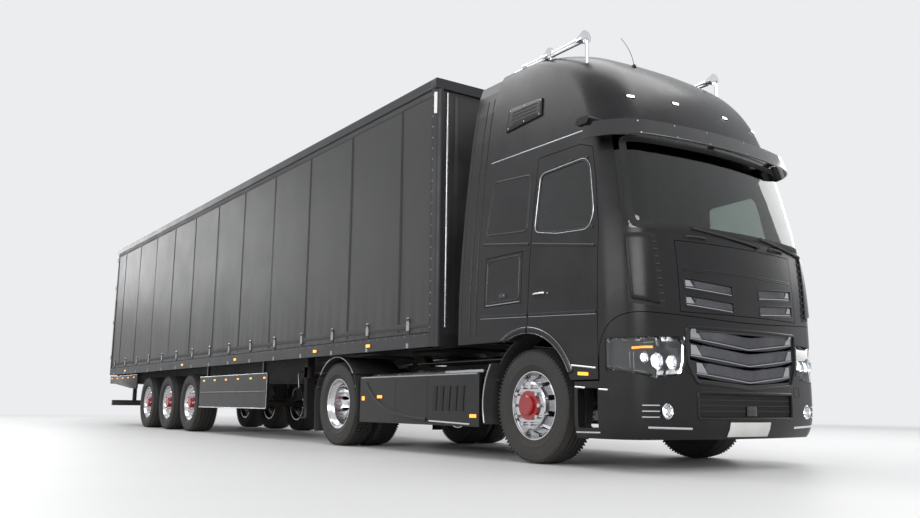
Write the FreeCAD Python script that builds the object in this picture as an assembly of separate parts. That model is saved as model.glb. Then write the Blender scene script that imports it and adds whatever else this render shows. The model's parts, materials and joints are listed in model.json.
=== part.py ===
"""Articulated lorry: a two-axle tractor unit with a high sleeper cab, and a three-axle curtain-sided semi-trailer.

Millimetres. +X is forward, +Y is the lorry's left, +Z is up. The origin is on the ground, under the middle of
the whole length and width. The trailer turns on the tractor's fifth wheel about a vertical axis, and the cab tips
forward about a pivot behind its front panel.
"""
import FreeCAD
import Part
import math
import os

from FreeCAD import Placement, Rotation, Vector

# Layout along the lorry
FRONT_OVERHANG = 1440.0
WHEELBASE = 3700.0
FIFTH_WHEEL_LEAD = 640.0
KINGPIN_SETBACK = 1600.0
KINGPIN_TO_REAR = 12000.0
KINGPIN_TO_BOGIE = 7700.0
TRAILER_AXLE_SPACING = 1310.0
OVERALL_LENGTH = FRONT_OVERHANG + WHEELBASE - FIFTH_WHEEL_LEAD + KINGPIN_TO_REAR
AXLE_X = OVERALL_LENGTH / 2 - FRONT_OVERHANG
DRIVE_X = AXLE_X - WHEELBASE
KINGPIN_X = DRIVE_X + FIFTH_WHEEL_LEAD
TRAILER_FRONT_X = KINGPIN_X + KINGPIN_SETBACK
TRAILER_REAR_X = KINGPIN_X - KINGPIN_TO_REAR
TRAILER_AXLE_XS = [KINGPIN_X - KINGPIN_TO_BOGIE + n * TRAILER_AXLE_SPACING for n in (1, 0, -1)]

# Gaps
FIT = 0.3
PANEL_GAP = 6.0
BIG = 4000.0

# Tyres, rims and hubs
TRACTOR_TYRE_R = 505.0
TRACTOR_TYRE_W = 306.0
TRAILER_TYRE_R = 498.0
TRAILER_TYRE_W = 380.0
TYRE_SHOULDER = 34.0
RIM_SEAT_R = 286.0
RIM_FLANGE_R = 302.0
RIM_WALL = 9.0
RIM_WELL_DEPTH = 30.0
TRACTOR_RIM_W = 256.0
TRAILER_RIM_W = 320.0
TRACTOR_OFFSET = 172.0
TRAILER_OFFSET = 120.0
DISC_T = 24.0
DISC_BORE_R = 120.0
DISC_FLAT_R = 200.0
HAND_HOLE_CIRCLE_R = 226.0
HAND_HOLE_R = 25.0
STUD_CIRCLE_R = 167.5
STUD_COUNT = 10
STUD_R = 17.0
STUD_LENGTH = 46.0
HUB_R = 128.0
HUB_BACK = 70.0
HUB_STEP = 22.0
HUB_CAP_R = 88.0
HUB_CAP_LENGTH = 56.0
STUB_R = 42.0
STEER_WHEEL_Y = 1020.0
KINGPIN_Y = 880.0
TWIN_Y = 894.0
TRAILER_WHEEL_Y = 1020.0

# Tractor frame
RAIL_OUTER_Y = 430.0
RAIL_FLANGE = 80.0
RAIL_WALL = 10.0
RAIL_DEPTH = 266.0
FRAME_TOP_Z = 950.0
FRAME_FRONT_LEAD = 1150.0
FRAME_TAIL = 860.0
CROSS_MEMBER_R = 62.0
COUPLING_Z = 1130.0
TAIL_BEAM_T = 60.0
TAIL_BEAM_HALF_Y = 700.0
DRAWBAR_BOLT_R = 10.5
DRAWBAR_BOLT_Y = 80.0
DRAWBAR_BOLT_Z = 50.0
DECK_FRONT_X = AXLE_X - 740.0
DECK_REAR_X = AXLE_X - 2350.0
DECK_HALF_Y = 900.0
DECK_T = 8.0

UNDERRUN_BEAM_HALF_Y = 860.0
UNDERRUN_BEAM_BOTTOM_Z = 500.0
UNDERRUN_BEAM_TOP_Z = 655.0

# Axles, springs and drive line
KINGPIN_R = 24.0
KINGPIN_H = 214.0
KING_BOSS_R = 46.0
KING_BOSS_H = 130.0
EAR_H = 36.0
SPRING_R = 2600.0
SPRING_T = 36.0
SPRING_W = 80.0
SPRING_ANGLE = 16.2
SPRING_REACH = 700.0
AXLE_TUBE_R = 76.0
DIFF_R = 205.0
BELLOWS_R = 120.0
BELLOWS_REACH = 400.0
ENGINE_REACH = 560.0
ENGINE_LEAD = 860.0
ENGINE_BOTTOM_Z = 560.0
ENGINE_TOP_Z = 1190.0
GEARBOX_REACH = 1500.0

# Tanks and skirts between the axles
TANK_OUTER_Y = 1130.0
TANK_BOTTOM_Z = 350.0
TANK_TOP_Z = 850.0
SKIRT_FRONT_X = AXLE_X - 700.0
SKIRT_REAR_X = AXLE_X - 3060.0
SKIRT_OUTER_Y = 1238.0
SKIRT_T = 40.0
SKIRT_TOP_Z = 815.0
SKIRT_BOTTOM_Z = 300.0

# Mudguards
GUARD_T = 8.0
FRONT_GUARD_R = 640.0
DRIVE_GUARD_R = 565.0
GUARD_INNER_Y = 865.0
DRIVE_GUARD_INNER_Y = 560.0
GUARD_OUTER_Y = 1236.0
STAY_R = 16.0
FLAP_T = 10.0
MUD_FLAP_BOTTOM_Z = 160.0

# Fifth wheel
COUPLING_R = 470.0
COUPLING_PLATE_T = 42.0
COUPLING_PIN_R = 25.4
COUPLING_PIN_H = 56.0

# Cab skin: height, nose ahead of the front axle, half width, corner radius in plan
CAB_STATIONS = [
    (240.0, 1362.0, 1210.0, 300.0),
    (340.0, 1420.0, 1237.0, 330.0),
    (500.0, 1440.0, 1243.0, 330.0),
    (850.0, 1440.0, 1243.0, 330.0),
    (1200.0, 1440.0, 1243.0, 330.0),
    (1600.0, 1422.0, 1236.0, 330.0),
    (2000.0, 1374.0, 1212.0, 330.0),
    (2400.0, 1290.0, 1176.0, 335.0),
    (2800.0, 1185.0, 1134.0, 345.0),
    (3150.0, 1050.0, 1090.0, 360.0),
    (3450.0, 860.0, 1044.0, 390.0),
    (3680.0, 590.0, 995.0, 430.0),
    (3800.0, 330.0, 950.0, 450.0),
    (3850.0, 120.0, 915.0, 450.0),
]
BOW_R = 4200.0
CAB_REAR_X = AXLE_X - 720.0
CAB_WALL = 95.0
DOOR_DEPTH = 70.0
REBATE = 28.0
CAB_TOP_Z = 2860.0
FLOOR_TOP_Z = 1300.0
FLOOR_T = 60.0
SIDE_BOTTOM_Z = 1085.0
DOOR_BOTTOM_Z = 712.0
DOOR_TOP_Z = 2760.0
DOOR_FRONT_X = AXLE_X + 930.0
DOOR_REAR_X = AXLE_X + 24.0
DOOR_TOP_REAR_X = AXLE_X + 74.0
ARCH_R = 630.0
TILT_X = AXLE_X + 1280.0
TILT_Z = 900.0
TILT_SWEEP_R = 340.0
TILT_PIN_R = 22.0
TILT_ARM_Y = 446.0
TILT_ARM_T = 40.0
TILT_ELBOW_X = 330.0
DEFLECTOR_LENGTH = 330.0
DEFLECTOR_T = 35.0
GLASS_T = 6.0
GLASS_INSET = 5.0

ROOF_WALL = 60.0
VISOR_REACH = 130.0
VISOR_T = 9.0
VISOR_TOP_Z = 2880.0
VISOR_BOTTOM_Z = 2735.0
VISOR_REAR_X = AXLE_X + 800.0
LOCKER_TOP_Z = 1900.0
LOCKER_BOTTOM_Z = 1420.0
LOCKER_FRONT_X = AXLE_X - 60.0
LOCKER_REAR_X = AXLE_X - 620.0
LOCKER_DEPTH = 45.0
SCREEN_TOP_Z = 2800.0
VISOR_WEB_Y = 960.0
UPPER_SLOT_COUNT = 2
UPPER_SLOT_PITCH = 140.0
UPPER_SLOT_RISE = 55.0
UPPER_SLOT_SAG = 34.0
UPPER_SLOT_INNER_Y = 170.0
UPPER_SLOT_OUTER_Y = 700.0
UPPER_SLOT_H = 84.0
DASH_HALF_Y = 1060.0
HORN_BELL_R = 66.0
HORN_RAIL_Y = 905.0
HORN_RAIL_R = 17.0
HORN_RAIL_Z = 3840.0
HORN_RAIL_FOOT_Z = 3600.0
HORN_RAIL_FRONT_X = AXLE_X + 520.0
HORN_RAIL_REAR_X = AXLE_X - 560.0
MIRROR_CAM_Y = 1270.0
DASH_DEPTH = 330.0
DASH_TOP_Z = 1880.0
SEAT_Y = 640.0
SEAT_W = 500.0
BUNK_TOP_Z = 1780.0
BUNK_LENGTH = 600.0
STEERING_R = 215.0
STEERING_TUBE_R = 16.0

# Windows, as (ahead of the front axle, height) and (across, height)
SIDE_WINDOW = [(AXLE_X + x, z) for x, z in ((115.0, 2060.0), (145.0, 2580.0), (700.0, 2600.0), (770.0, 2530.0),
                                            (845.0, 2110.0), (790.0, 1985.0), (420.0, 2010.0))]
SCREEN = [(-1140.0, 1930.0), (-1155.0, 2080.0), (-1075.0, 2800.0), (1075.0, 2800.0), (1155.0, 2080.0),
          (1140.0, 1930.0)]
SCREEN_REAR_X = AXLE_X + 800.0
WINDOW_CORNER = 45.0

# Front flap, lower grille, lamps
HEADLAMP = [(712.0, 1060.0), (1300.0, 1040.0), (1300.0, 800.0), (1010.0, 722.0), (780.0, 745.0), (712.0, 850.0)]
HEADLAMP_REAR_X = AXLE_X + 1010.0
LAMP_DEPTH = 62.0
FLAP_HALF_Y = 760.0
FLAP_TOP_Z = 1850.0
FLAP_BOTTOM_Z = 1255.0
FLAP_DEPTH = 40.0
GRILLE_HALF_Y = 700.0
GRILLE_TOP_Z = 1130.0
GRILLE_BOTTOM_Z = 660.0
GRILLE_DEPTH = 60.0
SLAT_COUNT = 3
SLAT_T = 16.0
BUMPER_BOTTOM_Z = 248.0
BUMPER_DEPTH = 70.0
BUMPER_REAR_X = AXLE_X + 640.0
BUMPER_SIDE_TOP_Z = 702.0
MESH_HALF_Y = 600.0
MESH_TOP_Z = 610.0
MESH_BOTTOM_Z = 425.0
FOG_Y = 905.0
FOG_Z = 470.0
FOG_R = 62.0
STEP_FRONT_X = AXLE_X + 925.0
STEP_INNER_Y = 880.0
STEP_T = 22.0
STEP_LOW_Z = 330.0
STEP_HIGH_Z = 650.0

# Trailer body
TRAILER_HALF_Y = 1275.0
TRAILER_TOP_Z = 4000.0
DECK_Z = 1250.0
BOARD_T = 28.0
RAVE_BOTTOM_Z = 1096.0
RAVE_W = 40.0
RAVE_STEP = 8.0
ROOF_RAIL_H = 110.0
ROOF_RAIL_W = 60.0
ROOF_SKIN_T = 6.0
POST_W = 90.0
HEADBOARD_T = 32.0
CURTAIN_T = 6.0
CURTAIN_INSET = 12.0
DOOR_T = 40.0
HINGE_SET = 14.0
HINGE_GAP = 5.0
REAR_FRAME_X = TRAILER_REAR_X + HINGE_SET + DOOR_T + 2 * HINGE_GAP + 2.0
DOOR_HINGE_Y = TRAILER_HALF_Y - 12.0
BEAM_Y = 650.0
BEAM_FLANGE = 130.0
BEAM_WALL = 12.0
BEAM_BOTTOM_Z = 790.0
NECK_LENGTH = 2900.0
CROSS_PITCH = 600.0
CROSS_W = 40.0
CROSS_H = 70.0
CROSS_BOTTOM_Z = DECK_Z - BOARD_T - CROSS_H
CROSS_FIRST_X = TRAILER_FRONT_X - POST_W - 300.0
REAR_POST_W = 95.0
REAR_POST_T = 70.0
REAR_HEADER_H = 130.0
CENTRE_GAP = 3.0
HINGE_PIN_R = 7.0
HINGE_BARREL_R = 11.0
HINGE_BARREL_H = 50.0
HINGE_LUG_H = 20.0
HINGE_ZS = [1500.0, 2300.0, 3100.0, 3750.0]
TRAILER_TUBE_R = 64.0
HANGER_LEAD = 480.0
LEG_SETBACK = 2380.0
LEG_Y = 720.0
LEG_W = 110.0
LEG_FOOT_Z = 300.0
GUARD_FRONT_X = KINGPIN_X - 2750.0
GUARD_REAR_X = KINGPIN_X - 5650.0
GUARD_FACE_Y = 1262.0
GUARD_FACE_T = 30.0
GUARD_TOP_Z = 930.0
GUARD_BOTTOM_Z = 420.0
UNDERRUN_Z = 480.0
UNDERRUN_H = 120.0


def box(x0, x1, y0, y1, z0, z1):
    return Part.makeBox(x1 - x0, y1 - y0, z1 - z0, Vector(x0, y0, z0))


def plate(points, axis, start, end, corner=0.0, grow=0.0):
    """Polygon seen along one axis, carried along it from start to end.

    Points are (x, z) along "y", (y, z) along "x" and (x, y) along "z". Corners are rounded by corner, and the
    outline is grown by grow, or drawn in where that is negative.
    """
    spread = {"x": lambda a, b: Vector(start, a, b), "y": lambda a, b: Vector(a, start, b),
              "z": lambda a, b: Vector(a, b, start)}[axis]
    wire = Part.makePolygon([spread(a, b) for a, b in points + points[:1]])
    if corner or grow:
        wire = wire.makeOffset2D(grow - corner, 2)
    if corner:
        wire = wire.makeOffset2D(corner, 0)
    run = {"x": Vector(end - start, 0, 0), "y": Vector(0, end - start, 0), "z": Vector(0, 0, end - start)}[axis]
    return Part.Face(wire).extrude(run)


def rod_y(radius, y0, y1, x, z):
    return Part.makeCylinder(radius, y1 - y0, Vector(x, y0, z), Vector(0, 1, 0))


def rod_x(radius, x0, x1, y, z):
    return Part.makeCylinder(radius, x1 - x0, Vector(x0, y, z), Vector(1, 0, 0))


def rod_z(radius, z0, z1, x, y):
    return Part.makeCylinder(radius, z1 - z0, Vector(x, y, z0), Vector(0, 0, 1))


def turned(points):
    """Revolve a closed (radius, y) outline about the Y axis."""
    wire = Part.makePolygon([Vector(r, y, 0) for r, y in points + points[:1]])
    return Part.Face(wire).revolve(Vector(0, 0, 0), Vector(0, 1, 0), 360)


def moved(shape, x=0.0, y=0.0, z=0.0):
    copy = shape.copy()
    copy.translate(Vector(x, y, z))
    return copy


def other_side(shape):
    return shape.mirror(Vector(0, 0, 0), Vector(0, 1, 0))


def both_sides(shape):
    return [shape, other_side(shape)]


def joined(shapes):
    return shapes[0].multiFuse(shapes[1:]).removeSplitter() if len(shapes) > 1 else shapes[0]


def group(shapes):
    """Solids that don't touch, in one sub-part."""
    solids = []
    for shape in shapes:
        solids.extend(shape.Solids)
    return Part.makeCompound(solids)


def arc_band(radius_in, radius_out, start, end, y0, y1, x, z):
    """Part of a ring about a cross axis at (x, z); angles in degrees from forward, rising over the top."""
    def at(radius, angle):
        turn = math.radians(angle)
        return Vector(x + radius * math.cos(turn), y0, z + radius * math.sin(turn))
    middle = (start + end) / 2
    edges = [
        Part.Arc(at(radius_out, start), at(radius_out, middle), at(radius_out, end)).toShape(),
        Part.LineSegment(at(radius_out, end), at(radius_in, end)).toShape(),
        Part.Arc(at(radius_in, end), at(radius_in, middle), at(radius_in, start)).toShape(),
        Part.LineSegment(at(radius_in, start), at(radius_out, start)).toShape(),
    ]
    return Part.Face(Part.Wire(edges)).extrude(Vector(0, y1 - y0, 0))


def plan_wire(station, inset):
    """Plan outline of the cab at one height: flat rear, straight sides, round corners and a bowed front."""
    z, nose, half, corner = station
    rear = CAB_REAR_X + inset
    nose_x = AXLE_X + nose - inset
    half_y = half - inset
    corner_r = corner - inset
    bow_r = BOW_R - inset
    bow_x = nose_x - bow_r
    corner_y = half_y - corner_r
    corner_x = bow_x + math.sqrt((bow_r - corner_r) ** 2 - corner_y ** 2)
    turn = math.atan2(corner_y, corner_x - bow_x)
    joint = (bow_x + bow_r * math.cos(turn), bow_r * math.sin(turn))
    middle_turn = (math.pi / 2 + turn) / 2
    crown = (corner_x + corner_r * math.cos(middle_turn), corner_y + corner_r * math.sin(middle_turn))
    left = [Vector(x, y, z) for x, y in ((rear, half_y), (corner_x, half_y), crown, joint)]
    right = [Vector(x, -y, z) for x, y in ((rear, half_y), (corner_x, half_y), crown, joint)]
    edges = [
        Part.LineSegment(right[0], right[1]).toShape(),
        Part.Arc(right[1], right[2], right[3]).toShape(),
        Part.Arc(right[3], Vector(nose_x, 0, z), left[3]).toShape(),
        Part.Arc(left[3], left[2], left[1]).toShape(),
        Part.LineSegment(left[1], left[0]).toShape(),
        Part.LineSegment(left[0], right[0]).toShape(),
    ]
    return Part.Wire(edges)


CAB_FORMS = {}


def cab_form(inset):
    """The whole front form of the tractor, drawn in by inset on every side but top and bottom."""
    if inset not in CAB_FORMS:
        CAB_FORMS[inset] = Part.makeLoft([plan_wire(station, inset) for station in CAB_STATIONS], True, False)
    return CAB_FORMS[inset]


def cab_skin(outer, inner):
    """The layer of the cab's wall between two depths."""
    return cab_form(outer).cut(cab_form(inner))


def low_front_skin(outer, inner):
    """The same layer, only round the front end below the cab."""
    zone = box(AXLE_X + 500.0, BIG * 3, -BIG, BIG, 0.0, TILT_Z + TILT_SWEEP_R + 20.0)
    return cab_form(outer).common(zone).cut(cab_form(inner))


# Wheels

def rim(half_w, offset):
    """Drop-centre rim with its dished disc; the disc's mounting face lies offset outboard of the middle."""
    well_r = RIM_SEAT_R - RIM_WELL_DEPTH
    inner_r = well_r - RIM_WALL
    seat = half_w - 44.0
    well = half_w - 70.0
    tip = RIM_FLANGE_R - RIM_WALL
    return turned([
        (RIM_FLANGE_R, -half_w), (RIM_FLANGE_R, -half_w + RIM_WALL), (RIM_SEAT_R, -half_w + 14.0),
        (RIM_SEAT_R, -seat), (well_r, -well), (well_r, well), (RIM_SEAT_R, seat), (RIM_SEAT_R, half_w - 14.0),
        (RIM_FLANGE_R, half_w - RIM_WALL), (RIM_FLANGE_R, half_w), (tip, half_w), (inner_r + 28.0, seat),
        (inner_r, well), (DISC_FLAT_R + 8.0, offset - 8.0), (DISC_FLAT_R - 6.0, offset), (DISC_BORE_R, offset),
        (DISC_BORE_R, offset - DISC_T), (DISC_FLAT_R - 12.0, offset - DISC_T), (inner_r, well - 30.0),
        (inner_r, -well), (inner_r + 28.0, -seat), (tip, -half_w),
    ])


def hand_holes(offset):
    """Round holes through the dished part of the disc."""
    holes = []
    for n in range(STUD_COUNT):
        hole = rod_y(HAND_HOLE_R, 0.0, offset + DISC_T, 0.0, HAND_HOLE_CIRCLE_R)
        hole.rotate(Vector(0, 0, 0), Vector(0, 1, 0), 360.0 / STUD_COUNT * n)
        holes.append(hole)
    return holes


def studs(face_y):
    """Covered wheel nuts round the hub."""
    covers = []
    for n in range(STUD_COUNT):
        cover = rod_y(STUD_R, face_y - 2.0, face_y + STUD_LENGTH, 0.0, STUD_CIRCLE_R)
        cover.rotate(Vector(0, 0, 0), Vector(0, 1, 0), 360.0 / STUD_COUNT * (n + 0.5))
        covers.append(cover)
    return covers


def hub(back_y, face_y, bore_end_y):
    """Hub with a stepped cap outside and a blind bore for the stub axle inside."""
    bore_r = STUB_R + FIT
    return turned([
        (0.0, face_y + HUB_CAP_LENGTH), (HUB_CAP_R - 12.0, face_y + HUB_CAP_LENGTH),
        (HUB_CAP_R, face_y + HUB_CAP_LENGTH - 12.0), (HUB_CAP_R, face_y + HUB_STEP), (HUB_R, face_y + HUB_STEP),
        (HUB_R, back_y), (bore_r, back_y), (bore_r, bore_end_y), (0.0, bore_end_y),
    ])


def tyre(radius, width, rim_half_w):
    half = width / 2
    bead = rim_half_w - RIM_WALL - 1.0
    foot_r = RIM_SEAT_R + FIT
    side_r = (radius + RIM_FLANGE_R) / 2
    return turned([
        (foot_r, -bead + 5.0), (RIM_FLANGE_R + 4.0, -bead), (RIM_FLANGE_R + 30.0, -half + 14.0),
        (side_r, -half), (radius - TYRE_SHOULDER, -half + 6.0), (radius - 8.0, -half + TYRE_SHOULDER),
        (radius, -half + 80.0), (radius, half - 80.0), (radius - 8.0, half - TYRE_SHOULDER),
        (radius - TYRE_SHOULDER, half - 6.0), (side_r, half), (RIM_FLANGE_R + 30.0, half - 14.0),
        (RIM_FLANGE_R + 4.0, bead), (foot_r, bead - 5.0), (foot_r, half - 100.0),
        (foot_r + 60.0, half - 60.0), (radius - 40.0, half - 60.0), (radius - 40.0, -half + 60.0),
        (foot_r + 60.0, -half + 60.0), (foot_r, -half + 100.0),
    ])


def single_wheel(tyre_r, tyre_w, rim_w, offset, x, y):
    disc = rim(rim_w / 2, offset).cut(Part.makeCompound(hand_holes(offset)))
    metal = joined([disc, hub(offset - DISC_T - HUB_BACK, offset, offset + HUB_STEP)] + studs(offset))
    return [moved(part, x, y, tyre_r) for part in (metal, tyre(tyre_r, tyre_w, rim_w / 2))]


def twin_wheel(x):
    """Inner and outer wheels bolted disc to disc on one hub."""
    rim_inner = rim(TRACTOR_RIM_W / 2, TRACTOR_OFFSET)
    rim_outer = moved(rim_inner.mirror(Vector(0, 0, 0), Vector(0, 1, 0)), y=2 * TRACTOR_OFFSET)
    discs = rim_inner.fuse(rim_outer).cut(Part.makeCompound(
        hand_holes(TRACTOR_OFFSET) + [moved(hole, y=TRACTOR_OFFSET) for hole in hand_holes(TRACTOR_OFFSET)]))
    face_y = TRACTOR_OFFSET + DISC_T
    centre = hub(TRACTOR_OFFSET - DISC_T - HUB_BACK, face_y, face_y + HUB_STEP)
    metal = joined([discs, centre] + studs(face_y))
    rubber = tyre(TRACTOR_TYRE_R, TRACTOR_TYRE_W, TRACTOR_RIM_W / 2)
    parts = [metal, rubber, moved(rubber, y=2 * TRACTOR_OFFSET)]
    return [moved(part, x, TWIN_Y - TRACTOR_OFFSET, TRACTOR_TYRE_R) for part in parts]


def wheel_nodes():
    nodes = {}
    front = single_wheel(TRACTOR_TYRE_R, TRACTOR_TYRE_W, TRACTOR_RIM_W, TRACTOR_OFFSET, AXLE_X, STEER_WHEEL_Y)
    sets = {"wheel_front": front, "wheel_drive": twin_wheel(DRIVE_X)}
    trailer = single_wheel(TRAILER_TYRE_R, TRAILER_TYRE_W, TRAILER_RIM_W, TRAILER_OFFSET, 0.0, TRAILER_WHEEL_Y)
    for n, x in enumerate(TRAILER_AXLE_XS):
        sets["wheel_trailer_%d" % (n + 1)] = [moved(part, x) for part in trailer]
    for name, parts in sets.items():
        nodes[name + "_left"] = group(parts)
        nodes[name + "_right"] = group([other_side(part) for part in parts])
    return nodes


# Tractor chassis

def channel(x0, x1, outer_y, top_z, depth, flange, wall):
    """C-section rail, open towards the middle of the vehicle."""
    solid = box(x0, x1, outer_y - flange, outer_y, top_z - depth, top_z)
    return solid.cut(box(x0, x1, outer_y - flange, outer_y - wall, top_z - depth + wall, top_z - wall))


def frame_node():
    tail_x = DRIVE_X - FRAME_TAIL
    front_x = AXLE_X + FRAME_FRONT_LEAD
    rails = both_sides(channel(tail_x, front_x, RAIL_OUTER_Y, FRAME_TOP_Z, RAIL_DEPTH, RAIL_FLANGE, RAIL_WALL))
    web_y = RAIL_OUTER_Y - RAIL_WALL / 2
    middle_z = FRAME_TOP_Z - RAIL_DEPTH / 2
    members = [rod_y(CROSS_MEMBER_R, -web_y, web_y, x, middle_z)
               for x in (front_x - 80.0, AXLE_X - GEARBOX_REACH - 100.0, DRIVE_X + 700.0, DRIVE_X - 620.0)]
    tail = box(tail_x - TAIL_BEAM_T, tail_x, -TAIL_BEAM_HALF_Y, TAIL_BEAM_HALF_Y, middle_z - 80.0, middle_z + 80.0)
    for y in (-DRAWBAR_BOLT_Y, DRAWBAR_BOLT_Y):
        for rise in (-DRAWBAR_BOLT_Z, DRAWBAR_BOLT_Z):
            tail = tail.cut(rod_x(DRAWBAR_BOLT_R, tail_x - TAIL_BEAM_T, tail_x, y, middle_z + rise))
    pivots = []
    for side in (1, -1):
        cheek = plate([(front_x - 250.0, middle_z - 90.0), (front_x - 250.0, middle_z + 90.0),
                       (TILT_X + 30.0, TILT_Z + 40.0), (TILT_X + 40.0, TILT_Z - 40.0)], "y",
                      side * (RAIL_OUTER_Y - RAIL_WALL), side * (RAIL_OUTER_Y - RAIL_WALL - 30.0))
        pin = rod_y(TILT_PIN_R, RAIL_OUTER_Y - RAIL_WALL - 20.0, TILT_ARM_Y + TILT_ARM_T + 12.0, TILT_X, TILT_Z)
        pivots += [cheek, pin if side > 0 else other_side(pin)]
    deck = box(DECK_REAR_X, DECK_FRONT_X, -DECK_HALF_Y, DECK_HALF_Y, FRAME_TOP_Z - 1.0, FRAME_TOP_Z + DECK_T)
    return joined(rails + members + [tail, deck, underrun_beam(front_x)] + pivots)


def underrun_beam(rail_end_x):
    """Front cross beam that carries the bumper, hung from the ends of the rails."""
    beam = box(rail_end_x + 40.0, BIG * 3, -UNDERRUN_BEAM_HALF_Y, UNDERRUN_BEAM_HALF_Y, UNDERRUN_BEAM_BOTTOM_Z,
               UNDERRUN_BEAM_TOP_Z)
    beam = beam.common(cab_form(BUMPER_DEPTH + FIT))
    drop = box(rail_end_x - 30.0, rail_end_x + 80.0, RAIL_OUTER_Y - RAIL_FLANGE, RAIL_OUTER_Y - RAIL_WALL,
               UNDERRUN_BEAM_BOTTOM_Z, FRAME_TOP_Z - RAIL_WALL)
    return joined([beam] + both_sides(drop))


def front_axle_node():
    pad_top = TRACTOR_TYRE_R + 40.0
    beam = box(AXLE_X - 50.0, AXLE_X + 50.0, -KINGPIN_Y + 40.0, KINGPIN_Y - 40.0, pad_top - 80.0, pad_top)
    waist = box(AXLE_X - 50.0, AXLE_X + 50.0, -KINGPIN_Y + 90.0, KINGPIN_Y - 90.0, pad_top - 58.0, pad_top - 22.0)
    beam = beam.cut(waist.cut(box(AXLE_X - 12.0, AXLE_X + 12.0, -BIG, BIG, 0.0, BIG)))
    parts = [beam]
    for side in (1, -1):
        y = side * KINGPIN_Y
        parts.append(rod_z(KING_BOSS_R, TRACTOR_TYRE_R - KING_BOSS_H / 2, TRACTOR_TYRE_R + KING_BOSS_H / 2, AXLE_X, y))
        parts.append(rod_z(KINGPIN_R, TRACTOR_TYRE_R - KINGPIN_H / 2, TRACTOR_TYRE_R + KINGPIN_H / 2, AXLE_X, y))
    rail_bottom = FRAME_TOP_Z - RAIL_DEPTH
    for side in (1, -1):
        low, high = sorted((side * (RAIL_OUTER_Y - SPRING_W), side * RAIL_OUTER_Y))
        centre_z = pad_top - 1.0 + SPRING_R + SPRING_T
        parts.append(arc_band(SPRING_R, SPRING_R + SPRING_T, 270.0 - SPRING_ANGLE, 270.0 + SPRING_ANGLE,
                              low, high, AXLE_X, centre_z))
        for reach in (-1, 1):
            x = AXLE_X + reach * SPRING_REACH
            parts.append(box(x - 45.0, x + 45.0, low, high, rail_bottom - 50.0, rail_bottom))
    return joined(parts)


def knuckle(side):
    """Fork round the kingpin, with the stub axle that carries the wheel."""
    ears = []
    for centre_z in (TRACTOR_TYRE_R + (KING_BOSS_H + EAR_H) / 2 + 1.0, TRACTOR_TYRE_R - (KING_BOSS_H + EAR_H) / 2 - 1.0):
        ear = rod_z(KING_BOSS_R, centre_z - EAR_H / 2, centre_z + EAR_H / 2, AXLE_X, KINGPIN_Y)
        root = box(AXLE_X - 44.0, AXLE_X + 44.0, KINGPIN_Y, KINGPIN_Y + 90.0, centre_z - EAR_H / 2, centre_z + EAR_H / 2)
        ears.append(ear.fuse(root))
    reach_z = KING_BOSS_H / 2 + EAR_H + 1.0
    back_y = KINGPIN_Y + KING_BOSS_R + 6.0
    upright = box(AXLE_X - 44.0, AXLE_X + 44.0, back_y, back_y + 34.0, TRACTOR_TYRE_R - reach_z,
                  TRACTOR_TYRE_R + reach_z)
    stub = rod_y(STUB_R, back_y + 10.0, STEER_WHEEL_Y + TRACTOR_OFFSET + HUB_STEP - 4.0, AXLE_X, TRACTOR_TYRE_R)
    shape = joined(ears + [upright, stub])
    shape = shape.cut(rod_z(KINGPIN_R + FIT, 0.0, BIG, AXLE_X, KINGPIN_Y))
    return shape if side > 0 else other_side(shape)


def drive_axle_node():
    z = TRACTOR_TYRE_R
    inner_y = TWIN_Y - DISC_T - HUB_BACK - 2.0
    tube = rod_y(AXLE_TUBE_R, -inner_y + 60.0, inner_y - 60.0, DRIVE_X, z)
    stubs = rod_y(STUB_R, -TWIN_Y - DISC_T - HUB_STEP + 4.0, TWIN_Y + DISC_T + HUB_STEP - 4.0, DRIVE_X, z)
    casing = Part.makeSphere(DIFF_R, Vector(DRIVE_X, 0, z))
    nose = rod_x(92.0, DRIVE_X + 100.0, DRIVE_X + 330.0, 0.0, z + 20.0)
    shaft = Part.makeCylinder(46.0, 1.0)
    start = Vector(DRIVE_X + 320.0, 0.0, z + 20.0)
    end = Vector(AXLE_X - GEARBOX_REACH, 0.0, ENGINE_BOTTOM_Z + 150.0)
    run = end - start
    shaft = Part.makeCylinder(46.0, run.Length, start, run)
    shaft = shaft.common(box(-BIG * 3, AXLE_X - GEARBOX_REACH, -BIG, BIG, 0.0, BIG))
    parts = [tube, stubs, casing, nose, shaft]
    for side in (1, -1):
        y = side * (RAIL_OUTER_Y - RAIL_FLANGE / 2)
        parts.append(box(DRIVE_X - BELLOWS_REACH - 40.0, DRIVE_X + BELLOWS_REACH + 40.0, y - 38.0, y + 38.0,
                         z - AXLE_TUBE_R - 40.0, z - AXLE_TUBE_R + 20.0))
        for reach in (-1, 1):
            parts.append(rod_z(BELLOWS_R, z - AXLE_TUBE_R + 18.0, FRAME_TOP_Z - RAIL_DEPTH,
                               DRIVE_X + reach * BELLOWS_REACH, y))
    return joined(parts)


def engine_node():
    width = RAIL_OUTER_Y - RAIL_FLANGE - FIT
    engine = box(AXLE_X - ENGINE_REACH, AXLE_X + ENGINE_LEAD, -width, width, ENGINE_BOTTOM_Z, ENGINE_TOP_Z)
    gearbox = box(AXLE_X - GEARBOX_REACH, AXLE_X - ENGINE_REACH, -230.0, 230.0, ENGINE_BOTTOM_Z, FRAME_TOP_Z - 40.0)
    return joined([engine, gearbox])


def tank(x0, x1, side, corner=60.0):
    low, high = sorted((side * (RAIL_OUTER_Y + FIT), side * TANK_OUTER_Y))
    return plate([(low, TANK_BOTTOM_Z), (high, TANK_BOTTOM_Z), (high, TANK_TOP_Z), (low, TANK_TOP_Z)], "x",
                 x0, x1, corner=corner)


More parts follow.
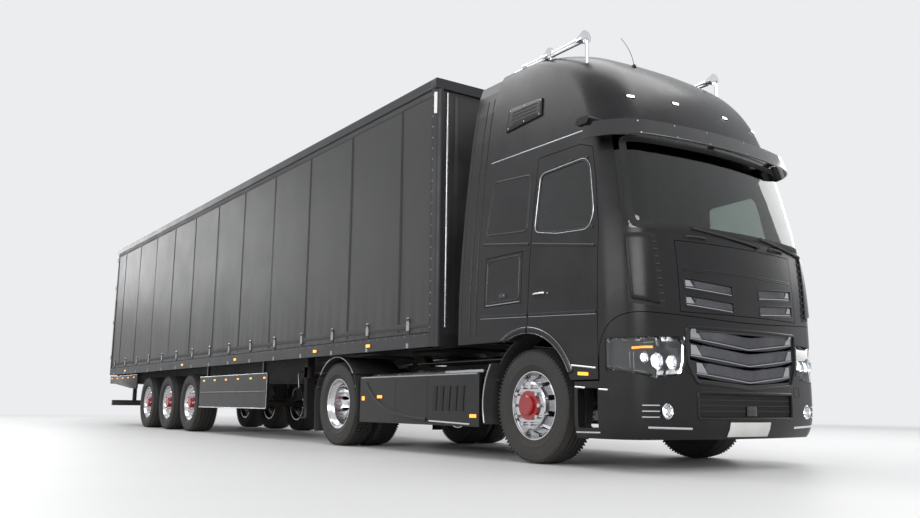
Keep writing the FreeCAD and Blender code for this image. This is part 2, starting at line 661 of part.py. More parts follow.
def tanks_node():
    """Fuel tanks, battery box and exhaust box hung on the rails behind the skirts."""
    parts = []
    for side in (1, -1):
        parts.append(tank(SKIRT_REAR_X + 60.0, SKIRT_FRONT_X - 760.0, side))
        parts.append(tank(SKIRT_FRONT_X - 740.0, SKIRT_FRONT_X - 80.0, side, corner=12.0))
    return group(parts)


def skirts_node():
    """Panels between the wheels: a deep outer face with a shelf on top and a lip below."""
    face = box(SKIRT_REAR_X, SKIRT_FRONT_X, SKIRT_OUTER_Y - SKIRT_T, SKIRT_OUTER_Y, SKIRT_BOTTOM_Z, SKIRT_TOP_Z)
    shelf = box(SKIRT_REAR_X, SKIRT_FRONT_X, TANK_OUTER_Y + FIT, SKIRT_OUTER_Y - SKIRT_T,
                SKIRT_TOP_Z - 30.0, SKIRT_TOP_Z)
    lip = box(SKIRT_REAR_X, SKIRT_FRONT_X, TANK_OUTER_Y + FIT, SKIRT_OUTER_Y - SKIRT_T, SKIRT_BOTTOM_Z,
              SKIRT_BOTTOM_Z + 30.0)
    panel = joined([face, shelf, lip])
    return group(both_sides(panel))


def stay(radius, angle, y0, y1, x, z):
    """Cross tube that carries a mudguard, against its inner face."""
    turn = math.radians(angle)
    return rod_y(STAY_R, y0, y1, x + (radius - STAY_R + 1.0) * math.cos(turn), z + (radius - STAY_R + 1.0) * math.sin(turn))


def mudguards_node():
    z = TRACTOR_TYRE_R
    stay_y = RAIL_OUTER_Y + FIT
    front_top = arc_band(FRONT_GUARD_R, FRONT_GUARD_R + GUARD_T, 20.0, 150.0, GUARD_INNER_Y, 1130.0, AXLE_X, z)
    front_rear = arc_band(FRONT_GUARD_R, FRONT_GUARD_R + GUARD_T, 143.0, 196.0, GUARD_INNER_Y, GUARD_OUTER_Y, AXLE_X, z)
    front = joined([front_top, front_rear] + [stay(FRONT_GUARD_R, angle, stay_y, GUARD_OUTER_Y - 120.0, AXLE_X, z)
                                              for angle in (25.0, 158.0)])
    parts = [front]
    for start, end, stays in ((-14.0, 36.0, (22.0,)), (38.0, 142.0, (44.0, 136.0)), (144.0, 192.0, (158.0,))):
        band = arc_band(DRIVE_GUARD_R, DRIVE_GUARD_R + GUARD_T, start, end, DRIVE_GUARD_INNER_Y, GUARD_OUTER_Y,
                        DRIVE_X, z)
        parts.append(joined([band] + [stay(DRIVE_GUARD_R, angle, stay_y, GUARD_OUTER_Y, DRIVE_X, z)
                                      for angle in stays]))
    turn = math.radians(192.0)
    flap_x = DRIVE_X + DRIVE_GUARD_R * math.cos(turn)
    flap = box(flap_x - 14.0, flap_x - 14.0 + FLAP_T, DRIVE_GUARD_INNER_Y, GUARD_OUTER_Y, MUD_FLAP_BOTTOM_Z,
               z + DRIVE_GUARD_R * math.sin(turn) + 10.0)
    parts[-1] = joined([parts[-1], flap])
    return group(parts + [other_side(part) for part in parts])


def fifth_wheel_node():
    top = COUPLING_Z - FIT
    disc = rod_z(COUPLING_R, top - COUPLING_PLATE_T, top, KINGPIN_X, 0.0)
    throat = plate([(KINGPIN_X - COUPLING_R - 10.0, -170.0), (KINGPIN_X, -COUPLING_PIN_R - FIT),
                    (KINGPIN_X, COUPLING_PIN_R + FIT), (KINGPIN_X - COUPLING_R - 10.0, 170.0)], "z",
                   top - COUPLING_PLATE_T, top)
    disc = disc.cut(throat).cut(rod_z(COUPLING_PIN_R + FIT, top - COUPLING_PLATE_T, top, KINGPIN_X, 0.0))
    parts = [disc]
    base_z = FRAME_TOP_Z
    for side in (1, -1):
        low, high = sorted((side * (RAIL_OUTER_Y - 120.0), side * RAIL_OUTER_Y))
        parts.append(plate([(KINGPIN_X - 190.0, base_z), (KINGPIN_X + 190.0, base_z),
                            (KINGPIN_X + 90.0, top - COUPLING_PLATE_T), (KINGPIN_X - 90.0, top - COUPLING_PLATE_T)],
                           "y", low, high))
    parts.append(box(KINGPIN_X - 260.0, KINGPIN_X + 260.0, -RAIL_OUTER_Y, RAIL_OUTER_Y, base_z, base_z + 14.0))
    return joined(parts)


# Fixed front end, below and inside the sweep of the tipping cab

def front_end_zone(shrink=0.0):
    """Side-view region kept by the parts that stay on the chassis when the cab tips."""
    low = box(BUMPER_REAR_X + shrink, BIG * 3, -BIG, BIG, BUMPER_BOTTOM_Z, BUMPER_SIDE_TOP_Z)
    middle = box(TILT_X - TILT_SWEEP_R + shrink, BIG * 3, -BIG, BIG, BUMPER_SIDE_TOP_Z - 1.0, TILT_Z)
    crown = rod_y(TILT_SWEEP_R - shrink, -BIG, BIG, TILT_X, TILT_Z)
    crown = crown.common(box(0.0, BIG * 3, -BIG, BIG, TILT_Z - 1.0, BIG))
    return joined([low, middle, crown])


def grille_band(z_mid, z_end, height, half_y, x0, x1):
    """Front-view band that hangs lower in the middle, carried along X."""
    def edge(z_centre, z_side):
        return Part.Arc(Vector(x0, -half_y, z_side), Vector(x0, 0.0, z_centre), Vector(x0, half_y, z_side)).toShape()
    low = edge(z_mid, z_end)
    high = edge(z_mid + height, z_end + height)
    ends = [Part.LineSegment(Vector(x0, s * half_y, z_end), Vector(x0, s * half_y, z_end + height)).toShape()
            for s in (1, -1)]
    wire = Part.Wire(Part.__sortEdges__([low, high] + ends))
    return Part.Face(wire).extrude(Vector(x1 - x0, 0, 0))


GRILLE = [(-GRILLE_HALF_Y, GRILLE_TOP_Z), (GRILLE_HALF_Y, GRILLE_TOP_Z), (GRILLE_HALF_Y, 860.0),
          (GRILLE_HALF_Y - 90.0, 700.0), (0.0, GRILLE_BOTTOM_Z), (-GRILLE_HALF_Y + 90.0, 700.0),
          (-GRILLE_HALF_Y, 860.0)]
FRONT_CUT_X = AXLE_X + 1000.0
NOSE_END_X = AXLE_X + FRONT_OVERHANG + 60.0


def bumper_node():
    shell = low_front_skin(0.0, BUMPER_DEPTH).common(front_end_zone())
    cuts = [plate(GRILLE, "x", FRONT_CUT_X, NOSE_END_X)]
    cuts.append(box(FRONT_CUT_X, NOSE_END_X, -MESH_HALF_Y, MESH_HALF_Y, MESH_BOTTOM_Z, MESH_TOP_Z))
    step_points = [(BUMPER_REAR_X + 40.0, STEP_LOW_Z), (STEP_FRONT_X - 10.0, STEP_LOW_Z),
                   (STEP_FRONT_X - 10.0, STEP_HIGH_Z), (BUMPER_REAR_X + 40.0, STEP_HIGH_Z)]
    for side in (1, -1):
        lamp = [(side * y, z) for y, z in HEADLAMP]
        cuts.append(plate(lamp, "x", HEADLAMP_REAR_X, NOSE_END_X))
        cuts.append(rod_x(FOG_R, FRONT_CUT_X, NOSE_END_X, side * FOG_Y, FOG_Z))
        low, high = sorted((side * 1000.0, side * 1300.0))
        cuts.append(plate(step_points, "y", low, high, corner=20.0))
    return shell.cut(Part.makeCompound(cuts))


def headlamps_node():
    """Main lamps that wrap round the corners, and the fog lamps below them."""
    body = low_front_skin(2.0, LAMP_DEPTH).common(front_end_zone(1.0))
    parts = []
    for side in (1, -1):
        lamp = [(side * y, z) for y, z in HEADLAMP]
        parts.append(body.common(plate(lamp, "x", HEADLAMP_REAR_X + FIT, NOSE_END_X, grow=-FIT)))
        parts.append(body.common(rod_x(FOG_R - FIT, FRONT_CUT_X, NOSE_END_X, side * FOG_Y, FOG_Z)))
    return group(parts)


def lower_grille_node():
    frame = low_front_skin(6.0, GRILLE_DEPTH).common(plate(GRILLE, "x", FRONT_CUT_X, NOSE_END_X, grow=-FIT))
    frame = frame.cut(plate(GRILLE, "x", FRONT_CUT_X, NOSE_END_X, grow=-26.0))
    field = plate(GRILLE, "x", FRONT_CUT_X, NOSE_END_X, grow=-20.0)
    layer = low_front_skin(12.0, 12.0 + SLAT_T)
    pitch = (GRILLE_TOP_Z - GRILLE_BOTTOM_Z - 60.0) / SLAT_COUNT
    parts = [frame]
    for n in range(SLAT_COUNT):
        low_z = GRILLE_BOTTOM_Z + 40.0 + n * pitch
        band = grille_band(low_z, low_z + 75.0, pitch - 26.0, GRILLE_HALF_Y, FRONT_CUT_X, NOSE_END_X)
        parts.append(layer.common(band).common(field))
    mesh = low_front_skin(20.0, 32.0).common(
        box(FRONT_CUT_X, NOSE_END_X, -MESH_HALF_Y + FIT, MESH_HALF_Y - FIT, MESH_BOTTOM_Z + FIT, MESH_TOP_Z - FIT))
    return group([joined(parts), mesh])


def steps_node():
    """Entry steps behind the openings in the bumper's sides: a tray and an upper tread on a back wall."""
    inner_form = cab_form(BUMPER_DEPTH + FIT)
    rear_x = BUMPER_REAR_X + 20.0
    tray = box(rear_x, STEP_FRONT_X, STEP_INNER_Y, BIG, STEP_LOW_Z - STEP_T, STEP_LOW_Z)
    tread = box(rear_x, STEP_FRONT_X, STEP_INNER_Y, BIG, STEP_HIGH_Z, STEP_HIGH_Z + STEP_T)
    back = box(rear_x, STEP_FRONT_X, STEP_INNER_Y, STEP_INNER_Y + STEP_T, STEP_LOW_Z - STEP_T, STEP_HIGH_Z + STEP_T)
    unit = joined([tray, tread, back]).common(inner_form)
    return group(both_sides(unit))


def tail_lamps_node():
    x = DRIVE_X - FRAME_TAIL - TAIL_BEAM_T
    z = FRAME_TOP_Z - RAIL_DEPTH / 2
    lamp = box(x - 46.0, x, TAIL_BEAM_HALF_Y - 330.0, TAIL_BEAM_HALF_Y, z - 55.0, z + 55.0)
    return group(both_sides(lamp))


# Cab

DOOR = [
    (DOOR_REAR_X, 1100.0), (DOOR_TOP_REAR_X, DOOR_TOP_Z), (AXLE_X + 640.0, DOOR_TOP_Z), (AXLE_X + 800.0, DOOR_TOP_Z - 60.0),
    (AXLE_X + 870.0, 2400.0), (DOOR_FRONT_X, 1950.0), (DOOR_FRONT_X, DOOR_BOTTOM_Z), (DOOR_REAR_X, DOOR_BOTTOM_Z),
]
LOCKER = [(LOCKER_REAR_X, LOCKER_BOTTOM_Z), (LOCKER_REAR_X, LOCKER_TOP_Z), (LOCKER_FRONT_X, LOCKER_TOP_Z),
          (LOCKER_FRONT_X, LOCKER_BOTTOM_Z)]
FLAP = [(-FLAP_HALF_Y, FLAP_BOTTOM_Z), (FLAP_HALF_Y, FLAP_BOTTOM_Z), (FLAP_HALF_Y, FLAP_TOP_Z),
        (-FLAP_HALF_Y, FLAP_TOP_Z)]


def side_plate(points, side, corner=0.0, grow=0.0, inner_y=900.0):
    """Side-view outline carried through the cab's wall on one side."""
    low, high = sorted((side * inner_y, side * 1300.0))
    return plate(points, "y", low, high, corner=corner, grow=grow)


def arch_cut():
    return rod_y(ARCH_R, -BIG, BIG, AXLE_X, TRACTOR_TYRE_R)


def cab_shell_node():
    rear_low = box(CAB_REAR_X - 10.0, DOOR_FRONT_X, -BIG, BIG, SIDE_BOTTOM_Z, CAB_TOP_Z)
    front = box(DOOR_FRONT_X - 1.0, BIG * 3, -BIG, BIG, TILT_Z, CAB_TOP_Z)
    shell = cab_skin(0.0, CAB_WALL).common(rear_low.fuse(front))
    floor = cab_form(CAB_WALL - 1.0).common(box(CAB_REAR_X, BIG * 3, -BIG, BIG, FLOOR_TOP_Z - FLOOR_T, FLOOR_TOP_Z))
    shell = shell.fuse(floor)
    cuts = [arch_cut(), rod_y(TILT_SWEEP_R + PANEL_GAP, -BIG, BIG, TILT_X, TILT_Z), plate(SCREEN, "x", SCREEN_REAR_X, NOSE_END_X, corner=WINDOW_CORNER)]
    rebate = cab_skin(0.0, DOOR_DEPTH + FIT)
    for side in (1, -1):
        cuts.append(rebate.common(side_plate(DOOR, side)))
        cuts.append(side_plate(DOOR, side, grow=-REBATE).common(box(0.0, BIG * 3, -BIG, BIG, FLOOR_TOP_Z, BIG)))
        cuts.append(cab_skin(0.0, LOCKER_DEPTH + FIT).common(side_plate(LOCKER, side)))
        cuts.append(side_plate(LOCKER, side, grow=-REBATE))
    flap_pit = cab_skin(0.0, FLAP_DEPTH + FIT).common(plate(FLAP, "x", FRONT_CUT_X, NOSE_END_X))
    cuts.append(flap_pit)
    cuts.append(plate(FLAP, "x", FRONT_CUT_X, NOSE_END_X, grow=-REBATE).common(
        box(0.0, BIG * 3, -BIG, BIG, FLOOR_TOP_Z + 40.0, BIG)))
    for cut in cuts:
        shell = shell.cut(cut)
    arms = []
    for side in (1, -1):
        low, high = sorted((side * TILT_ARM_Y, side * (TILT_ARM_Y + TILT_ARM_T)))
        leg = plate([(TILT_X - TILT_ELBOW_X - 30.0, TILT_Z + 60.0), (TILT_X - TILT_ELBOW_X + 20.0, TILT_Z + 130.0),
                     (TILT_X + 10.0, TILT_Z + 36.0), (TILT_X - 10.0, TILT_Z - 36.0)], "y", low, high)
        riser = plate([(TILT_X - TILT_ELBOW_X - 50.0, TILT_Z + 60.0), (TILT_X - TILT_ELBOW_X + 20.0, TILT_Z + 100.0),
                       (TILT_X - TILT_ELBOW_X - 40.0, FLOOR_TOP_Z - 10.0),
                       (TILT_X - TILT_ELBOW_X - 120.0, FLOOR_TOP_Z - 10.0)], "y", low, high)
        boss = rod_y(38.0, low, high, TILT_X, TILT_Z)
        arms.append(joined([leg, riser, boss]).cut(rod_y(TILT_PIN_R + FIT, low - 1.0, high + 1.0, TILT_X, TILT_Z)))
    return joined([shell] + arms)


def door_node(side):
    skin = cab_skin(0.0, DOOR_DEPTH)
    panel = skin.common(side_plate(DOOR, side, grow=-PANEL_GAP, inner_y=1000.0)).cut(arch_cut())
    return panel.cut(side_plate(SIDE_WINDOW, side, corner=WINDOW_CORNER))


def window_node(side):
    skin = cab_skin(GLASS_INSET, GLASS_INSET + GLASS_T)
    return skin.common(side_plate(SIDE_WINDOW, side, corner=WINDOW_CORNER, grow=-FIT))


def windscreen_node():
    skin = cab_skin(GLASS_INSET, GLASS_INSET + GLASS_T)
    return skin.common(plate(SCREEN, "x", SCREEN_REAR_X, NOSE_END_X, corner=WINDOW_CORNER, grow=-FIT))


def locker_node(side):
    skin = cab_skin(0.0, LOCKER_DEPTH)
    return skin.common(side_plate(LOCKER, side, grow=-PANEL_GAP, inner_y=1000.0))


def front_flap_node():
    skin = cab_skin(0.0, FLAP_DEPTH)
    panel = skin.common(plate(FLAP, "x", FRONT_CUT_X, NOSE_END_X, grow=-PANEL_GAP))
    for side in (1, -1):
        for slot in upper_grille_slots(side):
            panel = panel.cut(slot)
    return panel


def upper_grille_slots(side, grow=0.0):
    """Slanted air slots either side of the flap's middle."""
    slots = []
    for n in range(UPPER_SLOT_COUNT):
        low = FLAP_BOTTOM_Z + UPPER_SLOT_RISE + n * UPPER_SLOT_PITCH
        points = [(side * UPPER_SLOT_INNER_Y, low - UPPER_SLOT_SAG), (side * UPPER_SLOT_OUTER_Y, low),
                  (side * UPPER_SLOT_OUTER_Y, low + UPPER_SLOT_H),
                  (side * UPPER_SLOT_INNER_Y, low + UPPER_SLOT_H - UPPER_SLOT_SAG)]
        slots.append(plate(points, "x", FRONT_CUT_X, NOSE_END_X, corner=12.0, grow=grow))
    return slots


def upper_grille_node():
    """Slats set in the front flap's slots."""
    layer = cab_skin(8.0, 26.0)
    parts = []
    for side in (1, -1):
        for slot in upper_grille_slots(side, grow=-FIT):
            parts.append(layer.common(slot))
    return group(parts)


def roof_dome_node():
    zone = box(CAB_REAR_X - 10.0, BIG * 3, -BIG, BIG, CAB_TOP_Z, BIG)
    shell = cab_form(0.0).common(zone)
    hollow = cab_form(ROOF_WALL).common(box(CAB_REAR_X - 10.0, BIG * 3, -BIG, BIG, CAB_TOP_Z, CAB_STATIONS[-1][0] - ROOF_WALL))
    return shell.cut(hollow)


def visor_band(grow=0.0):
    """Tinted band of the sun visor, or the room that it takes with a margin round it."""
    zone = box(VISOR_REAR_X - grow, BIG * 3, -BIG, BIG, VISOR_BOTTOM_Z - grow, VISOR_TOP_Z + grow)
    return cab_form(-VISOR_REACH - grow).cut(cab_form(-VISOR_REACH + VISOR_T + grow)).common(zone)


def sun_visor_node():
    """Tinted band that stands off ahead of the windscreen's top, on a web at each end and in the middle."""
    band = visor_band()
    gap = cab_form(-VISOR_REACH + VISOR_T / 2).cut(cab_form(-FIT))
    webs = []
    for y in (-VISOR_WEB_Y, 0.0, VISOR_WEB_Y):
        webs.append(gap.common(box(VISOR_REAR_X, BIG * 3, y - 10.0, y + 10.0, SCREEN_TOP_Z + 12.0, VISOR_TOP_Z - 10.0)))
    return joined([band] + webs)


def deflectors_node():
    """Side and roof fins that close the gap behind the cab."""
    outer = [(half, z) for z, nose, half, corner in CAB_STATIONS if z > SIDE_BOTTOM_Z and half > 940.0]
    outer = [(outer[0][0], SIDE_BOTTOM_Z)] + outer
    inner = [(half - DEFLECTOR_T, z) for half, z in reversed(outer)]
    fin = plate(outer + inner, "x", CAB_REAR_X - DEFLECTOR_LENGTH, CAB_REAR_X - FIT)
    return group(both_sides(fin))


def dashboard_node():
    """Dashboard across the cab, with the steering column and wheel on the left."""
    form = cab_form(CAB_WALL + FIT)
    rear_x = AXLE_X + 1300.0 - DASH_DEPTH
    body = form.common(box(rear_x, BIG * 3, -DASH_HALF_Y, DASH_HALF_Y, FLOOR_TOP_Z + 260.0, DASH_TOP_Z))
    centre = Vector(rear_x - 190.0, SEAT_Y, DASH_TOP_Z + 30.0)
    lean = Vector(math.cos(math.radians(50.0)), 0.0, -math.sin(math.radians(50.0)))
    ring = Part.makeTorus(STEERING_R, STEERING_TUBE_R, centre, lean)
    column = Part.makeCylinder(34.0, 360.0, centre, lean)
    spokes = [Part.makeBox(2 * STEERING_R, 36.0, 14.0, Vector(-STEERING_R, -18.0, -7.0)),
              Part.makeBox(36.0, STEERING_R, 14.0, Vector(-18.0, -STEERING_R, -7.0))]
    turn = Placement(centre, Rotation(Vector(0, 0, 1), lean))
    for spoke in spokes:
        spoke.Placement = turn
    return joined([body, ring, column] + spokes)


def seats_node():
    """Two seats and the bunk across the back wall."""
    parts = []
    for side in (1, -1):
        y0, y1 = side * SEAT_Y - SEAT_W / 2, side * SEAT_Y + SEAT_W / 2
        base = box(AXLE_X + 60.0, AXLE_X + 400.0, y0 + 60.0, y1 - 60.0, FLOOR_TOP_Z, FLOOR_TOP_Z + 330.0)
        cushion = plate([(AXLE_X + 20.0, FLOOR_TOP_Z + 320.0), (AXLE_X + 480.0, FLOOR_TOP_Z + 320.0),
                         (AXLE_X + 480.0, FLOOR_TOP_Z + 460.0), (AXLE_X + 20.0, FLOOR_TOP_Z + 440.0)], "y", y0, y1,
                        corner=30.0)
        back = plate([(AXLE_X + 10.0, FLOOR_TOP_Z + 380.0), (AXLE_X + 130.0, FLOOR_TOP_Z + 380.0),
                      (AXLE_X + 10.0, FLOOR_TOP_Z + 1150.0), (AXLE_X - 90.0, FLOOR_TOP_Z + 1150.0)], "y", y0, y1,
                     corner=30.0)
        parts.append(joined([base, cushion, back]))
    rear_x = CAB_REAR_X + CAB_WALL + FIT
    bunk = box(rear_x, rear_x + BUNK_LENGTH - 200.0, -960.0, 960.0, FLOOR_TOP_Z, BUNK_TOP_Z)
    parts.append(bunk)
    return group(parts)


def horn(x, y, z, length):
    """Trumpet that points forward, on two saddles over its rail."""
    bell = [(0.0, 0.0), (26.0, 0.0), (26.0, 60.0), (16.0, 80.0), (18.0, length * 0.55), (30.0, length * 0.8),
            (HORN_BELL_R, length), (0.0, length)]
    wire = Part.makePolygon([Vector(r, 0, u) for r, u in bell + bell[:1]])
    trumpet = Part.Face(wire).revolve(Vector(0, 0, 0), Vector(0, 0, 1), 360)
    trumpet.Placement = Placement(Vector(x, y, z), Rotation(Vector(0, 1, 0), 90))
    return trumpet


def horns_node():
    """Rails along the roof's edges, each with two trumpets."""
    parts = []
    for side in (1, -1):
        y = side * HORN_RAIL_Y
        rail = rod_x(HORN_RAIL_R, HORN_RAIL_REAR_X, HORN_RAIL_FRONT_X, y, HORN_RAIL_Z)
        posts = [rod_z(HORN_RAIL_R, HORN_RAIL_FOOT_Z, HORN_RAIL_Z, x, y)
                 for x in (HORN_RAIL_REAR_X + 30.0, (HORN_RAIL_REAR_X + HORN_RAIL_FRONT_X) / 2, HORN_RAIL_FRONT_X - 30.0)]
        trumpets = [horn(HORN_RAIL_FRONT_X - 560.0, y, HORN_RAIL_Z + 26.0, 520.0),
                    horn(HORN_RAIL_FRONT_X - 950.0, y, HORN_RAIL_Z + 26.0, 420.0)]
        parts.append(joined([rail] + trumpets + posts).cut(cab_form(-FIT)))
    return group(parts)


def mirror_cams_node():
    """Camera wings at the roof's front corners."""
    parts = []
    for side in (1, -1):
        wing = plate([(AXLE_X + 700.0, 2870.0), (AXLE_X + 860.0, 2870.0), (AXLE_X + 900.0, 2935.0),
                      (AXLE_X + 740.0, 2935.0)], "y", 900.0, MIRROR_CAM_Y, corner=24.0)
        wing = wing.cut(cab_form(-FIT)).cut(visor_band(grow=FIT))
        parts.append(wing if side > 0 else other_side(wing))
    return group(parts)


def wipers_node():
    """Two arms parked along the windscreen's lower edge."""
    layer = cab_form(-18.0).cut(cab_form(-6.0))
    parts = []
    for y0, y1 in ((-560.0, 260.0), (300.0, 1020.0)):
        strip = [(y0, 1960.0), (y1, 1880.0), (y1, 1902.0), (y0, 1982.0)]
        blade = layer.common(plate(strip, "x", FRONT_CUT_X, NOSE_END_X))
        foot = cab_form(-12.0).cut(cab_form(-FIT)).common(rod_x(22.0, FRONT_CUT_X, NOSE_END_X, y1 - 24.0, 1890.0))
        parts.append(joined([blade, foot]))
    return group(parts)


# Semi-trailer

def trailer_beam(side):
    """I-section main beam with its shallow neck over the tractor."""
    neck_x = KINGPIN_X - NECK_LENGTH
    under = DECK_Z - BOARD_T
    outline = [(TRAILER_FRONT_X - POST_W - 10.0, under), (TRAILER_FRONT_X - POST_W - 10.0, COUPLING_Z),
               (KINGPIN_X - 1300.0, COUPLING_Z), (neck_x + 700.0, COUPLING_Z - 60.0), (neck_x, BEAM_BOTTOM_Z),
               (REAR_FRAME_X + REAR_POST_T, BEAM_BOTTOM_Z + 120.0), (REAR_FRAME_X + REAR_POST_T, under)]
    solid = plate(outline, "y", BEAM_Y - BEAM_FLANGE / 2, BEAM_Y + BEAM_FLANGE / 2)
    core = plate(outline, "y", BEAM_Y - BEAM_FLANGE / 2, BEAM_Y + BEAM_FLANGE / 2, grow=-BEAM_WALL)
    web = box(TRAILER_REAR_X, TRAILER_FRONT_X, BEAM_Y - BEAM_WALL / 2, BEAM_Y + BEAM_WALL / 2, 0.0, BIG)
    beam = solid.cut(core.cut(web)).cut(Part.makeCompound(cross_bars(FIT)))
    return beam if side > 0 else other_side(beam)


def cross_bars(grow=0.0):
    """Bars that carry the load floor, or the room that they take with a margin round them."""
    under = DECK_Z - BOARD_T
    inner = TRAILER_HALF_Y - RAVE_W
    count = int((CROSS_FIRST_X - REAR_FRAME_X - 300.0) / CROSS_PITCH) + 1
    half = CROSS_W / 2 + grow
    return [box(x - half, x + half, -inner, inner, under - CROSS_H - grow, under + grow)
            for x in (CROSS_FIRST_X - n * CROSS_PITCH for n in range(count))]


def trailer_beams_node():
    """The two main beams, notched where the cross bars pass through them."""
    return group([trailer_beam(1), trailer_beam(-1)])


def cross_members_node():
    return group(cross_bars())


def trailer_coupler_node():
    """Plate between the main beams that rests on the tractor, with its kingpin."""
    half = BEAM_Y - BEAM_FLANGE / 2 - FIT
    skid = box(KINGPIN_X - 700.0, KINGPIN_X + 800.0, -half, half, COUPLING_Z, COUPLING_Z + 10.0)
    pin = rod_z(COUPLING_PIN_R, COUPLING_Z - COUPLING_PIN_H, COUPLING_Z + 5.0, KINGPIN_X, 0.0)
    return joined([skid, pin])


def trailer_floor_node():
    """Load floor between the side raves."""
    floor = box(REAR_FRAME_X + REAR_POST_T, TRAILER_FRONT_X - POST_W, -TRAILER_HALF_Y + RAVE_W,
                TRAILER_HALF_Y - RAVE_W, DECK_Z - BOARD_T, DECK_Z)
    rave = box(REAR_FRAME_X + REAR_POST_T, TRAILER_FRONT_X - POST_W, TRAILER_HALF_Y - RAVE_W, TRAILER_HALF_Y,
               RAVE_BOTTOM_Z, DECK_Z - RAVE_STEP)
    return joined([floor] + both_sides(rave))


def trailer_axles_node():
    """Three axle beams on trailing arms, with the hangers that hold the arms."""
    parts = []
    z = TRAILER_TYRE_R
    stub_end = TRAILER_WHEEL_Y + TRAILER_OFFSET + HUB_STEP - 4.0
    disc_back = TRAILER_WHEEL_Y + TRAILER_OFFSET - DISC_T - HUB_BACK
    for x in TRAILER_AXLE_XS:
        pieces = [rod_y(TRAILER_TUBE_R, -disc_back + 30.0, disc_back - 30.0, x, z), rod_y(STUB_R, -stub_end, stub_end, x, z)]
        for side in (1, -1):
            low, high = sorted((side * (BEAM_Y - 45.0), side * (BEAM_Y + 45.0)))
            arm = plate([(x - 330.0, z + 60.0), (x - 330.0, z + 90.0), (x + 60.0, z + 90.0),
                         (x + HANGER_LEAD, z + 150.0), (x + HANGER_LEAD, z + 80.0), (x + 70.0, z - 10.0),
                         (x - 70.0, z - 10.0)], "y", low, high)
            beam_z = BEAM_BOTTOM_Z + 120.0 * (KINGPIN_X - NECK_LENGTH - x) / (
                KINGPIN_X - NECK_LENGTH - REAR_FRAME_X - REAR_POST_T)
            hanger = box(x + HANGER_LEAD - 60.0, x + HANGER_LEAD + 60.0, low, high, z + 60.0, beam_z - 4.0)
            bag = rod_z(95.0, z + 88.0, beam_z + 8.0, x - 240.0, side * BEAM_Y)
            pieces += [arm, hanger, bag]
        parts.append(joined(pieces))
    beams = Part.makeCompound([plate_below(side) for side in (1, -1)])
    return group([part.cut(beams) for part in parts])


def plate_below(side):
    """Everything at and above the main beam's lower face, on one side."""
    low, high = sorted((side * (BEAM_Y - 150.0), side * (BEAM_Y + 150.0)))
    neck_x = KINGPIN_X - NECK_LENGTH
    return plate([(neck_x, BEAM_BOTTOM_Z), (REAR_FRAME_X + REAR_POST_T, BEAM_BOTTOM_Z + 120.0),
                  (REAR_FRAME_X + REAR_POST_T, BIG), (neck_x, BIG)], "y", low, high)


def cross_member_x(x):
    """Place of the cross member nearest to x."""
    return CROSS_FIRST_X - CROSS_PITCH * round((CROSS_FIRST_X - x) / CROSS_PITCH)


def landing_legs_node():
    """Pair of legs, wound up for the road, joined by a cross shaft."""
    x = cross_member_x(KINGPIN_X - LEG_SETBACK)
    parts = []
    for side in (1, -1):
        low, high = sorted((side * LEG_Y, side * (LEG_Y + LEG_W)))
        parts.append(box(x - LEG_W / 2, x + LEG_W / 2, low, high, LEG_FOOT_Z + 160.0, CROSS_BOTTOM_Z))
        inner = 12.0
        parts.append(box(x - LEG_W / 2 + inner, x + LEG_W / 2 - inner, low + inner, high - inner, LEG_FOOT_Z, LEG_FOOT_Z + 170.0))
        parts.append(box(x - 110.0, x + 110.0, low - 30.0, high + 30.0, LEG_FOOT_Z, LEG_FOOT_Z + 16.0))
    parts.append(rod_y(22.0, -LEG_Y - 10.0, LEG_Y + 10.0, x, 860.0))
    return joined(parts)


def headboard_node():
    """Front bulkhead of the load space."""
    x1 = TRAILER_FRONT_X - 30.0
    return box(x1 - HEADBOARD_T, x1, -TRAILER_HALF_Y + POST_W, TRAILER_HALF_Y - POST_W, DECK_Z - BOARD_T,
               TRAILER_TOP_Z - ROOF_RAIL_H)


def trailer_posts_node():
    """Rounded front corner posts, and the sill between them."""
    x0, x1 = TRAILER_FRONT_X - POST_W, TRAILER_FRONT_X
    y0, y1 = TRAILER_HALF_Y - POST_W, TRAILER_HALF_Y
    top = TRAILER_TOP_Z - ROOF_RAIL_H
    post = box(x0, x1, y0, y1, RAVE_BOTTOM_Z, top).common(rod_z(POST_W, RAVE_BOTTOM_Z, top, x0, y0))
    sill = box(x0, x1, -y0 + FIT, y0 - FIT, RAVE_BOTTOM_Z + 10.0, DECK_Z - BOARD_T)
    return group(both_sides(post) + [sill])


def rear_frame_node():
    """Rear posts with their hinge lugs, and the header and sill between them."""
    x0, x1 = REAR_FRAME_X, REAR_FRAME_X + REAR_POST_T
    inner_y = TRAILER_HALF_Y - REAR_POST_W
    top = TRAILER_TOP_Z - ROOF_RAIL_H
    pin_x = TRAILER_REAR_X + HINGE_SET
    post = [box(x0, x1, inner_y, TRAILER_HALF_Y, RAVE_BOTTOM_Z, top)]
    for z in HINGE_ZS:
        reach = HINGE_BARREL_H / 2 + HINGE_LUG_H
        post.append(rod_z(HINGE_PIN_R, z - reach, z + reach, pin_x, DOOR_HINGE_Y))
        for end in (-1, 1):
            middle = z + end * (HINGE_BARREL_H + HINGE_LUG_H) / 2
            low, high = middle - HINGE_LUG_H / 2, middle + HINGE_LUG_H / 2
            post.append(box(pin_x, x0 + 5.0, DOOR_HINGE_Y - 10.0, DOOR_HINGE_Y + 6.0, low, high))
            post.append(rod_z(HINGE_BARREL_R, low, high, pin_x, DOOR_HINGE_Y))
    header = box(x0, x1, -inner_y + FIT, inner_y - FIT, top - REAR_HEADER_H, top)
    sill = box(x0, x1, -inner_y + FIT, inner_y - FIT, RAVE_BOTTOM_Z, DECK_Z)
    return group(both_sides(joined(post)) + [header, sill])


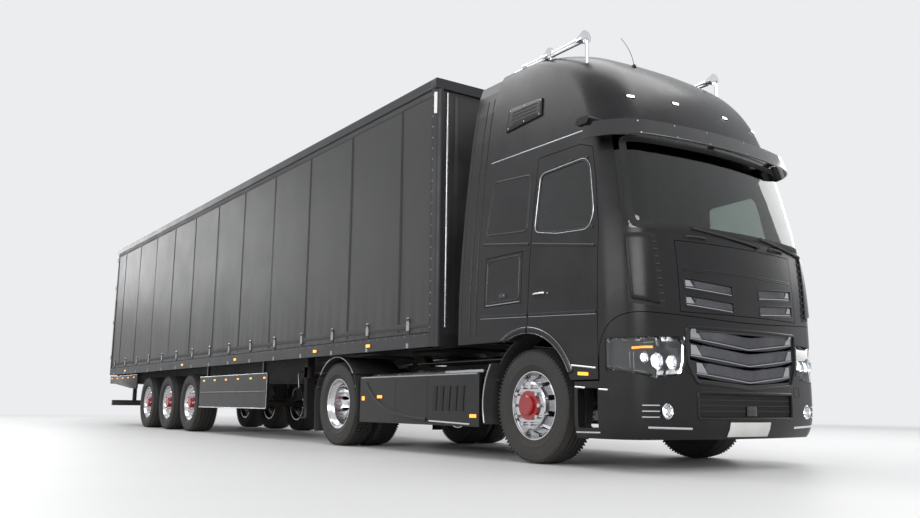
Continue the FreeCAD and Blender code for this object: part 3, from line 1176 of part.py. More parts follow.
def trailer_door_node(side):
    """Rear door on four barrel hinges, notched round the lugs of the rear frame."""
    pin_x = TRAILER_REAR_X + HINGE_SET
    door = box(pin_x + HINGE_GAP, pin_x + HINGE_GAP + DOOR_T, CENTRE_GAP, DOOR_HINGE_Y - 3.0, RAVE_BOTTOM_Z + 60.0,
               TRAILER_TOP_Z - ROOF_RAIL_H)
    barrels = []
    for z in HINGE_ZS:
        reach = HINGE_BARREL_H / 2 + HINGE_LUG_H + 8.0
        door = door.cut(box(pin_x - 20.0, pin_x + 80.0, DOOR_HINGE_Y - 28.0, BIG, z - reach, z + reach))
        half = HINGE_BARREL_H / 2 - FIT
        barrel = rod_z(HINGE_BARREL_R, z - half, z + half, pin_x, DOOR_HINGE_Y)
        strap = box(pin_x, pin_x + HINGE_GAP + 12.0, DOOR_HINGE_Y - 60.0, DOOR_HINGE_Y, z - half, z + half)
        barrels.append(joined([barrel, strap]).cut(rod_z(HINGE_PIN_R + FIT, z - half, z + half, pin_x, DOOR_HINGE_Y)))
    for end in (CENTRE_GAP + 90.0, CENTRE_GAP + 420.0):
        barrels.append(rod_z(11.0, RAVE_BOTTOM_Z + 64.0, TRAILER_TOP_Z - ROOF_RAIL_H - 4.0, pin_x - 2.0, end))
        for z in (RAVE_BOTTOM_Z + 300.0, 2550.0, 3700.0):
            barrels.append(box(pin_x - 8.0, pin_x + HINGE_GAP + 5.0, end - 30.0, end + 30.0, z - 25.0, z + 25.0))
    shape = joined([door] + barrels)
    return shape if side > 0 else other_side(shape)


def curtains_node():
    """Side curtains between the raves, the roof rails and the posts."""
    y = TRAILER_HALF_Y - CURTAIN_INSET
    curtain = box(REAR_FRAME_X + REAR_POST_T + FIT, TRAILER_FRONT_X - POST_W - FIT, y - CURTAIN_T, y,
                  DECK_Z + FIT, TRAILER_TOP_Z - ROOF_RAIL_H - FIT)
    return group(both_sides(curtain))


def trailer_roof_node():
    """Roof rails all round with the roof skin across them."""
    outer = box(TRAILER_REAR_X, TRAILER_FRONT_X, -TRAILER_HALF_Y, TRAILER_HALF_Y, TRAILER_TOP_Z - ROOF_RAIL_H,
                TRAILER_TOP_Z)
    inner = box(REAR_FRAME_X + REAR_POST_T, TRAILER_FRONT_X - POST_W, -TRAILER_HALF_Y + ROOF_RAIL_W,
                TRAILER_HALF_Y - ROOF_RAIL_W, TRAILER_TOP_Z - ROOF_RAIL_H, TRAILER_TOP_Z - ROOF_SKIN_T)
    return outer.cut(inner)


def side_guards_node():
    """Side fairings between the landing legs and the axles, hung on struts from the cross members."""
    parts = []
    low_z = CROSS_BOTTOM_Z
    face = box(GUARD_REAR_X, GUARD_FRONT_X, GUARD_FACE_Y - GUARD_FACE_T, GUARD_FACE_Y, GUARD_BOTTOM_Z, GUARD_TOP_Z)
    struts = [box(x - 25.0, x + 25.0, GUARD_FACE_Y - GUARD_FACE_T - 40.0, GUARD_FACE_Y - GUARD_FACE_T + 1.0,
                  GUARD_BOTTOM_Z + 40.0, low_z)
              for x in (cross_member_x(GUARD_FRONT_X - 150.0), cross_member_x(GUARD_REAR_X + 150.0))]
    panel = joined([face] + struts)
    return group(both_sides(panel))


def rear_guard_node():
    """Underrun bar on two arms, with the lamp board above it."""
    x0 = TRAILER_REAR_X + 30.0
    bar = box(x0, x0 + 100.0, -1180.0, 1180.0, UNDERRUN_Z - UNDERRUN_H / 2, UNDERRUN_Z + UNDERRUN_H / 2)
    arms = [box(x0 + 40.0, x0 + 100.0, s * 700.0 - 40.0, s * 700.0 + 40.0, UNDERRUN_Z, RAVE_BOTTOM_Z) for s in (1, -1)]
    board = box(x0, x0 + 40.0, -1240.0, 1240.0, RAVE_BOTTOM_Z - 190.0, RAVE_BOTTOM_Z - 20.0)
    return joined([bar, board] + arms)


def build():
    nodes = {
        "frame": frame_node(),
        "front_axle": front_axle_node(),
        "drive_axle": drive_axle_node(),
        "engine_block": engine_node(),
        "tanks": tanks_node(),
        "side_skirts": skirts_node(),
        "mudguards": mudguards_node(),
        "fifth_wheel": fifth_wheel_node(),
        "bumper": bumper_node(),
        "headlamps": headlamps_node(),
        "lower_grille": lower_grille_node(),
        "steps": steps_node(),
        "tail_lamps": tail_lamps_node(),
        "knuckle_left": knuckle(1),
        "knuckle_right": knuckle(-1),
        "cab_shell": cab_shell_node(),
        "roof_dome": roof_dome_node(),
        "sun_visor": sun_visor_node(),
        "windscreen": windscreen_node(),
        "deflectors": deflectors_node(),
        "dashboard": dashboard_node(),
        "seats": seats_node(),
        "horns": horns_node(),
        "mirror_cams": mirror_cams_node(),
        "wipers": wipers_node(),
        "front_flap": front_flap_node(),
        "upper_grille": upper_grille_node(),
        "trailer_beams": trailer_beams_node(),
        "cross_members": cross_members_node(),
        "trailer_coupler": trailer_coupler_node(),
        "trailer_floor": trailer_floor_node(),
        "trailer_axles": trailer_axles_node(),
        "landing_legs": landing_legs_node(),
        "headboard": headboard_node(),
        "trailer_posts": trailer_posts_node(),
        "rear_frame": rear_frame_node(),
        "curtains": curtains_node(),
        "trailer_roof": trailer_roof_node(),
        "side_guards": side_guards_node(),
        "rear_guard": rear_guard_node(),
    }
    for name, side in (("left", 1), ("right", -1)):
        nodes["door_" + name] = door_node(side)
        nodes["window_" + name] = window_node(side)
        nodes["locker_" + name] = locker_node(side)
        nodes["trailer_door_" + name] = trailer_door_node(side)
    nodes.update(wheel_nodes())
    return nodes


def main():
    os.makedirs("parts", exist_ok=True)
    for name, shape in build().items():
        shape.exportStep(os.path.join("parts", name + ".step"))


if __name__ == "__main__":
    main()
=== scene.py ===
"""Looks of the articulated lorry: finishes, trim, lamps, tyres, cloth and the studio round it.

Metres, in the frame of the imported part: +X is forward, +Y is the lorry's left and +Z is up. Every piece is
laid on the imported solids, which are read as they stand and are never moved.
"""
import json
import logging
import math
from dataclasses import dataclass, field
from enum import Enum, IntEnum
from typing import Callable, Iterable, Optional, Sequence

import bmesh
import bpy
import numpy as np
from bpy.types import NodeSocket, NodeTree, Object
from mathutils import Matrix, Vector
from mathutils.bvhtree import BVHTree

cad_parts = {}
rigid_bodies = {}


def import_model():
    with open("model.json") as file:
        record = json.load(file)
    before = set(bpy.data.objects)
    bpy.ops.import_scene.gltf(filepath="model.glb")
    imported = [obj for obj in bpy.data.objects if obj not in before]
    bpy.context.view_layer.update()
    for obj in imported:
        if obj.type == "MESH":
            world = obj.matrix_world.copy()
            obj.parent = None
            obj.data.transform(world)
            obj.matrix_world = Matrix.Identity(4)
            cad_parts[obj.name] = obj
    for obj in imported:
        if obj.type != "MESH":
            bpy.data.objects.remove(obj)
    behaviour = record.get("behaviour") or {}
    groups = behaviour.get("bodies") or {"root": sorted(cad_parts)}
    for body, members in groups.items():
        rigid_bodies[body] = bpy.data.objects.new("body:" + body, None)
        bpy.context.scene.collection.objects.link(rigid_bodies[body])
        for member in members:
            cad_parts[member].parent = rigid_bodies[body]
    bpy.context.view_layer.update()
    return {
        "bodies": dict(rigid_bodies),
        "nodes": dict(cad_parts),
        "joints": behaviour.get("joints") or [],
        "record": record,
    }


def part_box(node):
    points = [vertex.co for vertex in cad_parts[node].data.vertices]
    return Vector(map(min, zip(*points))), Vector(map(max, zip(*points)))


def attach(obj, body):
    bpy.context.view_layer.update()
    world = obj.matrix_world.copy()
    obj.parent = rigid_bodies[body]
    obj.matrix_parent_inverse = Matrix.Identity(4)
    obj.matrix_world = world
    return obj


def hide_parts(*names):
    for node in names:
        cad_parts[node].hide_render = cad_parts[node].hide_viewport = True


LOG = logging.getLogger("lorry")
Color = tuple[float, float, float]
Point2 = tuple[float, float]


class Side(IntEnum):
    """A side of the lorry; its number is the sign of y there."""

    LEFT = 1
    RIGHT = -1

    @property
    def tag(self) -> str:
        """The side as piece and node names have it."""
        return self.name.lower()


class Slot(Enum):
    """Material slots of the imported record."""

    PAINT = "paint_black"
    CHASSIS = "paint_dark"
    GREY = "paint_grey"
    PLASTIC = "plastic_black"
    CHROME = "chrome"
    GLASS = "glass"
    LAMP = "lamp"
    LAMP_RED = "lamp_red"
    CURTAIN = "curtain"
    WHEEL = "wheel_slot"
    SEAT = "seat_cloth"
    INTERIOR = "interior"
    CAST = "cast"
    FLOOR = "wood_floor"
    ALUMINIUM = "aluminium"


class Relief(Enum):
    """Fine surface patterns that a finish can carry."""

    GRAIN = "Grain relief"
    WEAVE = "Weave relief"
    BRUSHED = "Brushed relief"


class Nodes:
    """Adds nodes to a tree and wires them."""

    def __init__(self, tree: NodeTree) -> None:
        """Keep the tree that is being filled."""
        self.tree = tree

    def add(self, kind: str, inputs: Optional[dict] = None, **settings: object) -> bpy.types.Node:
        """Add one node.

        Args:
            kind: The node's type.
            inputs: Socket names or numbers, each with a value or with the output socket that feeds it.
            **settings: Attributes of the node, such as operation.

        Returns:
            The new node.
        """
        node = self.tree.nodes.new(kind)
        for name, value in settings.items():
            setattr(node, name, value)
        for socket, value in (inputs or {}).items():
            if isinstance(value, NodeSocket):
                self.tree.links.new(value, node.inputs[socket])
            else:
                node.inputs[socket].default_value = value
        return node

    def math(self, operation: str, *values: object, clamp: bool = False) -> NodeSocket:
        """Add a Math node and return its output."""
        return self.add(
            "ShaderNodeMath", dict(enumerate(values)), operation=operation, use_clamp=clamp).outputs[0]


def new_group(name: str, kind: str, inputs: dict, outputs: dict) -> tuple[NodeTree, Nodes, dict, dict]:
    """Start a node group with named sockets.

    Args:
        name: Name of the group.
        kind: Type of the tree, for shading or for geometry.
        inputs: Names of the inputs, each with its socket type and default value, or None for no default.
        outputs: Names of the outputs, each with its socket type.

    Returns:
        The tree, the helper that fills it, the group's input sockets by name, and its output sockets by name.
    """
    tree = bpy.data.node_groups.new(name, kind)
    for label, (socket_type, default) in inputs.items():
        socket = tree.interface.new_socket(label, in_out="INPUT", socket_type="NodeSocket" + socket_type)
        if default is not None:
            socket.default_value = default
    for label, socket_type in outputs.items():
        tree.interface.new_socket(label, in_out="OUTPUT", socket_type="NodeSocket" + socket_type)
    nodes = Nodes(tree)
    entry = nodes.add("NodeGroupInput")
    leave = nodes.add("NodeGroupOutput")
    return tree, nodes, entry.outputs, leave.inputs


class Effects:
    """Shader node groups that the finishes share."""

    def __init__(self) -> None:
        """Build every group once."""
        self.tone = self._tone()
        self.film = self._film()
        self.relief = {
            Relief.GRAIN: self._grain(), Relief.WEAVE: self._weave(), Relief.BRUSHED: self._brushed()}

    def _tone(self) -> NodeTree:
        """Cloudy change between two colours, with a matching mask.

        Returns:
            The group.
        """
        tree, nodes, given, out = new_group(
            "Tone", "ShaderNodeTree", {
            "Vector": ("Vector", None), "Color": ("Color", None), "Second": ("Color", None),
            "Scale": ("Float", 3.0)}, {"Color": "Color", "Mask": "Float"})
        noise = nodes.add(
            "ShaderNodeTexNoise",
            {"Vector": given["Vector"], "Scale": given["Scale"], "Detail": 6.0, "Roughness": 0.62})
        spread = nodes.add(
            "ShaderNodeMapRange", {"Value": noise.outputs["Fac"], "From Min": 0.36, "From Max": 0.66})
        mix = nodes.add(
            "ShaderNodeMixRGB",
            {"Fac": spread.outputs[0], "Color1": given["Color"], "Color2": given["Second"]})
        tree.links.new(mix.outputs[0], out["Color"])
        tree.links.new(spread.outputs[0], out["Mask"])
        return tree

    def _film(self) -> NodeTree:
        """Road film that thins out with height, over a colour and a roughness.

        Returns:
            The group.
        """
        tree, nodes, given, out = new_group(
            "Road film", "ShaderNodeTree", {
            "Vector": ("Vector", None), "Color": ("Color", None), "Roughness": ("Float", 0.5),
            "Amount": ("Float", 0.3), "Height": ("Float", 1.1), "Film": ("Color", (0.09, 0.08, 0.07, 1.0))},
            {"Color": "Color", "Roughness": "Float"})
        height = nodes.add("ShaderNodeSeparateXYZ", {"Vector": given["Vector"]}).outputs["Z"]
        low = nodes.math("SUBTRACT", 1.0, nodes.math("DIVIDE", height, given["Height"]), clamp=True)
        cloud = nodes.add(
            "ShaderNodeTexNoise",
            {"Vector": given["Vector"], "Scale": 5.0, "Detail": 8.0, "Roughness": 0.7}).outputs["Fac"]
        mask = nodes.math("MULTIPLY", nodes.math("MULTIPLY", low, cloud), given["Amount"], clamp=True)
        mix = nodes.add("ShaderNodeMixRGB", {"Fac": mask, "Color1": given["Color"], "Color2": given["Film"]})
        rough = nodes.math("ADD", given["Roughness"], nodes.math("MULTIPLY", mask, 0.4), clamp=True)
        tree.links.new(mix.outputs[0], out["Color"])
        tree.links.new(rough, out["Roughness"])
        return tree

    def _relief_group(self, relief: Relief) -> tuple[NodeTree, Nodes, dict, dict]:
        """Start one relief group, which puts out a normal and a mask.

        Args:
            relief: The surface pattern.

        Returns:
            What new_group gives.
        """
        return new_group(
            relief.value, "ShaderNodeTree", {
            "Vector": ("Vector", None), "Scale": ("Float", 400.0), "Strength": ("Float", 0.1),
            "Distance": ("Float", 0.001)}, {"Normal": "Vector", "Mask": "Float"})

    def _close_relief(self, parts: tuple, height: NodeSocket) -> NodeTree:
        """Turn a height into the relief group's normal and mask.

        Args:
            parts: What new_group gave.
            height: The output that holds the height.

        Returns:
            The group.
        """
        tree, nodes, given, out = parts
        bump = nodes.add(
            "ShaderNodeBump",
            {"Strength": given["Strength"], "Distance": given["Distance"], "Height": height})
        tree.links.new(bump.outputs[0], out["Normal"])
        tree.links.new(height, out["Mask"])
        return tree

    def _grain(self) -> NodeTree:
        """Even fine grain, as in spray paint or moulded plastic.

        Returns:
            The group.
        """
        parts = self._relief_group(Relief.GRAIN)
        noise = parts[1].add(
            "ShaderNodeTexNoise", {"Vector": parts[2]["Vector"], "Scale": parts[2]["Scale"], "Detail": 2.0})
        return self._close_relief(parts, noise.outputs["Fac"])

    def _weave(self) -> NodeTree:
        """Over-and-under threads along the length and the height.

        Returns:
            The group.
        """
        parts = self._relief_group(Relief.WEAVE)
        nodes, given = parts[1], parts[2]
        waves = [
            nodes.add(
                "ShaderNodeTexWave", {"Vector": given["Vector"], "Scale": given["Scale"], "Distortion": 0.4},
                bands_direction=way).outputs["Fac"] for way in ("X", "Z")]
        return self._close_relief(parts, nodes.math("MAXIMUM", *waves))

    def _brushed(self) -> NodeTree:
        """Fine scratches drawn along the length.

        Returns:
            The group.
        """
        parts = self._relief_group(Relief.BRUSHED)
        nodes, given = parts[1], parts[2]
        drawn = nodes.add("ShaderNodeMapping", {"Vector": given["Vector"], "Scale": (0.04, 1.0, 1.0)})
        noise = nodes.add(
            "ShaderNodeTexNoise", {"Vector": drawn.outputs[0], "Scale": given["Scale"], "Detail": 3.0})
        return self._close_relief(parts, noise.outputs["Fac"])


@dataclass(frozen=True)
class Finish:
    """One surface finish, turned into a procedural material when it is first used."""

    name: str
    slot: Slot
    color: Color
    second: Color
    roughness: float
    metallic: float = 0.0
    relief: Relief = Relief.GRAIN
    grain: float = 500.0
    depth: float = 0.1
    cloud: float = 2.5
    vary: float = 0.08
    film: float = 0.0
    film_top: float = 1.2
    coat: float = 0.0
    transmission: float = 0.0
    ior: float = 1.5
    sheen: float = 0.0
    specular: float = 0.5
    glow: Optional[Color] = None
    power: float = 0.0

    def material(self, effects: Effects) -> bpy.types.Material:
        """Give the finish's material, and build it the first time.

        Args:
            effects: The shared shader node groups.

        Returns:
            The material.
        """
        if self.name in bpy.data.materials:
            return bpy.data.materials[self.name]
        material = bpy.data.materials.new(self.name)
        material.use_nodes = True
        tree = material.node_tree
        shader = tree.nodes["Principled BSDF"]
        nodes = Nodes(tree)
        place = nodes.add("ShaderNodeTexCoord").outputs["Object"]
        tone = nodes.add("ShaderNodeGroup", node_tree=effects.tone)
        relief = nodes.add("ShaderNodeGroup", node_tree=effects.relief[self.relief])
        for group in (tone, relief):
            tree.links.new(place, group.inputs["Vector"])
        tone.inputs["Color"].default_value = (*self.color, 1.0)
        tone.inputs["Second"].default_value = (*self.second, 1.0)
        tone.inputs["Scale"].default_value = self.cloud
        relief.inputs["Scale"].default_value = self.grain
        relief.inputs["Strength"].default_value = self.depth
        rough = nodes.add(
            "ShaderNodeMapRange", {
            "Value": tone.outputs["Mask"], "To Min": max(self.roughness - self.vary, 0.01),
            "To Max": min(self.roughness + self.vary, 1.0)}).outputs[0]
        color = tone.outputs["Color"]
        if self.film:
            film = nodes.add("ShaderNodeGroup", node_tree=effects.film)
            for name, source in (("Vector", place), ("Color", color), ("Roughness", rough)):
                tree.links.new(source, film.inputs[name])
            film.inputs["Amount"].default_value = self.film
            film.inputs["Height"].default_value = self.film_top
            color, rough = film.outputs["Color"], film.outputs["Roughness"]
        tree.links.new(color, shader.inputs["Base Color"])
        tree.links.new(rough, shader.inputs["Roughness"])
        tree.links.new(relief.outputs["Normal"], shader.inputs["Normal"])
        shader.inputs["Metallic"].default_value = self.metallic
        shader.inputs["Coat Weight"].default_value = self.coat
        shader.inputs["Coat Roughness"].default_value = 0.08
        shader.inputs["Transmission Weight"].default_value = self.transmission
        shader.inputs["IOR"].default_value = self.ior
        shader.inputs["Specular IOR Level"].default_value = self.specular
        shader.inputs["Sheen Weight"].default_value = self.sheen
        if self.glow:
            shader.inputs["Emission Color"].default_value = (*self.glow, 1.0)
            shader.inputs["Emission Strength"].default_value = self.power
        return material


PAINT = Finish(
    "satin_black_paint", Slot.PAINT, (0.0055, 0.0055, 0.0062), (0.0085, 0.0085, 0.0095), 0.3, grain=900.0,
    depth=0.03, vary=0.04, film=0.14, specular=0.32)
GLOSS = Finish(
    "gloss_black_paint", Slot.PAINT, (0.008, 0.008, 0.009), (0.013, 0.013, 0.014), 0.12, grain=60.0,
    depth=0.02, vary=0.03, coat=0.5)
# Near-black sheet for real dark seams and the printed band round the windscreen; it is also laid flat as
# painted shade where recesses, slots and vents fall into shadow.
SEAM_PRINT_AND_SHADE = Finish(
    "black_joint_rubber", Slot.PLASTIC, (0.004, 0.004, 0.004), (0.007, 0.007, 0.007), 0.75, grain=600.0,
    depth=0.2)
CHASSIS = Finish(
    "black_chassis_paint", Slot.CHASSIS, (0.017, 0.017, 0.018), (0.026, 0.025, 0.024), 0.48, grain=320.0,
    depth=0.12, film=0.7, film_top=1.5)
PLASTIC = Finish(
    "grained_black_plastic", Slot.PLASTIC, (0.018, 0.018, 0.019), (0.027, 0.027, 0.028), 0.6, grain=800.0,
    depth=0.35, film=0.4)
RUBBER = Finish(
    "black_rubber", Slot.PLASTIC, (0.014, 0.014, 0.014), (0.024, 0.024, 0.023), 0.72, grain=300.0, depth=0.25,
    film=0.5)
MESH_GREY = Finish("bright_grille_wire", Slot.PLASTIC, (0.3, 0.3, 0.32), (0.2, 0.2, 0.22), 0.34, metallic=0.9)
MESH = Finish("black_grille_mesh", Slot.PLASTIC, (0.01, 0.01, 0.011), (0.016, 0.016, 0.017), 0.4)
CHROME = Finish(
    "polished_chrome", Slot.CHROME, (0.78, 0.79, 0.8), (0.66, 0.67, 0.69), 0.07, metallic=1.0, grain=30.0,
    depth=0.015, vary=0.03)
SATIN = Finish(
    "satin_silver_trim", Slot.CHROME, (0.42, 0.43, 0.45), (0.34, 0.35, 0.37), 0.28, metallic=1.0,
    relief=Relief.BRUSHED, grain=900.0, depth=0.08)
ALLOY = Finish(
    "polished_alloy", Slot.WHEEL, (0.7, 0.7, 0.71), (0.58, 0.58, 0.6), 0.14, metallic=1.0,
    relief=Relief.BRUSHED, grain=700.0, depth=0.05, vary=0.05, film=0.16)
HUB_RED = Finish(
    "deep_red_hub_paint", Slot.WHEEL, (0.34, 0.008, 0.01), (0.25, 0.006, 0.008), 0.28, grain=90.0, depth=0.04,
    coat=0.6)
TYRE = Finish(
    "tyre_rubber", Slot.WHEEL, (0.015, 0.015, 0.015), (0.026, 0.025, 0.024), 0.74, grain=420.0, depth=0.3,
    cloud=6.0, film=0.45, film_top=1.1)
GLASS = Finish(
    "tinted_glass", Slot.GLASS, (0.2, 0.23, 0.22), (0.18, 0.205, 0.195), 0.02, grain=3.0, depth=0.004,
    vary=0.01, transmission=1.0, specular=0.3)
LENS = Finish(
    "clear_lamp_lens", Slot.LAMP, (0.94, 0.95, 0.96), (0.9, 0.92, 0.94), 0.03, grain=40.0, depth=0.02,
    vary=0.01, transmission=1.0)
LED_WHITE = Finish(
    "lit_white_lamp", Slot.LAMP, (0.95, 0.96, 1.0), (0.85, 0.88, 0.95), 0.3, grain=300.0, depth=0.2,
    glow=(0.92, 0.96, 1.0), power=5.0)
AMBER = Finish(
    "lit_amber_lens", Slot.LAMP, (0.95, 0.3, 0.02), (0.8, 0.22, 0.01), 0.2, depth=0.3, glow=(1.0, 0.36, 0.04),
    power=1.6)
RED_LENS = Finish(
    "red_lamp_lens", Slot.LAMP_RED, (0.55, 0.012, 0.008), (0.42, 0.008, 0.006), 0.16, depth=0.3, coat=0.5,
    glow=(0.8, 0.02, 0.01), power=0.25)
REFLECTOR = Finish(
    "white_reflective_tape", Slot.LAMP, (0.82, 0.82, 0.8), (0.7, 0.7, 0.69), 0.3, grain=700.0, depth=0.4,
    cloud=60.0)
BLANK_PLATE = Finish(
    "blank_white_plate", Slot.LAMP, (0.8, 0.8, 0.78), (0.74, 0.74, 0.72), 0.35, grain=200.0, depth=0.06,
    film=0.2)
CURTAIN = Finish(
    "black_coated_cloth", Slot.CURTAIN, (0.009, 0.009, 0.0095), (0.011, 0.011, 0.0115), 0.44,
    relief=Relief.WEAVE, grain=260.0, depth=0.08, cloud=1.6, vary=0.03, sheen=0.08, specular=0.35)
CURTAIN_SEAM = Finish(
    "welded_cloth_seam", Slot.CURTAIN, (0.02, 0.02, 0.021), (0.027, 0.027, 0.028), 0.36, relief=Relief.WEAVE,
    grain=260.0, depth=0.06)
WEBBING = Finish(
    "black_strap_webbing", Slot.CURTAIN, (0.02, 0.02, 0.021), (0.032, 0.032, 0.033), 0.7, relief=Relief.WEAVE,
    depth=0.5, film=0.3)
SEAT_CLOTH = Finish(
    "dark_seat_cloth", Slot.SEAT, (0.045, 0.05, 0.05), (0.07, 0.076, 0.076), 0.85, relief=Relief.WEAVE,
    grain=450.0, depth=0.4, sheen=0.4)
SEAT_LEATHER = Finish(
    "black_seat_leather", Slot.SEAT, (0.016, 0.016, 0.017), (0.026, 0.025, 0.025), 0.42, grain=240.0,
    depth=0.35)
INTERIOR = Finish(
    "grey_interior_plastic", Slot.INTERIOR, (0.075, 0.082, 0.08), (0.1, 0.108, 0.105), 0.6, grain=700.0,
    depth=0.3)
CAST = Finish(
    "dark_cast_iron", Slot.CAST, (0.022, 0.021, 0.02), (0.045, 0.036, 0.028), 0.62, grain=220.0, depth=0.5,
    cloud=9.0, film=0.6)
STEEL = Finish(
    "zinc_plated_steel", Slot.ALUMINIUM, (0.36, 0.36, 0.35), (0.25, 0.25, 0.25), 0.38, metallic=1.0,
    grain=260.0, depth=0.15, cloud=14.0, film=0.3)
ALUMINIUM = Finish(
    "plain_aluminium", Slot.ALUMINIUM, (0.5, 0.51, 0.52), (0.4, 0.41, 0.42), 0.34, metallic=1.0,
    relief=Relief.BRUSHED, film=0.3)
RAIL_GREY = Finish(
    "dark_anodised_rail", Slot.GREY, (0.03, 0.03, 0.032), (0.024, 0.024, 0.026), 0.42, metallic=0.35,
    relief=Relief.BRUSHED, depth=0.06, film=0.2, vary=0.03, specular=0.4)
PLYWOOD = Finish(
    "sealed_plywood", Slot.FLOOR, (0.16, 0.105, 0.06), (0.09, 0.058, 0.034), 0.55, relief=Relief.BRUSHED,
    grain=60.0, depth=0.3, cloud=8.0)

NODE_FINISHES: dict[str, Finish] = {
    "frame": CHASSIS, "front_axle": CAST, "drive_axle": CAST, "engine_block": CAST, "tanks": ALUMINIUM,
    "side_skirts": PAINT, "mudguards": PLASTIC, "fifth_wheel": CAST, "bumper": PAINT, "headlamps": LENS,
    "lower_grille": MESH, "steps": PLASTIC, "tail_lamps": RED_LENS, "cab_shell": PAINT, "roof_dome": PAINT,
    "sun_visor": GLOSS, "windscreen": GLASS, "deflectors": PAINT, "dashboard": INTERIOR, "seats": SEAT_CLOTH,
    "horns": CHROME, "mirror_cams": PAINT, "wipers": RUBBER, "front_flap": PAINT, "upper_grille": MESH,
    "trailer_beams": CHASSIS, "cross_members": CHASSIS, "trailer_coupler": CAST, "trailer_floor": PLYWOOD,
    "trailer_axles": CAST, "landing_legs": RAIL_GREY, "headboard": CHASSIS, "trailer_posts": RAIL_GREY,
    "rear_frame": RAIL_GREY, "curtains": CURTAIN, "trailer_roof": RAIL_GREY, "side_guards": PAINT,
    "rear_guard": CHASSIS, "door": PAINT, "window": GLASS, "locker": PAINT, "knuckle": CAST,
    "trailer_door": CHASSIS, "wheel": ALLOY}


class Repeats:
    """Geometry Nodes trees for what repeats, and the step that turns their result into a plain mesh."""

    def __init__(self) -> None:
        """Build the trees once."""
        self.row = self._row()
        self.ring = self._ring()
        self.scatter = self._scatter()

    def _end(self, nodes: Nodes, geometry: NodeSocket, given: dict, out: dict) -> None:
        """Close a tree with Realize Instances and Set Material.

        Args:
            nodes: The tree in the making.
            geometry: The copies.
            given: The tree's inputs.
            out: The tree's outputs.
        """
        real = nodes.add("GeometryNodeRealizeInstances", {"Geometry": geometry})
        dressed = nodes.add(
            "GeometryNodeSetMaterial", {"Geometry": real.outputs[0], "Material": given["Material"]})
        nodes.tree.links.new(dressed.outputs[0], out["Geometry"])

    def _row(self) -> NodeTree:
        """Copies of the piece on a straight line.

        Returns:
            The tree.
        """
        tree, nodes, given, out = new_group(
            "Row of pieces", "GeometryNodeTree", {
            "Geometry": ("Geometry", None), "Count": ("Int", 2), "Step": ("Vector", None),
            "Material": ("Material", None)}, {"Geometry": "Geometry"})
        line = nodes.add(
            "GeometryNodeMeshLine", {"Count": given["Count"], "Offset": given["Step"]}, mode="OFFSET")
        copies = nodes.add(
            "GeometryNodeInstanceOnPoints", {"Points": line.outputs[0], "Instance": given["Geometry"]})
        self._end(nodes, copies.outputs[0], given, out)
        return tree

    def _ring(self) -> NodeTree:
        """Copies of the piece turned about a cross axis.

        Returns:
            The tree.
        """
        tree, nodes, given, out = new_group(
            "Ring of pieces", "GeometryNodeTree", {
            "Geometry": ("Geometry", None), "Count": ("Int", 8), "Centre": ("Vector", None),
            "Material": ("Material", None)}, {"Geometry": "Geometry"})
        points = nodes.add("GeometryNodePoints", {"Count": given["Count"], "Position": given["Centre"]})
        index = nodes.add("GeometryNodeInputIndex").outputs[0]
        turn = nodes.math("MULTIPLY", index, nodes.math("DIVIDE", 2.0 * math.pi, given["Count"]))
        angles = nodes.add("ShaderNodeCombineXYZ", {"Y": turn})
        copies = nodes.add(
            "GeometryNodeInstanceOnPoints",
            {"Points": points.outputs[0], "Instance": given["Geometry"], "Rotation": angles.outputs[0]})
        self._end(nodes, copies.outputs[0], given, out)
        return tree

    def _scatter(self) -> NodeTree:
        """Copies of a template on each point, standing along the point's outward attribute.

        Returns:
            The tree.
        """
        tree, nodes, given, out = new_group(
            "Fasteners on points", "GeometryNodeTree",
            {"Geometry": ("Geometry", None), "Template": ("Object", None), "Material": ("Material", None)},
            {"Geometry": "Geometry"})
        shape = nodes.add("GeometryNodeObjectInfo", {"Object": given["Template"]})
        outward = nodes.add("GeometryNodeInputNamedAttribute", {"Name": "outward"}, data_type="FLOAT_VECTOR")
        upright = nodes.add("FunctionNodeAlignRotationToVector", {"Vector": outward.outputs[0]}, axis="Z")
        along = nodes.add("GeometryNodeInputNamedAttribute", {"Name": "along"}, data_type="FLOAT_VECTOR")
        turn = nodes.add(
            "FunctionNodeAlignRotationToVector", {"Rotation": upright.outputs[0], "Vector": along.outputs[0]},
            axis="X", pivot_axis="Z")
        copies = nodes.add(
            "GeometryNodeInstanceOnPoints",
            {"Points": given["Geometry"], "Instance": shape.outputs["Geometry"], "Rotation": turn.outputs[0]})
        self._end(nodes, copies.outputs[0], given, out)
        return tree

    def apply(self, piece: Object, tree: NodeTree, values: dict) -> Object:
        """Run a tree on a piece and keep the plain mesh that it makes.

        Args:
            piece: The object that carries the tree for a moment.
            tree: The tree to run.
            values: The tree's inputs by name.

        Returns:
            The same object with its new mesh and no modifier.
        """
        modifier = piece.modifiers.new("repeat", "NODES")
        modifier.node_group = tree
        for item in tree.interface.items_tree:
            if item.item_type == "SOCKET" and item.in_out == "INPUT" and item.name in values:
                modifier[item.identifier] = values[item.name]
        piece.update_tag()
        flatten(piece)
        return piece


def new_object(name: str, data: bpy.types.ID) -> Object:
    """Put data into the scene as an object.

    Args:
        name: Name of the object.
        data: Its mesh, lamp or camera.

    Returns:
        The object.
    """
    made = bpy.data.objects.new(name, data)
    bpy.context.scene.collection.objects.link(made)
    return made


def merged_copy(node: Object) -> bmesh.types.BMesh:
    """Copy a node's mesh, with its doubled corners merged.

    Args:
        node: The node's object.

    Returns:
        The merged mesh, which the caller frees.
    """
    merged = bmesh.new()
    merged.from_mesh(node.data)
    bmesh.ops.remove_doubles(merged, verts=merged.verts, dist=2e-5)
    return merged


def flatten(piece: Object) -> None:
    """Replace an object's mesh by what its modifiers make of it, and drop the modifiers.

    Args:
        piece: The object.
    """
    bpy.context.view_layer.update()
    evaluated = piece.evaluated_get(bpy.context.evaluated_depsgraph_get())
    mesh = bpy.data.meshes.new_from_object(evaluated)
    mesh.name = piece.name
    piece.modifiers.clear()
    piece.data = mesh


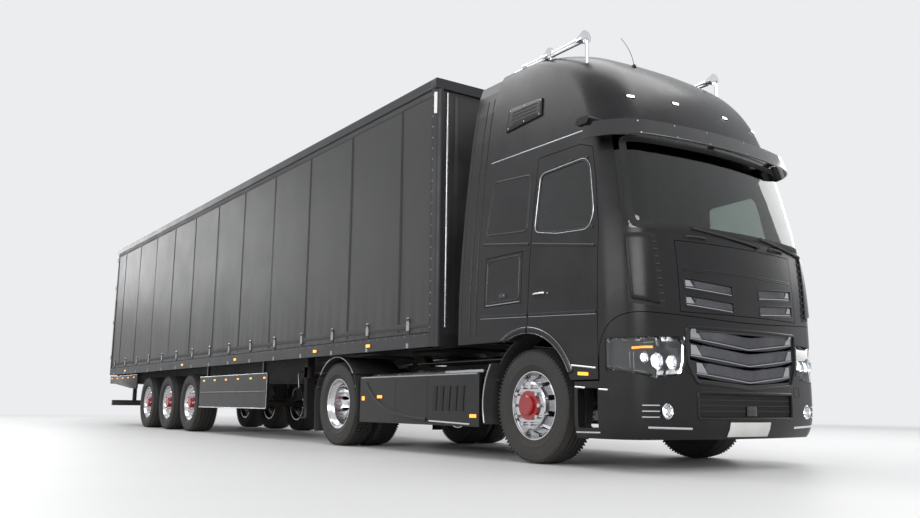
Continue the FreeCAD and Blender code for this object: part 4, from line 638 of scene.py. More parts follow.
def smooth_run(values: list[Vector], rounds: int = 2) -> list[Vector]:
    """Even out directions along a run by averaging each with its neighbours.

    Args:
        values: Directions in order.
        rounds: How often they are averaged.

    Returns:
        The evened directions.
    """
    for _ in range(rounds):
        padded = [values[0], *values, values[-1]]
        values = [(a + b * 2.0 + c).normalized() for a, b, c in zip(padded, padded[1:], padded[2:])]
    return values


@dataclass
class Shape:
    """Points and faces of a piece while it is being made."""

    points: list[Vector] = field(default_factory=list)
    faces: list[tuple[int, ...]] = field(default_factory=list)

    def add(self, points: Iterable[Sequence[float]], faces: Iterable[Sequence[int]]) -> "Shape":
        """Take in more points, and faces that number them from nought.

        Args:
            points: The new points.
            faces: The new faces.

        Returns:
            This shape.
        """
        start = len(self.points)
        self.points.extend(Vector(point) for point in points)
        self.faces.extend(tuple(start + n for n in face) for face in faces)
        return self

    def rings(self, rings: Sequence[Sequence[Vector]], closed: bool = False, caps: bool = True,
              loop: bool = True) -> "Shape":
        """Skin a run of rings with equal numbers of points.

        Args:
            rings: The rings in order.
            closed: Whether the last ring joins the first.
            caps: Whether the first and last rings are filled.
            loop: Whether each ring is itself closed.

        Returns:
            This shape.
        """
        count = len(rings[0])
        faces = []
        spans = len(rings) if closed else len(rings) - 1
        steps = count if loop else count - 1
        for i in range(spans):
            j = (i + 1) % len(rings)
            for k in range(steps):
                m = (k + 1) % count
                faces.append((i * count + k, i * count + m, j * count + m, j * count + k))
        if caps and not closed:
            faces.append(tuple(range(count)))
            faces.append(tuple(range((len(rings) - 1) * count, len(rings) * count)))
        return self.add([point for ring in rings for point in ring], faces)

    def block(self, low: Sequence[float], high: Sequence[float]) -> "Shape":
        """Box between two corners, given in any order.

        Args:
            low: One corner.
            high: The opposite corner.

        Returns:
            This shape.
        """
        x, y, z = (sorted(pair) for pair in zip(low, high))
        corners = rect(y[0], z[0], y[1], z[1])
        return self.rings([[Vector((a, b, c)) for b, c in corners] for a in x])

    def prism(self, outline: Sequence[Point2], axis: str, start: float, end: float) -> "Shape":
        """Outline carried along an axis: (y, z) along x, (x, z) along y, (x, y) along z.

        Args:
            outline: Corners of the outline.
            axis: The axis, x, y or z.
            start: Where the outline starts.
            end: Where it ends.

        Returns:
            This shape.
        """
        place = {"x": lambda a, b, at: Vector((at, a, b)), "y": lambda a, b, at: Vector((a, at, b)),
                 "z": lambda a, b, at: Vector((a, b, at))}[axis]
        return self.rings([[place(a, b, at) for a, b in outline] for at in (start, end)])

    def lathe(self, profile: Sequence[Point2], centre: Sequence[float], axis: str = "y", segments: int = 48,
              loop: bool = True) -> "Shape":
        """Turn a (radius, along) profile about an axis through a centre.

        Args:
            profile: Corners of the profile.
            centre: Point on the axis.
            axis: The axis, x, y or z.
            segments: Steps round the axis.
            loop: Whether the profile is closed.

        Returns:
            This shape.
        """
        rings = []
        for n in range(segments):
            turn = 2.0 * math.pi * n / segments
            c, s = math.cos(turn), math.sin(turn)
            if axis == "y":
                ring = [Vector((r * c, along, r * s)) for r, along in profile]
            elif axis == "x":
                ring = [Vector((along, r * c, r * s)) for r, along in profile]
            else:
                ring = [Vector((r * c, r * s, along)) for r, along in profile]
            rings.append([Vector(centre) + point for point in ring])
        return self.rings(rings, closed=True, loop=loop)

    def band(
            self, run: Sequence[tuple[Vector, Vector]], section: Sequence[Point2],
            closed: bool = False) -> "Shape":
        """Carry a cross-section along a run on a surface.

        Args:
            run: Points with the surface's outward direction at each.
            section: (across, outward) corners of the cross-section.
            closed: Whether the run is a loop.

        Returns:
            This shape.
        """
        count = len(run)
        outs = smooth_run([out for _, out in run])
        rings = []
        for n, (point, _) in enumerate(run):
            before = run[(n - 1) % count if closed else max(n - 1, 0)][0]
            after = run[(n + 1) % count if closed else min(n + 1, count - 1)][0]
            along = (after - before).normalized()
            across = outs[n].cross(along).normalized()
            out = along.cross(across)
            rings.append([point + across * u + out * v for u, v in section])
        return self.rings(rings, closed=closed)

    def tube(self, path: Sequence[Vector], radius: float, sides: int = 10) -> "Shape":
        """Round bar along a path of points.

        Args:
            path: Middle line of the bar.
            radius: Its radius.
            sides: Sides of its cross-section.

        Returns:
            This shape.
        """
        reference = Vector((0.0, 0.0, 1.0))
        run_line = (path[-1] - path[0]).normalized()
        if abs(run_line.z) > 0.85:
            reference = Vector((1.0, 0.0, 0.0))
        section = [(radius * math.cos(2 * math.pi * n / sides), radius * math.sin(2 * math.pi * n / sides))
                   for n in range(sides)]
        rings = []
        for n, point in enumerate(path):
            along = (path[min(n + 1, len(path) - 1)] - path[max(n - 1, 0)]).normalized()
            across = along.cross(reference).normalized()
            out = across.cross(along)
            rings.append([point + across * u + out * v for u, v in section])
        return self.rings(rings)

    def turned_about(self, centre: Vector, axis: str, degrees: float) -> "Shape":
        """Turn all points about an axis through a centre.

        Args:
            centre: Point on the axis.
            axis: The axis, x, y or z.
            degrees: Angle of the turn.

        Returns:
            This shape.
        """
        matrix = Matrix.Rotation(math.radians(degrees), 3, axis.upper())
        self.points = [centre + matrix @ (point - centre) for point in self.points]
        return self


def flat_section(width: float, height: float, edge: float = 0.3) -> list[Point2]:
    """Low flat-topped cross-section with sloping edges, sunk slightly into what carries it.

    Args:
        width: Width of the strip.
        height: How far it stands proud.
        edge: Share of the half width that slopes.

    Returns:
        (across, outward) corners.
    """
    half = width / 2
    inset = min(height * 1.2, half * edge)
    return [
        (-half, -0.003), (half, -0.003), (half, height * 0.35), (half - inset, height),
        (-half + inset, height), (-half, height * 0.35)]


def round_section(width: float, height: float, steps: int = 6) -> list[Point2]:
    """Domed cross-section, sunk slightly into what carries it.

    Args:
        width: Width of the bead.
        height: How far it stands proud.
        steps: Steps over the dome.

    Returns:
        (across, outward) corners.
    """
    half = width / 2
    dome = [
        (half * math.cos(math.pi * n / steps), height * math.sin(math.pi * n / steps))
        for n in range(steps + 1)]
    return [(-half, -0.003), (half, -0.003), *dome]


@dataclass(frozen=True)
class Hit:
    """Place where a ray meets the outside of the frame."""

    point: Vector
    out: Vector
    body: str


class Skin:
    """Outside of chosen frame nodes, found by rays."""

    def __init__(self, frame: dict, names: Iterable[str]) -> None:
        """Gather the triangles of the named nodes.

        Args:
            names: The nodes to look at.
        """
        self.owner: list[str] = []
        bodies = frame["record"]["behaviour"]["bodies"]
        body_of = {node: body for body, members in bodies.items() for node in members}
        points: list[np.ndarray] = []
        faces: list[np.ndarray] = []
        start = 0
        for name in names:
            mesh = frame["nodes"][name].data
            mesh.calc_loop_triangles()
            place = np.empty(len(mesh.vertices) * 3)
            mesh.vertices.foreach_get("co", place)
            corners = np.empty(len(mesh.loop_triangles) * 3, dtype=np.int32)
            mesh.loop_triangles.foreach_get("vertices", corners)
            points.append(place.reshape(-1, 3))
            faces.append(corners.reshape(-1, 3) + start)
            start += len(mesh.vertices)
            self.owner.extend([body_of[name]] * len(mesh.loop_triangles))
        self.tree = BVHTree.FromPolygons(np.concatenate(points).tolist(), np.concatenate(faces).tolist())

    def cast(self, start: Sequence[float], way: Sequence[float]) -> Optional[Hit]:
        """Follow a ray to the first surface.

        Args:
            start: Where the ray starts.
            way: Its direction.

        Returns:
            The hit, or None where the ray meets nothing.
        """
        way = Vector(way).normalized()
        point, normal, index, _ = self.tree.ray_cast(Vector(start), way)
        if point is None:
            return None
        out = normal if normal.dot(way) < 0 else -normal
        return Hit(point, out, self.owner[index])

    def side(self, x: float, z: float, side: int) -> Optional[Hit]:
        """Surface met from the left (1) or the right (-1) at a length and a height."""
        return self.cast((x, side * 3.0, z), (0.0, -side, 0.0))

    def front(self, y: float, z: float) -> Optional[Hit]:
        """Surface met from the front at a place across and a height."""
        return self.cast((11.0, y, z), (-1.0, 0.0, 0.0))

    def corner(self, degrees: float, z: float, side: int) -> Optional[Hit]:
        """Surface round the cab's front corner; nought is forward and 90 is sideways.

        Args:
            degrees: Angle from forward.
            z: Height.
            side: Left (1) or right (-1).

        Returns:
            The hit, or None where the ray meets nothing.
        """
        turn = math.radians(degrees)
        way = Vector((math.cos(turn), side * math.sin(turn), 0.0))
        centre = Vector((7.85, side * 0.88, z))
        return self.cast(centre + way * 2.0, -way)

    def above(self, x: float, y: float) -> Optional[Hit]:
        """Surface met from above."""
        return self.cast((x, y, 6.0), (0.0, 0.0, -1.0))


Run = list[tuple[Vector, Vector]]


def kept(hits: Iterable[Optional[Hit]]) -> Run:
    """Points and outward directions of the rays that met something."""
    return [(hit.point, hit.out) for hit in hits if hit]


def rect(x0: float, z0: float, x1: float, z1: float) -> list[Point2]:
    """Corners of an upright rectangle in order."""
    return [(x0, z0), (x1, z0), (x1, z1), (x0, z1)]


def spread(points: Sequence[Point2], step: float = 0.03, closed: bool = False) -> list[Point2]:
    """Put points at even steps along a drawn line.

    Args:
        points: Corners of the line.
        step: Distance between points.
        closed: Whether the line is a loop.

    Returns:
        The points in order.
    """
    line = [Vector((*point, 0.0)) for point in points]
    if closed:
        line.append(line[0])
    out: list[Point2] = []
    for a, b in zip(line, line[1:]):
        parts = max(1, round((b - a).length / step))
        out.extend(((a + (b - a) * (n / parts)).x, (a + (b - a) * (n / parts)).y) for n in range(parts))
    if not closed:
        out.append((line[-1].x, line[-1].y))
    return out


def rounded(points: Sequence[Point2], radius: float, steps: int = 5) -> list[Point2]:
    """Round every corner of a closed outline.

    Args:
        points: Corners of the outline.
        radius: Reach of the rounding from each corner.
        steps: Steps in each corner.

    Returns:
        The rounded outline.
    """
    out: list[Point2] = []
    count = len(points)
    for n in range(count):
        here = Vector(points[n])
        before = Vector(points[n - 1]) - here
        after = Vector(points[(n + 1) % count]) - here
        reach = min(radius, before.length / 2, after.length / 2)
        a, b = here + before.normalized() * reach, here + after.normalized() * reach
        for k in range(steps + 1):
            t = k / steps
            spot = a * (1 - t) ** 2 + here * 2 * t * (1 - t) + b * t ** 2
            out.append((spot.x, spot.y))
    return out


def arc_points(x: float, z: float, radius: float, start: float, end: float, steps: int = 40) -> list[Point2]:
    """Points on an arc, in degrees from forward and rising over the top."""
    turns = [math.radians(start + (end - start) * n / steps) for n in range(steps + 1)]
    return [(x + radius * math.cos(turn), z + radius * math.sin(turn)) for turn in turns]


@dataclass(frozen=True)
class Layout:
    """Places that several sub-assemblies share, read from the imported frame."""

    axle_x: float
    drive_x: float
    trailer_xs: tuple[float, ...]
    tractor_tyre_r: float
    trailer_tyre_r: float

    @classmethod
    def read(cls, frame: dict) -> "Layout":
        """Take the places from the frame's joints.


        Returns:
            The layout.
        """
        places = {joint["name"]: joint["pos_m"] for joint in frame["joints"]}
        trailer = tuple(places[f"wheel_trailer_{n}_left_spin"][0] for n in (1, 2, 3))
        return cls(places["steer_left"][0], places["wheel_drive_left_spin"][0], trailer,
                   places["wheel_drive_left_spin"][2], places["wheel_trailer_1_left_spin"][2])


class Workshop:
    """Makes finished pieces out of shapes, and holds what all sub-assemblies use."""

    jump = 0.009

    def __init__(self, frame: dict) -> None:
        """Prepare effects, repeats, layout and the cab's skin.
        """
        self.frame = frame
        self.effects = Effects()
        self.repeats = Repeats()
        self.layout = Layout.read(frame)
        outer = ["cab_shell", "roof_dome", "deflectors", "bumper", "door_left", "door_right", "locker_left",
                 "locker_right", "front_flap", "side_skirts"]
        self.skin = Skin(frame, outer)
        self.closed_skin = Skin(
            frame,
            outer + [
                "headlamps", "lower_grille", "upper_grille", "windscreen", "window_left", "window_right"])

    def on_side(self, side: int) -> Callable[[float, float], Optional[Hit]]:
        """Give the cast that meets the left (1) or the right (-1) side at a length and a height."""
        return lambda x, z: self.skin.side(x, z, side)

    def dress(self, piece: Object, finish: Finish, body: str, stands_for: str = "") -> Object:
        """Give a piece its finish, the body that it rides on and the node that it stands for.

        Args:
            piece: The object.
            finish: Its finish.
            body: The body that it rides on.
            stands_for: The node that it replaces, if any.

        Returns:
            The object.
        """
        piece.data.materials.clear()
        piece.data.materials.append(finish.material(self.effects))
        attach(piece, body)
        if stands_for:
            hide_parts(stands_for)
        return piece

    def piece(
            self, name: str, shape: Shape, finish: Finish, body: str, bevel: float = 0.0,
            smooth: float = 32.0, stands_for: str = "") -> Object:
        """Turn a shape into a finished piece.

        Args:
            name: Name of the piece.
            shape: Its points and faces.
            finish: Its finish.
            body: The body that it rides on.
            bevel: Width of the rounding on its edges.
            smooth: Angle in degrees under which an edge is shaded smooth.
            stands_for: The node that it replaces, if any.

        Returns:
            The object.
        """
        made = self.rough_piece(name, shape, bevel, smooth)
        LOG.info("piece %s rides on %s, %d faces", name, body, len(made.data.polygons))
        return self.dress(made, finish, body, stands_for)

    def rough_piece(self, name: str, shape: Shape, bevel: float = 0.0, smooth: float = 32.0) -> Object:
        """Turn a shape into an object with clean outward faces, not yet dressed.

        Args:
            name: Name of the piece.
            shape: Its points and faces.
            bevel: Width of the rounding on its edges.
            smooth: Angle in degrees under which an edge is shaded smooth.

        Returns:
            The object.
        """
        mesh = bpy.data.meshes.new(name)
        mesh.from_pydata(shape.points, [], shape.faces)
        made = bmesh.new()
        made.from_mesh(mesh)
        bmesh.ops.remove_doubles(made, verts=made.verts, dist=1e-5)
        bmesh.ops.recalc_face_normals(made, faces=made.faces)
        made.to_mesh(mesh)
        made.free()
        piece = new_object(name, mesh)
        if bevel:
            rounding = piece.modifiers.new("rounding", "BEVEL")
            rounding.width = bevel
            rounding.segments = 2
            rounding.limit_method = "ANGLE"
            flatten(piece)
        piece.data.polygons.foreach_set("use_smooth", [True] * len(piece.data.polygons))
        piece.data.set_sharp_from_angle(angle=math.radians(smooth))
        return piece

    def row(self, name: str, shape: Shape, finish: Finish, body: str, count: int, step: Sequence[float],
            bevel: float = 0.0) -> Object:
        """Copies of a shape on a straight line, as one piece.

        Args:
            name: Name of the piece.
            shape: Its points and faces.
            finish: Its finish.
            body: The body that it rides on.
            count: How many copies.
            step: Way from one copy to the next.
            bevel: Width of the rounding on its edges.

        Returns:
            The object.
        """
        made = self.rough_piece(name, shape, bevel)
        self.repeats.apply(
            made, self.repeats.row,
            {"Count": count, "Step": tuple(step), "Material": finish.material(self.effects)})
        LOG.info("row %s: %d copies on %s", name, count, body)
        return self.dress(made, finish, body)

    def ring(
            self, name: str, shape: Shape, finish: Finish, body: str, count: int,
            centre: Sequence[float]) -> Object:
        """Copies of a shape, drawn about the origin, round a cross axis; they replace the body's own node.

        Args:
            name: Name of the piece.
            shape: Its points and faces.
            finish: Its finish.
            body: The body that it rides on.
            count: How many copies.
            centre: Point on the axis.

        Returns:
            The object.
        """
        made = self.rough_piece(name, shape)
        self.repeats.apply(
            made, self.repeats.ring,
            {"Count": count, "Centre": tuple(centre), "Material": finish.material(self.effects)})
        LOG.info("ring %s: %d copies on %s", name, count, body)
        return self.dress(made, finish, body, body)

    def fasteners(self, name: str, hits: Sequence[tuple[Vector, Vector]], template: Shape, finish: Finish,
                  body: str, alongs: Optional[Sequence] = None) -> Optional[Object]:
        """Copies of a small template standing on points of a surface.

        Args:
            name: Name of the piece.
            hits: Points, each with its outward direction.
            template: The small shape, drawn at the origin with +Z outward.
            finish: Its finish.
            body: The body that it rides on.
            alongs: The way of the template's own X at each point, or None where it doesn't matter.

        Returns:
            The object, or None where no point was given.
        """
        if not hits:
            return None
        mesh = bpy.data.meshes.new(name)
        mesh.from_pydata([point for point, _ in hits], [], [])
        mesh.attributes.new("outward", "FLOAT_VECTOR", "POINT")
        mesh.attributes["outward"].data.foreach_set("vector", [v for _, out in hits for v in out])
        mesh.attributes.new("along", "FLOAT_VECTOR", "POINT")
        mesh.attributes["along"].data.foreach_set(
            "vector", [v for way in alongs or [(1, 0, 0)] * len(hits) for v in way])
        piece = new_object(name, mesh)
        sample = self.rough_piece(name + "_sample", template)
        self.repeats.apply(
            piece, self.repeats.scatter, {"Template": sample, "Material": finish.material(self.effects)})
        bpy.data.objects.remove(sample)
        LOG.info("fasteners %s: %d on %s", name, len(hits), body)
        return self.dress(piece, finish, body)

    def runs(self, hits: Sequence[Optional[Hit]], gap: int = 0) -> list[tuple[str, Run]]:
        """Split hits into unbroken runs on one body.

        Args:
            hits: Hits in order, None where a ray met nothing.
            gap: Points dropped at each end where the body changes.

        Returns:
            Pairs of body and run, with two points or more each.
        """
        parts: list[tuple[str, Run]] = []
        for hit in hits:
            if hit is None:
                parts.append(("", []))
                continue
            step_out = abs((hit.point - parts[-1][1][-1][0]).dot(hit.out)) if parts and parts[-1][1] else 0.0
            if not parts or parts[-1][0] != hit.body or step_out > self.jump:
                parts.append((hit.body, []))
            parts[-1][1].append((hit.point, hit.out))
        if len(parts) > 1 and gap:
            parts = [(body, run[gap:-gap] if len(run) > 2 * gap + 1 else run) for body, run in parts]
        return [(body, run) for body, run in parts if body and len(run) > 1]

    def patch(self, name: str, corners: Sequence[Point2], finish: Finish, cast: Callable, lift: float,
              sink: float = 0.004, cells: tuple[int, int] = (6, 3), bevel: float = 0.0) -> Object:
        """Thin panel that follows the surface between four corners.

        Args:
            name: Name of the piece.
            corners: Four places in order, as the cast takes them.
            finish: Its finish.
            cast: Gives the hit at a place.
            lift: How far it stands proud.
            sink: How far it reaches into the surface.
            cells: Steps along and across.
            bevel: Width of the rounding on its edges.

        Returns:
            The object.
        """
        a, b, c, d = (Vector(corner) for corner in corners)
        rings, bodies = [], []
        hit = None
        for i in range(cells[1] + 1):
            top, low = [], []
            for k in range(cells[0] + 1):
                u, v = k / cells[0], i / cells[1]
                spot = (a * (1 - u) + b * u) * (1 - v) + (d * (1 - u) + c * u) * v
                hit = cast(spot.x, spot.y) or hit
                bodies.append(hit.body)
                top.append(hit.point + hit.out * lift)
                low.append(hit.point - hit.out * sink)
            rings.append(top + low[::-1])
        body = max(set(bodies), key=bodies.count)
        return self.piece(name, Shape().rings(rings), finish, body, bevel=bevel)

    def oval(self, name: str, centre: Point2, half: Point2, finish: Finish, cast: Callable, lift: float,
             steps: int = 28) -> Object:
        """Round or oval button that follows the surface.

        Args:
            name: Name of the piece.
            centre: Its middle, as the cast takes it.
            half: Its half length and half height.
            finish: Its finish.
            cast: Gives the hit at a place.
            lift: How far it stands proud.
            steps: Steps round its edge.

        Returns:
            The object.
        """
        rings = []
        middle = cast(*centre)
        for share, height in ((0.25, lift), (0.6, lift), (0.9, lift), (1.0, lift * 0.5), (1.0, -0.003)):
            ring = []
            for n in range(steps):
                turn = 2.0 * math.pi * n / steps
                hit = cast(
                    centre[0] + half[0] * share * math.cos(turn),
                    centre[1] + half[1] * share * math.sin(turn))
                hit = hit or middle
                ring.append(hit.point + hit.out * height)
            rings.append(ring)
        return self.piece(name, Shape().rings(rings), finish, middle.body)

    def side_trim(
            self, name: str, points: Sequence[Point2], section: Sequence[Point2], finish: Finish, side: Side,
            step: float = 0.02, skin: Optional[Skin] = None) -> None:
        """Lay a strip along a side-view line on one side, split where the body under it changes.

        Args:
            name: Name of the piece.
            points: Corners of the line, as (x, z).
            section: The strip's cross-section.
            finish: Its finish.
            side: Side that it lies on.
            step: Distance between points.
            skin: Surfaces that carry it.
        """
        skin = skin or self.skin
        hits = [skin.side(x, z, side) for x, z in spread(points, step)]
        for n, (body, run) in enumerate(self.runs(hits)):
            self.piece(f"{name}_{side.tag}_{n}", Shape().band(run, section), finish, body)

    def front_trim(self, name: str, points: Sequence[Point2], section: Sequence[Point2], finish: Finish,
                   step: float = 0.02, skin: Optional[Skin] = None) -> None:
        """Lay a strip along a front-view line, split where the body under it changes.

        Args:
            name: Name of the piece.
            points: Corners of the line, as (y, z).
            section: The strip's cross-section.
            finish: Its finish.
            step: Distance between points.
            skin: Surfaces that carry it.
        """
        skin = skin or self.skin
        hits = [skin.front(y, z) for y, z in spread(points, step)]
        for n, (body, run) in enumerate(self.runs(hits)):
            self.piece(f"{name}_{n}", Shape().band(run, section), finish, body)


@dataclass
class Studio:
    """Pale floor, soft light and the camera at the photograph's place."""

    camera_place: tuple[float, float, float] = (12.88, -6.17, 0.5)
    yaw: float = 145.26
    pitch: float = 9.53
    roll: float = 0.6
    focal_pixels: float = 871.2
    frame_width: float = 920.0
    sensor: float = 36.0
    floor_reach: float = 120.0
    floor_color: float = 0.62
    backdrop_color: tuple[float, float, float, float] = (0.93, 0.94, 0.96, 1.0)
    backdrop_strength: float = 0.9

    def build(self) -> None:
        """Make the floor, the world, the lamps and the camera."""
        self._floor()
        self._world()
        self._lamps()
        self._camera()
        bpy.context.scene.view_settings.view_transform = "Standard"

    def _floor(self) -> None:
        """Pale matt floor with a faint mottle."""
        mesh = bpy.data.meshes.new("studio_floor")
        r = self.floor_reach
        mesh.from_pydata([(-r, -r, 0.0), (r, -r, 0.0), (r, r, 0.0), (-r, r, 0.0)], [], [(0, 1, 2, 3)])
        floor = new_object("studio_floor", mesh)
        material = bpy.data.materials.new("pale_studio_floor")
        material.use_nodes = True
        nodes = Nodes(material.node_tree)
        shader = material.node_tree.nodes["Principled BSDF"]
        place = nodes.add("ShaderNodeTexCoord").outputs["Object"]
        noise = nodes.add("ShaderNodeTexNoise", {"Vector": place, "Scale": 0.8, "Detail": 4.0}).outputs["Fac"]
        tone = nodes.add(
            "ShaderNodeMapRange",
            {"Value": noise, "To Min": self.floor_color - 0.02, "To Max": self.floor_color + 0.02}).outputs[0]
        color = nodes.add("ShaderNodeCombineColor", {"Red": tone, "Green": tone, "Blue": tone}).outputs[0]
        material.node_tree.links.new(color, shader.inputs["Base Color"])
        shader.inputs["Roughness"].default_value = 0.55
        reach = nodes.add("ShaderNodeVectorMath", {0: place}, operation="LENGTH").outputs["Value"]
        far = nodes.add("ShaderNodeMapRange", {"Value": reach, "From Min": 9.0, "From Max": 26.0},
                        interpolation_type="SMOOTHERSTEP").outputs[0]
        light = nodes.add("ShaderNodeLightPath")
        seen = nodes.math("MAXIMUM", light.outputs["Is Camera Ray"], light.outputs["Is Glossy Ray"])
        seen = nodes.math("MAXIMUM", seen, light.outputs["Is Transmission Ray"])
        glow = nodes.add(
            "ShaderNodeEmission", {"Color": self.backdrop_color, "Strength": self.backdrop_strength})
        mixed = nodes.add(
            "ShaderNodeMixShader",
            {0: nodes.math("MULTIPLY", far, seen), 1: shader.outputs[0], 2: glow.outputs[0]})
        material.node_tree.links.new(mixed.outputs[0], material.node_tree.nodes["Material Output"].inputs[0])
        mesh.materials.append(material)

    def _world(self) -> None:
        """Soft grey surroundings that show as near white behind the lorry."""
        world = bpy.data.worlds.new("studio")
        bpy.context.scene.world = world
        world.use_nodes = True
        tree = world.node_tree
        nodes = Nodes(tree)
        light = nodes.add("ShaderNodeLightPath")
        straight = nodes.math("MAXIMUM", light.outputs["Is Camera Ray"], light.outputs["Is Transmission Ray"])
        seen = nodes.math("MAXIMUM", straight, light.outputs["Is Glossy Ray"])
        strength = nodes.add(
            "ShaderNodeMapRange", {"Value": seen, "To Min": 0.5, "To Max": self.backdrop_strength}).outputs[0]
        ground = tree.nodes["Background"]
        ground.inputs["Color"].default_value = self.backdrop_color
        tree.links.new(strength, ground.inputs["Strength"])

    def _lamps(self) -> None:
        """Large soft panels above, to the front and along both sides."""
        for name, place, aim, size, power in (
            ("top", (2.0, -1.0, 11.0), (1.0, 0.0, 0.0), (20.0, 7.0), 1300.0),
            ("front", (19.0, -7.0, 6.5), (6.0, 0.0, 1.8), (7.0, 6.0), 900.0),
            ("right", (5.0, -16.0, 6.0), (2.0, 0.0, 1.6), (18.0, 4.0), 900.0),
            ("left", (2.0, 16.0, 7.0), (1.0, 0.0, 1.6), (18.0, 5.0), 800.0),
            ("rear", (-19.0, -3.0, 6.5), (-6.0, 0.0, 2.0), (7.0, 5.0), 600.0),
        ):
            data = bpy.data.lights.new("softbox_" + name, "AREA")
            data.shape = "RECTANGLE"
            data.size, data.size_y = size
            data.energy = power
            lamp = new_object("softbox_" + name, data)
            lamp.location = place
            lamp.rotation_euler = (Vector(aim) - Vector(place)).to_track_quat("-Z", "Y").to_euler()

    def _camera(self) -> None:
        """Camera at the photograph's place, height and angle of view."""
        yaw, pitch, roll = (math.radians(v) for v in (self.yaw, self.pitch, self.roll))
        ahead = Vector((math.cos(pitch) * math.cos(yaw), math.cos(pitch) * math.sin(yaw), math.sin(pitch)))
        right = ahead.cross(Vector((0.0, 0.0, 1.0))).normalized()
        up = right.cross(ahead)
        tilted_right = right * math.cos(roll) + up * math.sin(roll)
        tilted_up = up * math.cos(roll) - right * math.sin(roll)
        data = bpy.data.cameras.new("photo_camera")
        data.sensor_width = self.sensor
        data.lens = self.focal_pixels / self.frame_width * self.sensor
        data.clip_end = 400.0
        camera = new_object("photo_camera", data)
        matrix = Matrix((tilted_right, tilted_up, -ahead)).transposed().to_4x4()
        matrix.translation = Vector(self.camera_place)
        camera.matrix_world = matrix
        bpy.context.scene.camera = camera


def dress_frame(shop: Workshop) -> None:
    """Give every node of the frame its finish.

    Args:
        shop: What all sections use.
    """
    for name, node in shop.frame["nodes"].items():
        stem = name
        for ending in ("_left", "_right"):
            stem = stem.removesuffix(ending)
        finish = NODE_FINISHES.get(stem) or NODE_FINISHES["wheel"]
        node.data.materials.clear()
        node.data.materials.append(finish.material(shop.effects))


@dataclass
class Section:
    """One section of the lorry, laid on the frame with the workshop's tools."""

    shop: Workshop


